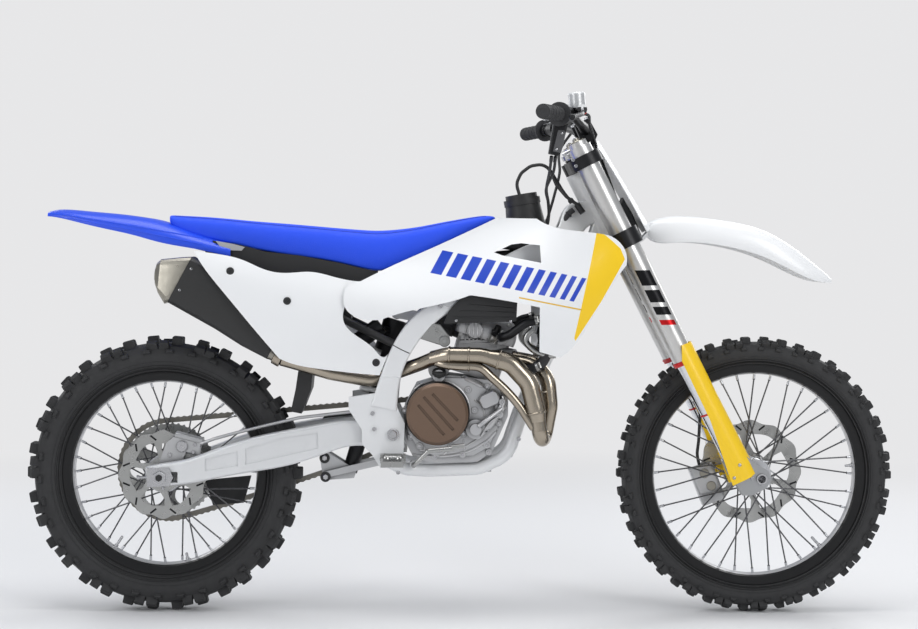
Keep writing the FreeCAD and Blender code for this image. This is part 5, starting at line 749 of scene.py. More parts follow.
@dataclass
class Detail:
    """Small pieces of one finish in one mesh, which ride on one body."""

    name: str
    body: str
    slot: str
    finish: Finish
    skin: Skin
    mesh: Mesh = field(default_factory=bmesh.new)

    def bolts(self, nodes: Sequence[str], places: Run, radius: float,
              head: Head = Head.HEXAGON, side: float = -1.0) -> None:
        """Set bolt heads on a flank of the nodes, at places ahead and up in mm.

        Args:
            nodes: The CAD nodes whose flank is meant.
            places: Millimetres ahead and up of each.
            radius: Half a head's width in mm.
            head: Its kind.
            side: -1 for the right flank, 1 for the left.
        """
        for ahead, up in places:
            found = self.skin.flank(nodes, ahead, up, side)
            if found is not None:
                self.bolt(found[0], SIDEWAYS * side, radius, head)

    def bolt(self, place: Vector, outward: Vector, radius: float, head: Head = Head.HEXAGON) -> None:
        """Add one bolt head of a radius in mm at a place."""
        add_bolt(self.mesh, place, outward, radius * MM, head)

    def washers(self, nodes: Sequence[str], places: Run, radius: float,
                thick: float = 1.6, side: float = -1.0) -> None:
        """Set round washers or bosses on a flank of the nodes.

        Args:
            nodes: The CAD nodes whose flank is meant.
            places: Millimetres ahead and up of each.
            radius: Their radius in mm.
            thick: How far they stand out in mm.
            side: -1 for the right flank, 1 for the left.
        """
        for ahead, up in places:
            found = self.skin.flank(nodes, ahead, up, side)
            if found is not None:
                self.turned(found[0], SIDEWAYS * side, (
                    (-2.0, radius), (thick * 0.6, radius), (thick, radius * 0.9), (thick, radius * 0.2)), 28)

    def bead(self, nodes: Sequence[str], run: Run, radius: float, side: float = -1.0, steps: int = 8) -> None:
        """Lay a rounded rib, weld or line along a run of places on a flank of the nodes.

        Args:
            nodes: The CAD nodes whose flank is meant.
            run: Millimetres ahead and up of places along it.
            radius: Its radius in mm.
            side: -1 for the right flank, 1 for the left.
            steps: Places from each to the next.
        """
        line: list[Vector] = []
        for place in smooth_path([Vector((ahead, 0.0, up)) for ahead, up in run], steps):
            found = self.skin.flank(nodes, place.x, place.z, side)
            if found is None or (line and abs(found[0].y - line[-1].y) > BEAD_STEP):
                self._lay(line, radius)
                line = []
            if found is not None:
                line.append(found[0] - found[1] * (radius * 0.35 * MM))
        self._lay(line, radius)

    def _lay(self, line: Sequence[Vector], radius: float) -> None:
        """Add a bead where its line has a length."""
        if len(line) > 2:
            add_tube(self.mesh, line, radius * MM, 8)

    def band(self, centre: Vector, along: Vector, inner: float, outer: float, wide: float) -> None:
        """Put a rounded ring round a pipe, with its sizes in mm.

        Args:
            centre: Its middle.
            along: Its axis.
            inner: Its inner radius.
            outer: Its outer radius.
            wide: Its length.
        """
        half, soft = wide * 0.5 * MM, min(wide * 0.3, 1.0) * MM
        inner, outer = inner * MM, outer * MM
        add_ring(self.mesh, centre, along, ((-half, inner), (-half, outer - soft), (-half + soft, outer),
                                            (half - soft, outer), (half, outer - soft), (half, inner)))

    def clamp(self, centre: Vector, along: Vector, radius: float, screw: Vector) -> None:
        """Put a hose clamp with its screw housing round a hose of a radius in mm.

        Args:
            centre: Its middle.
            along: Its axis.
            radius: The hose's radius in mm.
            screw: The way to its screw.
        """
        self.band(centre, along, inner=radius - 0.6, outer=radius + 1.3, wide=8.0)
        outward = screw.normalized()
        cross = along.normalized().cross(outward)
        foot = centre + outward * ((radius + 3.0) * MM) - cross * (7.0 * MM)
        self.turned(foot, cross, ((0.0, 3.4), (11.0, 3.4), (11.0, 4.2), (14.5, 4.2), (15.5, 2.6)), 8)

    def turned(self, start: Vector, along: Vector, profile: Run, segments: int = 24) -> None:
        """Add a turned form with its sizes in mm."""
        form = [(length * MM, radius * MM) for length, radius in profile]
        add_lathe(self.mesh, start, along, form, segments)

    def tube(self, points: Sequence[Vector], radius: float, steps: int = 8, segments: int = 14) -> None:
        """Add a smooth tube of a radius in mm."""
        add_tube(self.mesh, smooth_path(points, steps), radius * MM, segments)

    def plate(self, outline: Sequence[Vector], low: float, high: float, inset: float = 1.5) -> None:
        """Add a flat piece across the bike between two sides in mm."""
        add_plate(self.mesh, outline, low * MM, high * MM, inset * MM)

    def put(self, finishes: "Finishes", smooth: float = 35.0) -> Solid | None:
        """Put the pieces into the scene, where there are any.

        Args:
            finishes: The materials.
            smooth: Degrees over which an edge stays sharp.

        Returns:
            The new object, or None.
        """
        if not self.mesh.faces:
            self.mesh.free()
            return None
        piece = object_from(self.name, self.mesh, smooth)
        return fit_on(piece, self.body, finishes.of(self.finish))


class Finishes:
    """Keeps one material for each finish."""

    def __init__(self) -> None:
        """Start with none made."""
        self.made: dict[str, Material] = {}

    def of(self, finish: Finish) -> Material:
        """Give a finish's material, made on first use."""
        if finish.name not in self.made:
            self.made[finish.name] = finish.material()
        return self.made[finish.name]


@dataclass
class Studio:
    """The camera, the lamps and the pale floor."""

    lens: float = 75.37
    eye: Vector = field(default_factory=lambda: spot(664.0, 880.0, -4850.0))
    tilt_down: float = math.radians(1.565)
    turn_ahead: float = math.radians(0.864)
    roll: float = math.radians(0.3)
    pale: Colour = (0.80, 0.80, 0.81)
    sky: Colour = (0.9, 0.94, 1.0)
    sky_strength: float = 0.42
    floor_reach: float = 14.0
    fade: tuple[float, float] = (1.8, 4.5)
    aim: Vector = field(default_factory=lambda: Vector((0.15, 0.0, -0.35)))
    lamps: tuple[tuple[str, Place, tuple[float, float], float], ...] = (
        ("top", (0.2, -0.3, 2.6), (3.4, 1.6), 62.0),
        ("right_front", (2.6, -3.0, 1.3), (1.4, 2.2), 46.0),
        ("right_rear", (-2.6, -2.8, 0.9), (1.4, 2.0), 30.0),
        ("left_front", (2.4, 3.0, 1.3), (1.6, 2.2), 40.0),
        ("left_rear", (-2.6, 2.8, 1.1), (1.6, 2.2), 34.0),
    )

    def build(self) -> None:
        """Make the camera, the world, the lamps and the floor."""
        self._camera()
        self._world()
        for lamp in self.lamps:
            self._lamp(*lamp)
        self._floor()
        bpy.context.scene.view_settings.view_transform = "Standard"

    def _camera(self) -> None:
        """Set the camera where the photograph was taken from."""
        data = bpy.data.cameras.new("camera")
        data.lens = self.lens
        data.sensor_width = 36.0
        data.clip_end = 60.0
        camera = bpy.data.objects.new("camera", data)
        camera.location = self.eye
        turn = Matrix.Rotation(-self.turn_ahead, 4, "Z")
        tilt = Matrix.Rotation(math.pi / 2.0 - self.tilt_down, 4, "X")
        roll = Matrix.Rotation(self.roll, 4, "Z")
        camera.rotation_euler = (turn @ tilt @ roll).to_euler()
        bpy.context.scene.collection.objects.link(camera)
        bpy.context.scene.camera = camera

    def _world(self) -> None:
        """Give a pale world, a little dimmer for light than for the eye."""
        world = bpy.data.worlds.new("studio")
        world.use_nodes = True
        tree = world.node_tree
        tree.nodes.clear()
        output = tree.nodes.new("ShaderNodeOutputWorld")
        mixer = tree.nodes.new("ShaderNodeMixShader")
        rays = tree.nodes.new("ShaderNodeLightPath")
        seen = tree.nodes.new("ShaderNodeBackground")
        light = tree.nodes.new("ShaderNodeBackground")
        seen.inputs["Color"].default_value = (*self.pale, 1.0)
        light.inputs["Color"].default_value = (*self.sky, 1.0)
        light.inputs["Strength"].default_value = self.sky_strength
        tree.links.new(rays.outputs["Is Camera Ray"], mixer.inputs[0])
        tree.links.new(light.outputs[0], mixer.inputs[1])
        tree.links.new(seen.outputs[0], mixer.inputs[2])
        tree.links.new(mixer.outputs[0], output.inputs["Surface"])
        bpy.context.scene.world = world

    def _lamp(self, name: str, place: Place, size: tuple[float, float], power: float) -> None:
        """Add one soft lamp that faces the bike.

        Args:
            name: Its name.
            place: Where it stands.
            size: Its sides in metres.
            power: Its power in watts.
        """
        data = bpy.data.lights.new(name, "AREA")
        data.shape = "RECTANGLE"
        data.size, data.size_y = size
        data.energy = power
        lamp = bpy.data.objects.new(name, data)
        lamp.location = place
        lamp.rotation_euler = (self.aim - Vector(place)).to_track_quat("-Z", "Y").to_euler()
        bpy.context.scene.collection.objects.link(lamp)

    def _floor(self) -> None:
        """Lay a pale floor that fades into the backdrop with distance."""
        mesh = bmesh.new()
        reach = self.floor_reach
        mesh.faces.new([mesh.verts.new((math.cos(turn) * reach, math.sin(turn) * reach, GROUND))
                        for turn in turns(48)])
        floor = object_from("floor", mesh)
        shader = Shader("floor_paper")
        shader.surface.inputs["Base Color"].default_value = (*self.pale, 1.0)
        shader.surface.inputs["Roughness"].default_value = 0.7
        backdrop = shader.node("ShaderNodeEmission")
        backdrop.inputs["Color"].default_value = (*self.pale, 1.0)
        length = shader.node("ShaderNodeVectorMath", operation="LENGTH")
        shader.join(shader.place(), length.inputs[0])
        far = shader.ramp(length.outputs["Value"], *self.fade)
        blend = shader.node("ShaderNodeMixShader")
        shader.join(far, blend.inputs[0])
        shader.join(shader.surface.outputs[0], blend.inputs[1])
        shader.join(backdrop.outputs[0], blend.inputs[2])
        shader.join(blend.outputs[0], shader.output.inputs["Surface"])
        floor.data.materials.append(shader.material)


@dataclass
class Tread:
    """A knobbly tyre: carcass, tread blocks and shoulder blocks."""

    name: str
    body: str
    axle: Vector
    radius: float
    half_width: float
    bead: float
    flange: float
    rim_half: float
    rows: int
    knob: float
    seed: int
    segments: int = 144
    carcass_share: float = 0.9
    section: Run = ((0.94, 0.42), (0.97, 0.50), (1.0, 0.60), (0.95, 0.76), (0.80, 0.90), (0.45, 0.98))
    raised: Run = ((0.845, 0.22), (0.90, 0.33), (0.95, 0.455))
    raised_half: float = 0.0016
    raised_out: float = 0.0012
    raised_root: float = 0.003
    seat_inward: float = 0.0043
    flange_gap: float = 0.0006
    knob_gap: float = 0.0004
    bevel: float = 0.0018
    mesh: Mesh = field(default_factory=bmesh.new)

    def build(self, rubber: Material) -> None:
        """Make the tyre and stand it for its CAD node.

        Args:
            rubber: The tyre's material.
        """
        self._carcass()
        self._knobs()
        self._rings()
        piece = object_from(self.name + "_tread", self.mesh, 32.0)
        fit_on(piece, self.body, rubber, [self.name])

    def _carcass_profile(self) -> list[tuple[float, float]]:
        """Give the carcass's section.

        Returns:
            Pairs of side and radius in metres.
        """
        crown = self.radius - self.knob
        seat = self.rim_half - self.seat_inward
        wide = self.half_width * self.carcass_share
        high = crown - self.bead
        half = [(seat, self.bead), (seat, self.flange + self.flange_gap),
                (wide * 0.80, self.flange + high * 0.13)]
        half += [(wide * side, self.bead + high * rise) for side, rise in self.section]
        return [(-side, reach) for side, reach in half] + [(0.0, crown)] + half[::-1]

    def _rings(self) -> None:
        """Add the raised rings of both side walls."""
        wide = self.half_width * self.carcass_share
        high = self.radius - self.knob - self.bead
        foot, flat = self.raised_half, self.raised_half / 2.0
        for side_share, reach_share in self.raised:
            reach = self.bead + high * reach_share
            inner, outer = wide * side_share - self.raised_root, wide * side_share + self.raised_out
            for sign in SIDES:
                add_ring(self.mesh, self.axle, SIDEWAYS, (
                    (sign * inner, reach - foot), (sign * outer, reach - flat), (sign * outer, reach + flat),
                    (sign * inner, reach + foot)), self.segments)

    def _at(self, angle: float, side: float, reach: float) -> Vector:
        """Give a place of the wheel from its angle, side and radius."""
        return self.axle + Vector((math.cos(angle) * reach, side, math.sin(angle) * reach))

    def _carcass(self) -> None:
        """Turn the carcass's section about the axle."""
        profile = self._carcass_profile()
        rings = [[self.mesh.verts.new(self._at(turn, side, reach)) for side, reach in profile]
                 for turn in turns(self.segments)]
        bridge_rings(self.mesh, rings, closed=True)

    def _block(self, angle: float, middle: tuple[float, float], lean: float,
               wide: float, long: float, high: float) -> None:
        """Add one bevelled tread block.

        Args:
            angle: Where round the wheel it stands.
            middle: Side and radius of its foot.
            lean: Its lean outward from the radius.
            wide: Its size across the tyre.
            long: Its size round the tyre.
            high: How far it stands out.
        """
        around = Vector((-math.sin(angle), 0.0, math.cos(angle)))
        outward = Vector((math.cos(angle) * math.cos(lean), math.sin(lean), math.sin(angle) * math.cos(lean)))
        across = outward.cross(around).normalized()
        foot = self._at(angle, middle[0], middle[1]) - outward * (self.knob * 0.4)
        tall = high + self.knob * 0.4
        soft = self.bevel
        levels = ((0.0, 1.16, 0.0), (tall * 0.5, 1.04, 0.0), (tall - soft, 1.0, 0.0), (tall, 1.0, soft))
        rings = []
        for level, growth, inset in levels:
            half_wide = wide * 0.5 * growth - inset
            half_long = long * 0.5 * growth - inset
            centre = foot + outward * level
            rings.append([self.mesh.verts.new(centre + across * (x * half_wide) + around * (y * half_long))
                          for x, y in ((-1, -1), (1, -1), (1, 1), (-1, 1))])
        bridge_rings(self.mesh, rings)

    def _knobs(self) -> None:
        """Set the rows of blocks round the tyre."""
        dice = random.Random(self.seed)
        crown = self.radius - self.knob
        pitch = 2.0 * math.pi / self.rows
        long = crown * pitch * 0.42
        wide = self.half_width * self.carcass_share
        for row in range(self.rows):
            angle = row * pitch
            wobble = dice.uniform(-0.03, 0.03) * pitch
            odd = row % 2
            reach = self.radius - self.knob_gap
            if odd:
                self._block(angle + wobble, (0.0, crown), lean=0.0, wide=wide * 0.62, long=long,
                            high=reach - crown)
            else:
                for side in (-1, 1):
                    self._block(angle, (side * wide * 0.33, crown - wide * 0.01), lean=side * 0.08,
                                wide=wide * 0.42, long=long, high=(reach - crown) * 0.96)
            for side in (-1, 1):
                shift = 0.0 if odd else 0.5 * pitch
                deep = crown - self.bead
                self._block(angle + shift + wobble, (side * wide * 0.80, crown - deep * 0.10),
                            lean=side * 0.62, wide=wide * 0.34, long=long * (1.0 if odd else 0.9),
                            high=self.knob * 0.86)
                self._block(angle + pitch * 0.25, (side * wide * 0.985, crown - deep * 0.24),
                            lean=side * 1.05, wide=wide * 0.20, long=long * 0.7, high=self.knob * 0.30)


@dataclass
class Cushion:
    """The long seat with its crowned top, side skirts and seams."""

    stations: Run = (
        (12, 993.5, 979, 66), (28, 993, 961, 69), (60, 991.5, 947, 72), (99, 990, 937, 75),
        (160, 985.5, 925, 78), (215, 980, 912, 79), (280, 975.5, 899, 81), (341.5, 971, 891, 82),
        (400, 966, 883, 83), (445.5, 962.5, 874, 84), (500, 958.5, 861, 84), (540.5, 957, 852, 84),
        (590, 961.5, 873, 81), (638.5, 968, 895, 78), (690, 979, 920, 72), (739.5, 988, 942, 66),
        (775, 994, 960, 58), (802, 997.5, 971, 52), (828.6, 994.5, 984, 40),
    )
    section: Run = (
        (0.94, 0.0), (0.985, 0.03), (1.015, 0.22), (1.03, 0.48), (1.0, 0.70), (0.93, 0.86), (0.80, 0.945),
        (0.55, 0.985), (0.28, 0.997),
    )

    def build(self, cover: Material) -> Solid:
        """Make the seat and stand it for its CAD node.

        Args:
            cover: Its material.

        Returns:
            The new object.
        """
        mesh = bmesh.new()
        rings = []
        whole = [*self.section, (0.0, 1.0), *((-side, up) for side, up in reversed(self.section))]
        for ahead, top, low, half_wide in self.stations:
            rings.append([mesh.verts.new(spot(ahead, low + up * (top - low), side * half_wide))
                          for side, up in whole])
        bridge_rings(mesh, rings)
        piece = object_from("seat_cushion", mesh, 60.0)
        softener = piece.modifiers.new("round", "SUBSURF")
        softener.levels = softener.render_levels = 2
        data = bpy.data.meshes.new_from_object(piece.evaluated_get(bpy.context.evaluated_depsgraph_get()))
        piece.modifiers.clear()
        piece.data = data
        fit_on(piece, "chassis", cover, ["seat"])
        return piece


@dataclass
class Assembly:
    """What the sub-assemblies share: the solids' surfaces, the finishes and the body that they ride on."""

    skin: Skin
    finishes: Finishes
    body: str = "chassis"

    def detail(self, name: str, slot: str, finish: Finish, body: str = "") -> Detail:
        """Start a set of small pieces, on the assembly's own body where no other is named."""
        return Detail(name, body or self.body, slot, finish, self.skin)

    def put(self, *pieces: Detail) -> None:
        """Put sets of small pieces into the scene."""
        for piece in pieces:
            piece.put(self.finishes)


@dataclass
class Engine(Assembly):
    """The engine's bolts, ribs, pump, cylinder and hoses."""

    nodes: tuple[str, ...] = ("engine_cases", "clutch_cover", "cylinder_head")
    cases: tuple[str, ...] = ("engine_cases",)
    head: tuple[str, ...] = ("cylinder_head",)
    tank: tuple[str, ...] = ("fuel_tank", "airbox")
    case_bolts: Run = (
        (757, 595), (759, 565), (775, 514), (748, 456), (602, 525), (602, 512), (835, 483), (806, 428),
        (811, 410), (746, 404), (843, 536), (806, 572), (677, 399), (618, 447), (717, 427), (662, 601),
        (640, 425), (838, 505),
    )
    ignition_middle: Place = (712, 490)
    ignition_ring: float = 62.0
    clutch_middle: Place = (683, 507)
    flange_ring: float = 81.0
    gasket_ring: float = 77.4
    case_ribs: tuple[tuple[Run, float], ...] = (
        (((612, 404), (673, 399), (746, 408), (800, 434), (828, 462), (836, 486)), 4),
        (((640, 416), (690, 411), (742, 421), (786, 445), (810, 468)), 2.8),
        (((722, 603), (760, 590), (798, 572)), 6), (((800, 560), (826, 585), (840, 590)), 3),
        (((842, 500), (846, 540), (838, 575)), 3.4), (((790, 452), (812, 486), (834, 500)), 3),
        (((776, 540), (796, 520), (800, 500)), 3),
        (((612, 560), (606, 520), (606, 470), (612, 440)), 3.2),
        (((700, 402), (716, 424)), 2.6), (((752, 411), (748, 440)), 2.6), (((655, 402), (650, 425)), 2.6),
    )
    left_ribs: tuple[tuple[Run, float], ...] = (
        (((640, 560), (700, 580), (770, 560), (800, 500), (770, 430), (700, 405)), 3),
        (((620, 430), (660, 405), (700, 398)), 2.6),
    )
    pump_middle: Place = (811, 541)
    pump_slant: Place = (0.90, 0, 0.43)
    pump_rise: Place = (-0.43, 0, 0.90)
    pump_corners: Run = ((-25, -12), (-18, -18), (18, -18), (26, -10), (26, 10), (19, 18), (-16, 18),
                         (-25, 10))
    pump_cover: Run = ((0, 12), (9, 12), (11, 10), (11, 2))
    pump_pipe: Run = ((784, 477, -144), (800, 489, -143), (848, 524, -123))
    pump_pipe_end: Run = ((-14, 6.5), (2, 6.5), (4, 5), (4, 1.5))
    oil_cap: Run = ((-6, 12), (4, 12), (4, 16.5), (13, 16.5), (14.5, 15), (14.5, 4))
    oil_cap_ridge: Run = ((0, 1.6), (9, 1.6), (9.6, 0.8))
    oil_cap_radius: float = 16.0
    head_ribs: Place = (752, 762, 772, 782, 792)
    cylinder_ribs: Place = (628, 640, 652, 664, 676)
    gasket_line: Run = ((700, 684), (770, 687), (860, 691))
    head_bolts: Run = ((742, 700), (846, 706), (720, 716), (862, 722))
    plug_cap: Run = ((8, 12.5), (19, 12.5), (21, 9), (34, 8), (36, 3))
    plug_collar: Run = ((-10, 14), (4, 14), (6, 13), (10, 13), (11, 9))
    boot: Run = ((806, 700), (752, 712), (700, 734), (640, 764))
    boot_bands: Run = ((780, 705), (726, 722))
    tank_ribs: tuple[Run, ...] = (
        ((722, 744), (866, 744)), ((738, 760), (870, 756)), ((756, 776), (874, 766)),
    )
    tank_bolts: Run = ((862, 735), (728, 736))
    mount: Run = ((630, 694), (662, 730), (690, 726), (712, 698), (714, 682), (704, 672), (684, 677))
    mount_boss: Run = ((0, 14), (13, 14), (15, 12), (15, 3))
    coolant_pipe: Run = ((919, 716, 128), (903, 700, 128), (902, 682, 128), (921, 663, 128), (946, 653, 128),
                         (974, 652, 128))
    coolant_hose: Run = ((952, 700, 124), (956, 676, 124), (950, 650, 124), (936, 628, 120), (912, 616, 112),
                         (880, 612, 96))

    def build(self) -> None:
        """Dress the engine."""
        self._fasteners()
        self._castings()
        self._pump()
        self._cylinder()
        self._mount()
        self._intake()
        for side in SIDES:
            self._hoses(side)

    def _fasteners(self) -> None:
        """Set the cover bolts on both flanks."""
        bosses = self.detail("case_bosses", "case_grey", CASE_GREY)
        bolts = self.detail("case_bolts", "case_grey", BOLT_STEEL)
        bosses.washers(self.nodes, self.case_bolts, radius=8.4, thick=2.2)
        bolts.bolts(self.nodes, self.case_bolts, radius=4.1)
        ring = circle(self.ignition_middle, self.ignition_ring, 9)
        bosses.washers(self.nodes, ring, radius=8.0, thick=2.0, side=1.0)
        bolts.bolts(self.nodes, ring, radius=4.1, side=1.0)
        self.put(bosses, bolts)

    def _castings(self) -> None:
        """Lay the cast ribs, the clutch cover's flange and its gasket line."""
        ribs = self.detail("case_ribs", "case_grey", CASE_GREY)
        gasket = self.detail("case_gasket", "case_grey", BLACK_METAL)
        for run, radius in self.case_ribs:
            ribs.bead(self.cases, run, radius)
        for run, radius in self.left_ribs:
            ribs.bead(self.cases, run, radius, side=1.0)
        for piece, reach, radius in ((ribs, self.flange_ring, 3.0), (gasket, self.gasket_ring, 1.3)):
            piece.bead(self.cases, circle(self.clutch_middle, reach, 24, whole=True), radius, steps=4)
        self.put(ribs, gasket)

    def _pump(self) -> None:
        """Build the water pump's box, its bright pipe and the oil cap."""
        body = self.detail("pump_body", "case_grey", CASE_GREY)
        face = self.skin.side_of(self.nodes, 812, 541, side=-1.0, otherwise=-106.0)
        middle, slant, rise = spot(*self.pump_middle), Vector(self.pump_slant), Vector(self.pump_rise)
        body.plate([middle + slant * (x * MM) + rise * (z * MM) for x, z in self.pump_corners],
                   low=face - 17.0, high=face + 4.0, inset=3.5)
        body.turned(spot(836, 524, face + 2.0), -SIDEWAYS, self.pump_cover)
        pipe = self.detail("pump_pipe", "case_grey", CASE_GREY)
        pipe.tube(spots(self.pump_pipe), radius=5.4, steps=6)
        pipe.turned(spot(848, 524, -122), -SIDEWAYS, self.pump_pipe_end)
        cap = self.detail("oil_cap", "plastic_black", BLACK_PLASTIC)
        start, along = spot(687, 600, -128), Vector((0.03, -0.45, 0.89))
        cap.turned(start, along, self.oil_cap, segments=28)
        first, second = frame_of(along)
        for turn in turns(14):
            rim = first * math.cos(turn) + second * math.sin(turn)
            foot = start + rim * (self.oil_cap_radius * MM) + along * (4.0 * MM)
            cap.turned(foot, along, self.oil_cap_ridge, segments=8)
        self.put(body, pipe, cap)

    def _cylinder(self) -> None:
        """Build the cylinder's ribs, the head's gasket, its bolts and the plug cap."""
        ribs = self.detail("cylinder_ribs", "case_grey", CASE_GREY)
        gasket = self.detail("head_gasket", "case_grey", BLACK_METAL)
        collar = self.detail("plug_collar", "case_grey", STEEL)
        for ahead in self.head_ribs:
            ribs.bead(self.head, ((ahead, 684), (ahead + 1, 708), (ahead + 2, 732)), radius=2.6)
        for side, start in ((-1.0, 705), (1.0, 720)):
            for up in self.cylinder_ribs:
                ribs.bead(self.head, ((start, up - 3), (760, up), (830, up + 4)), radius=1.9, side=side)
            gasket.bead(self.head, self.gasket_line, radius=1.5, side=side)
            collar.bolts(self.head, self.head_bolts, radius=4.6, side=side)
        foot, lean = spot(824, 692, -74), Vector((0.3, -0.45, 0.85))
        gasket.turned(foot, lean, self.plug_cap)
        collar.turned(foot, lean, self.plug_collar)
        self.put(ribs, gasket, collar)

    def _intake(self) -> None:
        """Build the rubber boot between the head and the airbox, and the tank's moulded ribs."""
        boot = self.detail("intake_boot", "grip_rubber", GRIP)
        boot.tube(spots(self.boot), radius=29.0, steps=6, segments=28)
        for place in spots(self.boot_bands):
            boot.band(place, Vector((-0.93, 0.0, 0.33)), inner=28.0, outer=32.0, wide=9.0)
        ribs = self.detail("tank_ribs", "plastic_black", BLACK_PLASTIC)
        steel = self.detail("tank_bolts", "axle_steel", BOLT_STEEL)
        for side in SIDES:
            for run in self.tank_ribs:
                ribs.bead(self.tank, run, radius=2.4, side=side)
            steel.bolts(self.tank, self.tank_bolts, radius=4.0, head=Head.BUTTON, side=side)
        self.put(boot, ribs, steel)

    def _mount(self) -> None:
        """Build the bracket that holds the head to the frame."""
        mount = self.detail("engine_mounts", "frame_silver", STEEL)
        for side in SIDES:
            low, high = sorted((side * 118.0, side * 128.0))
            mount.plate(spots(self.mount), low, high, inset=2.0)
            mount.turned(spot(700, 685, side * 118), SIDEWAYS * side, self.mount_boss)
            mount.bolt(spot(700, 685, side * 133), SIDEWAYS * side, radius=7.5)
            mount.bolt(spot(681, 712, side * 128), SIDEWAYS * side, radius=4.5)
        self.put(mount)

    def _hoses(self, side: float) -> None:
        """Build the coolant pipe, the hose and their clamps.

        Args:
            side: -1 for the right flank, 1 for the left.
        """
        pipe = self.detail(SIDE_TAGS[side] + "_coolant_pipe", "case_grey", STEEL)
        pipe.tube(spots(self.coolant_pipe, side), radius=8.0)
        hose = self.detail(SIDE_TAGS[side] + "_coolant_hose", "plastic_black", GRIP)
        hose.tube(spots(self.coolant_hose, side), radius=13.0)
        for centre, along, radius in (
            (spot(925, 737.6, side * 139.4), Vector((-35.7, side * -2.0, -8.0)), 11.0),
            (spot(840.5, 694, side * 88), SIDEWAYS, 11.0),
            (spot(954, 664, side * 124), Vector((-0.1, 0.0, -1.0)), 13.0),
            (spot(930, 623, side * 118), Vector((-0.85, -0.2 * side, -0.4)), 13.0),
        ):
            pipe.clamp(centre, along, radius, screw=Vector((0.3, side, 0.2)))
        self.put(hose, pipe)


@dataclass
class Exhaust(Assembly):
    """The header's bands, its second pipe and the silencer's rivets."""

    joints: tuple[tuple[Vector, Vector, float], ...] = (
        (spot(712, 653, -142.3), Vector((77, -8, -1)), 19),
        (spot(760, 652.3, -147), Vector((77, -8, -1)), 19),
        (spot(925, 512, -158), Vector((13.3, 0, -74)), 24),
        (spot(832, 641, -151), Vector((-74, 2, 18)), 23.6),
        (spot(944, 560, -110), Vector((6, -5, -65)), 19),
    )
    second_pipe: Run = (
        (676, 636, -128), (700, 628, -140), (740, 625, -147), (786, 622, -150), (818, 596, -150),
        (852, 565, -151), (882, 531, -153), (903, 500, -156), (920, 474, -158),
    )
    second_bands: tuple[tuple[Vector, Vector], ...] = (
        (spot(712, 626.5, -142), Vector((40, -7, -2))),
        (spot(760, 624, -148.6), Vector((46, -3, -3))),
    )
    rivets: Run = ((81, 860), (53, 808))

    def build(self) -> None:
        """Dress the exhaust."""
        pipe = self.detail("second_pipe", "header_titanium", TITANIUM)
        pipe.tube(spots(self.second_pipe), radius=11.0, steps=8, segments=24)
        for centre, along in self.second_bands:
            pipe.band(centre, along, inner=10.4, outer=12.6, wide=4.0)
        for centre, along, radius in self.joints:
            pipe.band(centre, along, inner=radius - 0.8, outer=radius + 1.7, wide=5.0)
        pipe.band(spot(292, 643, -117.5), Vector((27.0, -3.0, -15.0)), inner=15.0, outer=21.5, wide=20.0)
        rivets = self.detail("silencer_rivets", "cap_titanium", BOLT_STEEL)
        for side in SIDES:
            rivets.bolts(("silencer",), self.rivets, radius=3.6, head=Head.BUTTON, side=side)
        self.put(pipe, rivets)


def rounded_section(centre: Vector, rise: Vector, wide: float, high: float, corner: float) -> list[Vector]:
    """Give the corners of a rounded oblong across the bike.

    Args:
        centre: Its middle.
        rise: The way its height runs.
        wide: Its width across the bike in mm.
        high: Its height in mm.
        corner: The radius of its corners in mm.

    Returns:
        Its corners in order.
    """
    places = []
    for number in range(16):
        quarter, step = divmod(number, 4)
        turn = math.pi / 2.0 * (quarter + step / 3.0)
        side = (1.0 if quarter in (0, 3) else -1.0) * (wide / 2.0 - corner) + corner * math.cos(turn)
        up = (1.0 if quarter in (0, 1) else -1.0) * (high / 2.0 - corner) + corner * math.sin(turn)
        places.append(centre + SIDEWAYS * (side * MM) + rise * (up * MM))
    return places


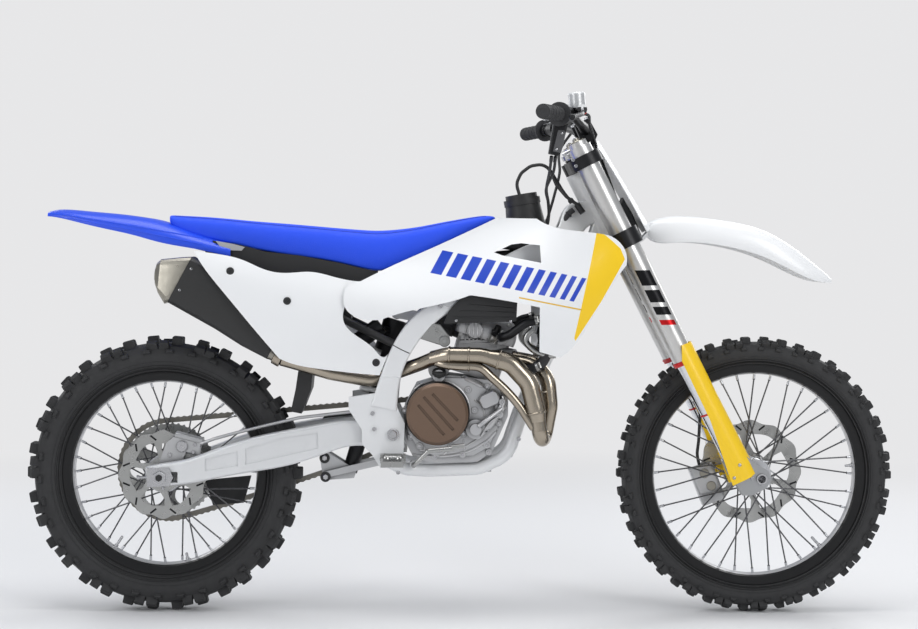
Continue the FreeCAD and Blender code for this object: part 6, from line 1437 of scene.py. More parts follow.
@dataclass
class Silencer(Assembly):
    """The silencer's straight body with its hanger, and its faceted end cap.

    A section is given by its top ahead and up, its foot ahead and up, its width and its corners' radius.
    """

    side: float = -112.0
    shell: Run = (
        (83, 890, 22, 777, 84, 20), (196, 829, 137, 713, 84, 20),
        (251, 762, 203, 671, 74, 18), (281, 673, 263, 639, 44, 15),
    )
    cap: Run = (
        (82, 889.7, 21.5, 776.6, 84.4, 20), (58, 888.5, 13, 774, 83, 19),
        (5, 883, -3, 800, 64, 14), (-6, 873, -11, 822, 48, 10),
    )
    hanger: Run = ((180, 838), (208, 876), (222, 874), (214, 806))
    inlet: Run = ((0, 18.5), (12, 18.5), (16, 17), (34, 16.5))
    bore: Run = ((-2, 16.8), (1.6, 16.8), (1.6, 2))

    def build(self) -> None:
        """Build the body and its cap in place of their nodes, then the outlet."""
        shell = self.detail("silencer_shell", "silencer_black", SILENCER_BLACK)
        self._sleeve(shell, self.shell)
        shell.plate(spots(self.hanger), low=-104, high=-96)
        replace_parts(shell.put(self.finishes, smooth=30.0), "silencer")
        cap = self.detail("silencer_cap_shell", "cap_titanium", CAP_METAL)
        self._sleeve(cap, self.cap)
        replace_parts(cap.put(self.finishes, smooth=14.0), "silencer_cap")
        self._mouth()

    def _sleeve(self, piece: Detail, rows: Run) -> None:
        """Add a form through rounded sections.

        Args:
            piece: The set of pieces that it goes into.
            rows: Its sections, from the rear forward or the other way.
        """
        rings = []
        for top_x, top_z, low_x, low_z, wide, corner in rows:
            top, low = spot(top_x, top_z, self.side), spot(low_x, low_z, self.side)
            rise = (top - low).normalized()
            section = rounded_section((top + low) / 2.0, rise, wide, (top - low).length / MM, corner)
            rings.append([piece.mesh.verts.new(place) for place in section])
        bridge_rings(piece.mesh, rings)

    def _mouth(self) -> None:
        """Build the outlet in the cap's rear face and the sleeve at the inlet."""
        metal = self.detail("silencer_mouth", "cap_titanium", CAP_METAL)
        dark = self.detail("silencer_bore", "silencer_black", SILENCER_BLACK)
        centre = spot(-9, 848, self.side)
        metal.band(centre, Vector((1.0, 0.0, -0.1)), inner=16.5, outer=19.5, wide=5.0)
        metal.turned(spot(264, 660, self.side), Vector((28.0, -5.5, -17.0)), self.inlet)
        dark.turned(centre + Vector((2.0 * MM, 0.0, 0.0)), Vector((-1.0, 0.0, 0.1)), self.bore)
        self.put(metal, dark)


@dataclass
class NumberPlate(Assembly):
    """The bare number plate, curved across and straight down."""

    body: str = "steering"
    top: Vector = field(default_factory=lambda: spot(1086, 1187))
    foot: Vector = field(default_factory=lambda: spot(1219, 966))
    halves: Place = (58, 82, 94, 97, 96, 88, 72, 52)
    columns: int = 12
    sag: float = 15.0
    thick: float = 2.4

    def build(self) -> None:
        """Build the plate in place of its node."""
        sheet = self.detail("plate_sheet", "plastic_white", WHITE)
        run = (self.foot - self.top).normalized()
        ahead = SIDEWAYS.cross(run)
        if ahead.x < 0.0:
            ahead = -ahead
        shares = [2.0 * step / self.columns - 1.0 for step in range(self.columns + 1)]
        rings = []
        for number, half in enumerate(self.halves):
            middle = self.top.lerp(self.foot, number / (len(self.halves) - 1))
            front = [middle + SIDEWAYS * (half * share * MM) - ahead * (self.sag * share * share * MM)
                     for share in shares]
            back = [place - ahead * (self.thick * MM) for place in reversed(front)]
            rings.append([sheet.mesh.verts.new(place) for place in front + back])
        bridge_rings(sheet.mesh, rings)
        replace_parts(sheet.put(self.finishes, smooth=40.0), "number_plate")


@dataclass
class Fork(Assembly):
    """The fork's rings, caps, bolts and the plate's bracket."""

    body: str = "steering"
    leg_off: float = 22.0
    rings: Run = ((203, 23.6, 25.4, 5), (346, 29, 31, 4))
    cap_up: float = 946.0
    cap: Run = ((0, 19), (3, 19), (5, 17), (5, 9), (10, 8.4), (11, 7))
    flank_bolts: tuple[tuple[str, Run, float, Head], ...] = (
        ("upper_clamp", ((1013, 1131), (1020, 1116.5)), 4.6, Head.SOCKET),
        ("lower_clamp", ((1113, 914), (1105, 930)), 4.6, Head.SOCKET),
        ("fork_legs", ((1452, 372), (1462, 350)), 4.6, Head.SOCKET),
        ("fork_guards", ((1415, 352), (1428, 384), (1322, 668)), 4.6, Head.BUTTON),
        ("front_axle", ((1485, 348),), 11, Head.HEXAGON),
        ("front_caliper", ((1420, 372), (1438, 330), (1408, 348)), 4.2, Head.HEXAGON),
    )
    caliper_bosses: Run = ((1366, 344), (1384, 312))
    bar_bolts: Place = (45, 75)
    bracket: Run = ((1146, 1044), (1154, 1030), (1172, 1000), (1194, 948), (1190, 938), (1172, 930),
                    (1158, 946), (1146, 984), (1138, 1020))

    def build(self) -> None:
        """Dress the front end."""
        steel = self.detail("fork_bolts", "axle_steel", BOLT_STEEL)
        caps = self.detail("fork_caps", "cap_titanium", CAP_METAL)
        rings = self.detail("fork_rings", "seal_red", RED)
        for side in SIDES:
            spread = side * LEG_SPREAD / MM
            for up, inner, outer, wide in self.rings:
                rings.band(on_fork(up, self.leg_off, spread), UP_FORK, inner, outer, wide)
            caps.turned(on_fork(self.cap_up, self.leg_off, spread), UP_FORK, self.cap, segments=28)
            steel.bolt(on_fork(self.cap_up + 11.0, self.leg_off, spread), UP_FORK, radius=5.0)
            for node, places, radius, head in self.flank_bolts:
                steel.bolts((node,), places, radius, head, side)
            for off in self.bar_bolts:
                steel.bolt(on_fork(990, off, side * 46.5), UP_FORK, radius=4.8, head=Head.SOCKET)
        steel.bolt(on_fork(930, 0), UP_FORK, radius=15.0)
        caps.washers(("front_caliper",), self.caliper_bosses, radius=12.0, thick=2.4)
        bracket = self.detail("plate_bracket", "plastic_black", BLACK_PLASTIC)
        bracket.plate(spots(self.bracket), low=-38, high=38, inset=4.0)
        self.put(steel, caps, rings, bracket)


@dataclass
class Cockpit(Assembly):
    """The grips, the controls' small parts and the vent hose."""

    body: str = "steering"
    bar_end: Place = (923.2, 1229.3, 400)
    bar_run: Place = (0.3642, 0.0199, -0.9313)
    ribs: int = 20
    rib_pitch: float = 5.4
    grip_end: Run = ((-2, 15.6), (0.5, 15.6), (1.6, 14), (1.6, 7), (0.6, 6.4))
    master: float = 183.0
    control_bolts: Run = ((176, 18, 12), (190, 18, 12), (134, -6, 26.5), (152, -6, 26.5))
    lever_pin: Run = ((0, 4.6), (20, 4.6), (21, 3.4))
    pots: Run = ((-1, 50, 20), (1, 34, 15))
    adjuster: Run = ((-10, 5.4), (-1, 5.4), (0, 4.6), (0, 2))
    lid: Run = ((954, 1144), (974, 1140), (985, 1188), (980, 1195), (966, 1196))
    lid_bolts: Run = ((962, 1149), (975, 1187))
    vent: Run = ((892, 1044), (888, 1052), (881, 1073), (891, 1102), (914, 1121), (941, 1126), (963, 1115),
                 (980, 1090), (1000, 1058), (1020, 1034))
    vent_end: Run = ((0, 5), (4, 7.5), (22, 7.5), (24, 5.5))
    stem_hose: Run = ((1022, 1012, -34), (1012, 1004, -36), (1000, 988, -40), (986, 966, -44))

    def build(self) -> None:
        """Dress the handlebar."""
        for side, pot_up, pot_radius in self.pots:
            self._grip(side)
            self._controls(side, pot_up, pot_radius)
        self._vent()

    def _along(self, length: float, side: float, ahead: float = 0.0, up: float = 0.0,
               inward: float = 0.0) -> Vector:
        """Give the place at mm inward from the bar's end, then ahead of it, above it and to the middle."""
        x, z, y = (end + step * length for end, step in zip(self.bar_end, self.bar_run))
        return spot(x + ahead, z + up, side * (y - inward))

    def _grip(self, side: float) -> None:
        """Put the ribs and the end on one grip.

        Args:
            side: The half of the bar.
        """
        run = Vector((self.bar_run[0], side * self.bar_run[2], self.bar_run[1]))
        grip = self.detail(SIDE_TAGS[side] + "_grip_ribs", "grip_rubber", GRIP)
        for number in range(self.ribs):
            grip.band(self._along(8.0 + number * self.rib_pitch, side), run, inner=16.2,
                      outer=17.5 if number % 4 else 18.2, wide=3.0)
        grip.band(self._along(1.0, side), run, inner=12.0, outer=17.8, wide=7.0)
        grip.turned(self._along(-3.0, side), -run, self.grip_end)
        self.put(grip)

    def _controls(self, side: float, pot_up: float, pot_radius: float) -> None:
        """Build the lever's pin and adjuster, the clamp's bolts and the fluid pot's lid.

        Args:
            side: The half of the bar.
            pot_up: How far the lid stands above the bar in mm.
            pot_radius: The lid's radius in mm.
        """
        steel = self.detail(SIDE_TAGS[side] + "_control_bolts", "axle_steel", BOLT_STEEL)
        pin, pot, adjuster = (self._along(self.master, side, ahead, up, inward) for ahead, up, inward in (
            (34.0, -4.0, -40.0), (23.0, pot_up, 2.0), (40.0, 6.0, -34.0)))
        steel.turned(pin, UP, self.lever_pin, 14)
        for length, ahead, up in self.control_bolts:
            steel.bolt(self._along(length, side, ahead, up), Vector((0.3, 0.0, 1.0)), radius=3.2,
                       head=Head.SOCKET)
        if side < 0.0:
            self._throttle_lid(steel)
        silver = self.detail(SIDE_TAGS[side] + "_pot_lid", "hub_silver", ARM_SILVER)
        silver.turned(pot, Vector((-0.08, 0.0, 1.0)), (
            (-2, pot_radius + 1.0), (3, pot_radius + 1.0), (5, pot_radius - 1.5), (5, 3)), 28)
        knob = self.detail(SIDE_TAGS[side] + "_adjuster", "seal_red", RED)
        knob.turned(adjuster, Vector((0.2, side, 0.0)), self.adjuster, 18)
        self.put(steel, silver, knob)

    def _throttle_lid(self, steel: Detail) -> None:
        """Build the lighter lid of the throttle's cable housing.

        Args:
            steel: The set of pieces that its bolts go into.
        """
        face = self.skin.side_of(("right_controls",), 968, 1166, side=-1.0, otherwise=-261.0)
        lid = self.detail("throttle_lid", "control_black", LID_GREY)
        lid.plate(spots(self.lid), low=face - 3.0, high=face + 2.0, inset=2.0)
        for ahead, up in self.lid_bolts:
            steel.bolt(spot(ahead, up, face - 3.0), -SIDEWAYS, radius=3.4, head=Head.BUTTON)
        self.put(lid)

    def _vent(self) -> None:
        """Build the tank's vent hose with its end, and the hose beside the steering head."""
        vent = self.detail("vent_hose", "grip_rubber", GRIP, body="chassis")
        vent.tube(spots(self.vent), radius=3.2, steps=8, segments=10)
        vent.turned(spot(1014, 1041), Vector((0.62, 0.0, -0.78)), self.vent_end)
        vent.tube(spots(self.stem_hose), radius=7.0)
        vent.band(spot(1010, 1001, -36.6), Vector((0.7, 0.0, 0.8)), inner=6.0, outer=9.0, wide=5.0)
        self.put(vent)


@dataclass
class Cables(Assembly):
    """The two throttle cables and the clutch line."""

    radius: float = 3.6
    still: float = 985.0
    turning: float = 1062.0
    apart_above: float = 1090.0
    sleeve: tuple[tuple[float, float], ...] = ((0, 0.0044), (0.014, 0.0044), (0.016, 0.0038))
    throttle: Run = (
        (952, 1133, -261), (949, 1098, -237), (947, 1060, -150), (955, 1030, -96), (959, 1000, -62),
        (956, 976, -50),
    )
    clutch: Run = (
        (1016, 1241, 219), (1014, 1240, 206), (1043, 1238, 173), (998, 1170, 130), (995, 1110, 92),
        (980, 1050, 70), (965, 1000, 56), (957, 976, 50),
    )

    def build(self) -> None:
        """Build the three runs in place of the cables' node."""
        for name, places, aside in (("throttle_cable_pull", self.throttle, 0.0),
                                    ("throttle_cable_return", self.throttle, 10.0),
                                    ("clutch_line", self.clutch, 0.0)):
            self._run(name, [spot(ahead + (aside if up > self.apart_above else 0.0), up, side + aside)
                             for ahead, up, side in places])

    def _run(self, name: str, line: Sequence[Vector]) -> None:
        """Build one run with its end sleeves, between the frame and the bar.

        Args:
            name: The piece's name.
            line: The places it passes, from the bar to the tank.
        """
        mesh = bmesh.new()
        add_tube(mesh, smooth_path(line, 14), self.radius * MM, 12)
        for end, next_one in ((line[0], line[1]), (line[-1], line[-2])):
            add_lathe(mesh, end, (next_one - end).normalized(), self.sleeve, 14)
        piece = object_from(name, mesh, 40.0)
        piece.data.materials.append(self.finishes.of(GRIP))
        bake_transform(piece)
        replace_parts(piece, "control_cables")
        LOG.info("piece %s between chassis and steering", name)


@dataclass
class Bodywork(Assembly):
    """The panels' bolts, the rear fender's creases, the airbox's flanks and the seat's seams."""

    panel_bolts: Run = ((177, 855), (316, 783), (532, 632))
    creases: tuple[tuple[Run, float], ...] = (
        (((-246, 992), (-130, 974), (-6, 954), (128, 930)), 2.2),
        (((-230, 984), (-130, 965), (-6, 942), (100, 920)), 1.6),
    )
    flank: Run = (
        (126, 930), (192, 920), (256, 903), (342, 894), (441, 876), (500, 862), (530, 856), (530, 832),
        (500, 828), (441, 834), (394, 842), (346, 845), (304, 843), (253, 852), (210, 872), (160, 890),
        (133, 902),
    )
    flank_tip: Run = ((134, 929), (176, 922), (206, 914), (198, 905), (168, 906), (146, 914))
    seam_share: float = 0.84
    seams: Run = ((1, 1.3), (0.93, 0.5))

    def build(self, cushion: Solid) -> None:
        """Dress the panels and the seat.

        Args:
            cushion: The seat, which its seams lie on.
        """
        for side in SIDES:
            tag = SIDE_TAGS[side]
            rubber = self.detail(tag + "_panel_grommets", "plastic_black", BLACK_PLASTIC)
            rubber.washers((tag + "_side_panel",), self.panel_bolts, radius=9.5, thick=1.8, side=side)
            bolts = self.detail(tag + "_panel_bolts", "axle_steel", BLACK_METAL)
            bolts.bolts((tag + "_side_panel",), self.panel_bolts, radius=4.6, head=Head.BUTTON, side=side)
            edge = self.detail(tag + "_fender_crease", "plastic_blue", BLUE)
            for run, radius in self.creases:
                edge.bead(("rear_fender",), run, radius, side)
            self.put(rubber, bolts, edge)
        self._seams(cushion)
        self._flanks()

    def _flanks(self) -> None:
        """Build the airbox's dark flanks between the seat and the side panels, with their grey tips."""
        dark = self.detail("airbox_flanks", "plastic_black", BLACK_PLASTIC)
        grey = self.detail("flank_tips", "subframe_black", CASE_GREY)
        for side in SIDES:
            for piece, outline, near, far in (
                (dark, self.flank, 86.0, 92.0), (grey, self.flank_tip, 90.0, 96.0),
            ):
                rings = [[piece.mesh.verts.new((place.x, level * MM, place.z)) for place in spots(outline)]
                         for level in sorted((side * near, side * far))]
                bridge_rings(piece.mesh, rings)
        self.put(dark, grey)

    def _seams(self, cushion: Solid) -> None:
        """Lay the welts where the seat's top meets its sides.

        Args:
            cushion: The seat.
        """
        skin = Skin({"cushion": cushion})
        seam = Detail("seat_welts", self.body, "seat_blue", SEAT_WELT, skin)
        stations = [(ahead, half * self.seam_share) for ahead, _, _, half in Cushion().stations[1:-1]]
        for side in SIDES:
            for share, radius in self.seams:
                line = []
                plan = [Vector((ahead, side * half * share, 0.0)) for ahead, half in stations]
                for place in smooth_path(plan, 6):
                    found = skin.hit(("cushion",), spot(place.x, 1300, place.y), -UP)
                    if found is not None:
                        line.append(found[0] - found[1] * (radius * 0.3 * MM))
                if len(line) > 2:
                    add_tube(seam.mesh, line, radius * MM, 8)
        seam.put(self.finishes, smooth=70.0)


@dataclass
class Disc(Assembly):
    """A waved brake disc on six arms, with slots, as large as the node that it stands for."""

    tag: str = "rear"
    axle: Vector = field(default_factory=REAR_AXLE.copy)
    wave: float = 3.4
    band: float = 31.0
    band_wave: float = 3.0
    hub_ring: tuple[float, float] = (31, 43)
    hub_thinner: float = 0.2
    windows: int = 6
    lobes: int = 12
    steps_of_lobe: int = 14
    arm_lean: float = 0.16
    arm_halves: tuple[float, float, float] = (0.26, 0.10, 0.13)
    arm_thinner: float = 0.35
    slot_inward: float = 17.0
    slot_half: tuple[float, float] = (9.5, 2.3)
    slot_out: float = 0.25

    def build(self) -> None:
        """Build the ring, its arms and its slots in place of the node."""
        places = [vertex.co for vertex in self.skin.solids[self.tag + "_disc"].data.vertices]
        low, high = min(place.y for place in places) / MM, max(place.y for place in places) / MM
        rim = max(math.hypot(place.x - self.axle.x, place.z - self.axle.z) for place in places) / MM
        steel = self.detail(self.tag + "_disc_waved", "disc_steel", STEEL, body=self.tag + "_wheel")
        self._waved(steel.mesh, low * MM, high * MM, rim)
        self._arms(steel, low, high, rim)
        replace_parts(steel.put(self.finishes), self.tag + "_disc")
        slots = self.detail(self.tag + "_disc_slots", "rim_black", BLACK_METAL, body=self.tag + "_wheel")
        long, wide = self.slot_half
        for number, turn in enumerate(turns(self.lobes, start=0.5)):
            middle, out = self._at(turn, rim - self.slot_inward), outward_at(turn)
            aside = Vector((-out.z, 0.0, out.x))
            run = (out * 0.8 + aside * (0.6 if number % 2 else -0.6)) * (long * MM)
            width = Vector((-run.z, 0.0, run.x)).normalized() * (wide * MM)
            outline = [middle - run - width, middle + run - width, middle + run + width, middle - run + width]
            slots.plate(outline, low - self.slot_out, high + self.slot_out, inset=0.1)
        self.put(slots)

    def _at(self, turn: float, reach: float, side: float = 0.0) -> Vector:
        """Give a place of the disc by its turn, its reach in mm and its side in metres."""
        return self.axle + outward_at(turn) * (reach * MM) + SIDEWAYS * side

    def _waved(self, mesh: Mesh, low: float, high: float, rim: float) -> None:
        """Add the waved outer ring.

        Args:
            mesh: The mesh that it goes into.
            low: One side in metres.
            high: The other side in metres.
            rim: The reach of its lobes in mm.
        """
        sections = []
        soft = 0.4
        for turn in turns(self.lobes * self.steps_of_lobe):
            out = rim - self.wave + self.wave * math.cos(self.lobes * turn)
            within = rim - self.band + self.band_wave * math.cos(self.windows * turn)
            sections.append([mesh.verts.new(self._at(turn, reach, side)) for reach, side in (
                (within, low), (out - soft, low), (out, low + soft * MM), (out, high - soft * MM),
                (out - soft, high), (within, high))])
        bridge_rings(mesh, sections, closed=True)

    def _arms(self, steel: Detail, low: float, high: float, rim: float) -> None:
        """Add the hub's ring and the arms between it and the waved ring.

        Args:
            steel: The set of pieces that they go into.
            low: One side in mm.
            high: The other side in mm.
            rim: The reach of the lobes in mm.
        """
        near, far = self.hub_ring
        half = (high - low) / 2.0 - self.hub_thinner
        centre = self.axle + SIDEWAYS * ((low + high) / 2.0 * MM - self.axle.y)
        add_ring(steel.mesh, centre, SIDEWAYS, [(side * MM, reach * MM) for side, reach in (
            (-half, near), (-half, far), (half, far), (half, near))])
        wide, slim, end = self.arm_halves
        foot, waist, tip = far - 3.0, (far + rim - self.band) / 2.0, rim - self.band + 5.0
        for turn in turns(self.windows, start=0.5):
            lean = turn + self.arm_lean
            outline = [self._at(angle, reach) for angle, reach in (
                (turn - wide, foot), (turn + wide, foot), (lean + slim, waist), (lean + end, tip),
                (lean - end, tip), (lean - slim, waist))]
            steel.plate(outline, low + self.arm_thinner, high - self.arm_thinner, inset=0.2)


@dataclass
class WheelTrim(Assembly):
    """A wheel's valve, rim lock and disc bolts, and the rear wheel's sprocket bolts."""

    tag: str = "rear"
    axle: Vector = field(default_factory=REAR_AXLE.copy)
    rim_reach: float = 229.0
    valve_turns: tuple[float, float] = (-124, -76)
    valve_lengths: tuple[float, float] = (34, 20)
    valve_foot: Run = ((0, 8), (4, 8), (5, 5), (9, 5), (9, 3.4))
    disc_side: float = -1.0
    disc_ring: float = 34.0
    sprocket_ring: float = 72.0
    bolt_count: int = 6

    def build(self) -> None:
        """Dress the wheel."""
        metal = self.detail(self.tag + "_valves", "hub_silver", BOLT_STEEL, body=self.tag + "_wheel")
        for degrees, long in zip(self.valve_turns, self.valve_lengths):
            out = outward_at(math.radians(degrees))
            metal.turned(self.axle + out * ((self.rim_reach + 2.0) * MM), -out,
                         (*self.valve_foot, (long, 3.4), (long + 1, 2.2)), 14)
        middle = ((self.axle.x - REAR_AXLE.x) / MM, (self.axle.z - GROUND) / MM)
        places = circle(middle, self.disc_ring, self.bolt_count, start=0.5)
        metal.bolts((self.tag + "_disc", self.tag + "_hub"), places, 4.4, Head.BUTTON, self.disc_side)
        if self.tag == "rear":
            places = circle(middle, self.sprocket_ring, self.bolt_count, start=0.5)
            metal.bolts(("rear_sprocket",), places, radius=5.0, side=1.0)
        self.put(metal)


@dataclass
class Running(Assembly):
    """The swingarm's and linkage's bolts, the frame's trim and the pegs' teeth."""

    arm: tuple[str, ...] = ("swingarm", "linkage")
    link_bolts: Run = ((401, 386), (404, 340), (515, 399))
    axle_nut: Run = ((0, 17.5), (6, 17.5), (7.5, 15.5), (7.5, 9.6), (2, 9.2))
    axle_end: Run = ((0, 8.6), (1.2, 8.6), (1.2, 2))
    adjuster: Run = ((0, 6.5), (6, 6.5), (6, 4), (34, 4))
    caliper_bolts: Run = ((62, 388), (20, 398))
    pad_bolts: Run = ((82, 424), (78, 404))
    frame_bolts: Run = ((524, 507), (528, 468), (587, 359), (690, 771), (886, 441))
    frame_seam: Run = ((572, 676), (592, 665), (614, 655))
    welds: tuple[Run, ...] = (
        ((540, 594), (566, 597), (594, 596)), ((690, 778), (712, 768), (730, 786)),
        ((560, 372), (572, 388), (596, 396)), ((868, 396), (878, 402), (894, 398)),
    )
    peg_middle: Place = (574.7, 480)
    teeth_ahead: Place = (-19, -12, 12, 19)
    teeth_start: float = 160.0
    teeth_pitch: float = 9.0
    tooth: Run = ((-1.5, 2.6), (3.5, 2.2), (5.5, 0.7))

    def build(self) -> None:
        """Dress the running gear."""
        self._arm()
        self._frame()
        for side in SIDES:
            self._peg(side)

    def _arm(self) -> None:
        """Set the axle nut, the adjusters, the linkage's bolts and the caliper's."""
        steel = self.detail("arm_bolts", "axle_steel", BOLT_STEEL)
        dark = self.detail("arm_seals", "plastic_black", BLACK_PLASTIC)
        for side in SIDES:
            steel.turned(spot(0, 346, side * 128), SIDEWAYS * side, self.axle_nut, 6)
            steel.turned(spot(-58, 343, side * 104), Vector((1.0, 0.0, 0.05)), self.adjuster, 6)
            steel.bolts(self.arm, self.link_bolts, radius=7.0, side=side)
            steel.bolts(("frame", "swingarm"), ((574.6, 455),), radius=11.0, side=side)
            dark.washers(self.arm, self.link_bolts, radius=13.0, thick=2.0, side=side)
            dark.turned(spot(0, 346, side * 135), SIDEWAYS * side, self.axle_end, 6)
        steel.bolts(("rear_caliper",), self.caliper_bolts, radius=4.6)
        steel.washers(("rear_caliper",), ((50, 419),), radius=14.0, thick=7.0)
        steel.bolts(("rear_caliper",), self.pad_bolts, radius=4.0, head=Head.SOCKET)
        self.put(steel, dark)

    def _frame(self) -> None:
        """Set the frame's bolts, its seam and its weld beads."""
        steel = self.detail("frame_bolts", "axle_steel", BOLT_STEEL)
        dark = self.detail("frame_seams", "plastic_black", BLACK_PLASTIC)
        welds = self.detail("frame_welds", "frame_silver", FRAME_SILVER)
        for side in SIDES:
            steel.bolts(("frame",), self.frame_bolts, radius=5.4, head=Head.SOCKET, side=side)
            dark.bead(("frame",), self.frame_seam, radius=1.4, side=side)
            for run in self.welds:
                welds.bead(("frame",), run, radius=2.4, side=side)
        self.put(steel, dark, welds)

    def _peg(self, side: float) -> None:
        """Set the teeth on one footpeg.

        Args:
            side: -1 for the right flank, 1 for the left.
        """
        tag = SIDE_TAGS[side]
        teeth = self.detail(tag + "_peg_teeth", "lever_steel", STEEL, body=tag + "_peg")
        for ahead in self.teeth_ahead:
            for number in range(7):
                start = spot(self.peg_middle[0] + ahead, self.peg_middle[1],
                             side * (self.teeth_start + number * self.teeth_pitch))
                found = self.skin.hit((tag + "_footpeg",), start, -UP)
                if found is not None and found[1].z > 0.8:
                    teeth.turned(found[0], UP, self.tooth, 8)
        self.put(teeth)


@dataclass
class Bike:
    """The whole bike's CAD nodes and the finishes that they wear."""

    plain: ClassVar[tuple[tuple[Finish, str], ...]] = (
        (STEEL, "front_disc rear_disc rear_sprocket front_sprocket peg_mounts foot_levers"),
        (STEEL, "right_footpeg left_footpeg"), (BOLT_STEEL, "front_axle rear_axle"), (CHAIN_STEEL, "chain"),
        (CASE_GREY, "linkage front_caliper rear_caliper engine_cases cylinder_head"),
        (BLACK_METAL, "lower_clamp upper_clamp handlebar right_controls left_controls shock radiators"),
        (BLACK_PLASTIC, "front_brake_hose control_cables subframe fuel_tank fuel_cap airbox chain_guides"),
        (WHITE, "front_fender number_plate left_side_panel right_side_panel"), (BLUE, "rear_fender"),
        (YELLOW, "fork_guards"), (SEAT_BLUE, "seat"), (BRONZE, "clutch_cover"), (TITANIUM, "exhaust_header"),
        (SILENCER_BLACK, "silencer"), (CAP_METAL, "silencer_cap"), (FRAME_SILVER, "frame"),
        (ARM_SILVER, "swingarm"), (SPRING_WHITE, "shock_spring"), (CHROME, "fork_legs"),
        (TUBE_SILVER, "fork_tubes"), (RED, "fork_seals"), (RIM_BLACK, "front_rim rear_rim"),
        (RUBBER, "front_tyre rear_tyre"), (GRIP, "grips"),
    )
    nodes: dict[str, Solid]
    finishes: Finishes
    spoke_start: float = 0.047
    nipple_depth: float = 0.0125
    rim_edge: float = 0.0014
    wedge: Run = (
        (1068, 962), (1012, 697), (1016, 690), (1040, 722), (1076, 788), (1116, 852), (1129, 876),
        (1131, 888), (1121, 914), (1098, 936),
    )
    gold_line: Run = ((880, 796), (1030, 768), (1030, 764.5), (880, 792.5))
    bars: int = 12
    bar_start: tuple[float, float] = (664.0, 853.0)
    bar_slope: float = -0.194
    bar_wide: float = 27.0
    bar_narrower: float = 1.5
    bar_gap: float = 11.0
    bar_lean: tuple[float, float] = (30.0, 56.0)
    fork_bars: tuple[tuple[float, float, Colour], ...] = (
        (560, 602, linear(26, 26, 28)), (514, 548, linear(26, 26, 28)), (480, 502, linear(26, 26, 28)),
        (452, 466, linear(196, 28, 32)),
    )
    foot_up: float = 82.0

    def dress_all(self) -> None:
        """Dress every CAD node, the plain ones first."""
        for finish, nodes in self.plain:
            for node in nodes.split():
                self._dress(node, self.finishes.of(finish))
        for tag, axle, spoke_end, rim_inner in (("front", FRONT_AXLE, 0.253, 0.254),
                                                ("rear", REAR_AXLE, 0.229, 0.230)):
            self._hub(tag + "_hub", axle, spoke_end)
            self._rim(tag + "_rim", axle, rim_inner)
        self._fork()
        self._controls("right_controls", level=1250.0)
        self._controls("left_controls", level=1247.0)
        self._shroud("right_shroud")
        self._shroud("left_shroud")

    def _dress(self, node: str, material: Material) -> None:
        """Give a CAD node a material in all its slots.

        Args:
            node: The node's name.
            material: What it wears.
        """
        target = self.nodes[node]
        if not target.material_slots:
            target.data.materials.append(material)
        for slot in target.material_slots:
            slot.material = material

    def _hub(self, node: str, axle: Vector, spoke_end: float) -> None:
        """Give a laced hub dark spokes, silver nipples and a silver barrel, by distance from the axle.

        Args:
            node: The hub's node.
            axle: The wheel's middle.
            spoke_end: How far from the axle the nipples reach, in metres.
        """
        shader = Finish(node + "_laced", linear(196, 197, 200), 0.3, metal=0.9).shade()
        reach = shader.from_axis(axle)
        spokes = shader.math("MULTIPLY", shader.math("GREATER_THAN", reach, self.spoke_start),
                             shader.math("LESS_THAN", reach, spoke_end - self.nipple_depth))
        shader.paint(spokes, linear(98, 98, 100))
        self._dress(node, shader.material)

    def _rim(self, node: str, axle: Vector, inner: float) -> None:
        """Give a black rim its bright inner edge.

        Args:
            node: The rim's node.
            axle: The wheel's middle.
            inner: The rim's inner radius in metres.
        """
        shader = RIM_BLACK.shade()
        edge = shader.math("LESS_THAN", shader.from_axis(axle), inner + self.rim_edge)
        shader.paint(edge, linear(190, 190, 192))
        self._dress(node, shader.material)

    def _fork(self) -> None:
        """Give the fork tubes their slanted bars and the legs their cast feet."""
        shader = TUBE_SILVER.shade()
        for low, high, colour in self.fork_bars:
            corners = [on_fork(low, 8), on_fork(high, 8), on_fork(high - 16, 42), on_fork(low - 16, 42)]
            shader.paint(shader.inside(corners), colour)
        self._dress("fork_tubes", shader.material)
        shader = CHROME.shade()
        cast = shader.math("SUBTRACT", 1.0, shader.beyond(on_fork(self.foot_up, 22), UP_FORK))
        shader.paint(cast, linear(168, 169, 170))
        rough = shader.ramp(cast, 0.0, 1.0, to_low=0.09, to_high=0.42)
        shader.join(rough, shader.surface.inputs["Roughness"])
        self._dress("fork_legs", shader.material)

    def _controls(self, node: str, level: float) -> None:
        """Give the bar's controls a bright fluid pot.

        Args:
            node: The controls' node.
            level: Where the pot starts, in mm above the ground.
        """
        shader = BLACK_METAL.shade()
        shader.paint(shader.beyond(spot(0, level), UP), linear(196, 197, 198))
        self._dress(node, shader.material)

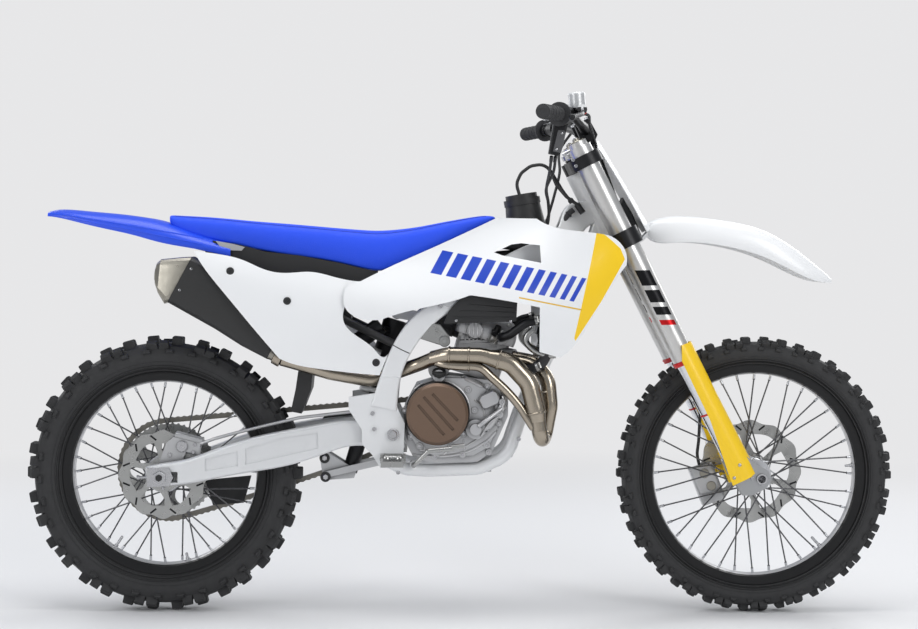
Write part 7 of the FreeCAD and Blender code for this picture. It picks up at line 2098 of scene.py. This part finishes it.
    def _shroud(self, node: str) -> None:
        """Give a shroud its yellow wedge, blue bars and thin gold line on white.

        Args:
            node: The shroud's node.
        """
        shader = WHITE.shade()
        shader.material.name = node + "_graphic"
        shader.paint(shader.inside(spots(self.wedge)), YELLOW.colour)
        left, base = self.bar_start
        lean, rise = self.bar_lean
        for number in range(self.bars):
            wide = self.bar_wide - number * self.bar_narrower
            low = base + (left - self.bar_start[0]) * self.bar_slope
            high = low + wide * self.bar_slope
            right = left + wide
            bar = ((left, low), (right, high), (right + lean, high + rise), (left + lean, low + rise))
            shader.paint(shader.inside(spots(bar)), linear(24, 66, 186))
            left = right + self.bar_gap
        shader.paint(shader.inside(spots(self.gold_line)), linear(222, 178, 30))
        self._dress(node, shader.material)


def add_tyres(rubber: Material) -> None:
    """Build both tyres.

    Args:
        rubber: What they are made of.
    """
    Tread("front_tyre", "front_wheel", FRONT_AXLE, radius=0.348, half_width=0.044, bead=0.2667, flange=0.279,
          rim_half=0.026, rows=46, knob=0.0135, seed=5).build(rubber)
    Tread("rear_tyre", "rear_wheel", REAR_AXLE, radius=0.346, half_width=0.052, bead=0.2413, flange=0.254,
          rim_half=0.031, rows=34, knob=0.0175, seed=9).build(rubber)


def main() -> None:
    """Load the frame, build the studio and dress the bike."""
    logging.basicConfig(level=logging.INFO, format="%(name)s: %(message)s")
    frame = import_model()
    Studio().build()
    finishes = Finishes()
    Bike(frame["nodes"], finishes).dress_all()
    add_tyres(finishes.of(RUBBER))
    cushion = Cushion().build(finishes.of(SEAT_BLUE))
    skin = Skin(frame["nodes"])
    for assembly in (Engine, Exhaust, Silencer, Fork, NumberPlate, Cockpit, Cables):
        assembly(skin, finishes).build()
    WheelTrim(skin, finishes, tag="front", axle=FRONT_AXLE, rim_reach=253.0, valve_turns=(-47.0, 5.0),
              disc_side=1.0, disc_ring=41.0).build()
    WheelTrim(skin, finishes).build()
    Running(skin, finishes).build()
    Disc(skin, finishes).build()
    Disc(skin, finishes, tag="front", axle=FRONT_AXLE, wave=3.6, band=34.0, hub_ring=(38.0, 50.0)).build()
    Bodywork(skin, finishes).build(cushion)


if __name__ == "__main__":
    main()
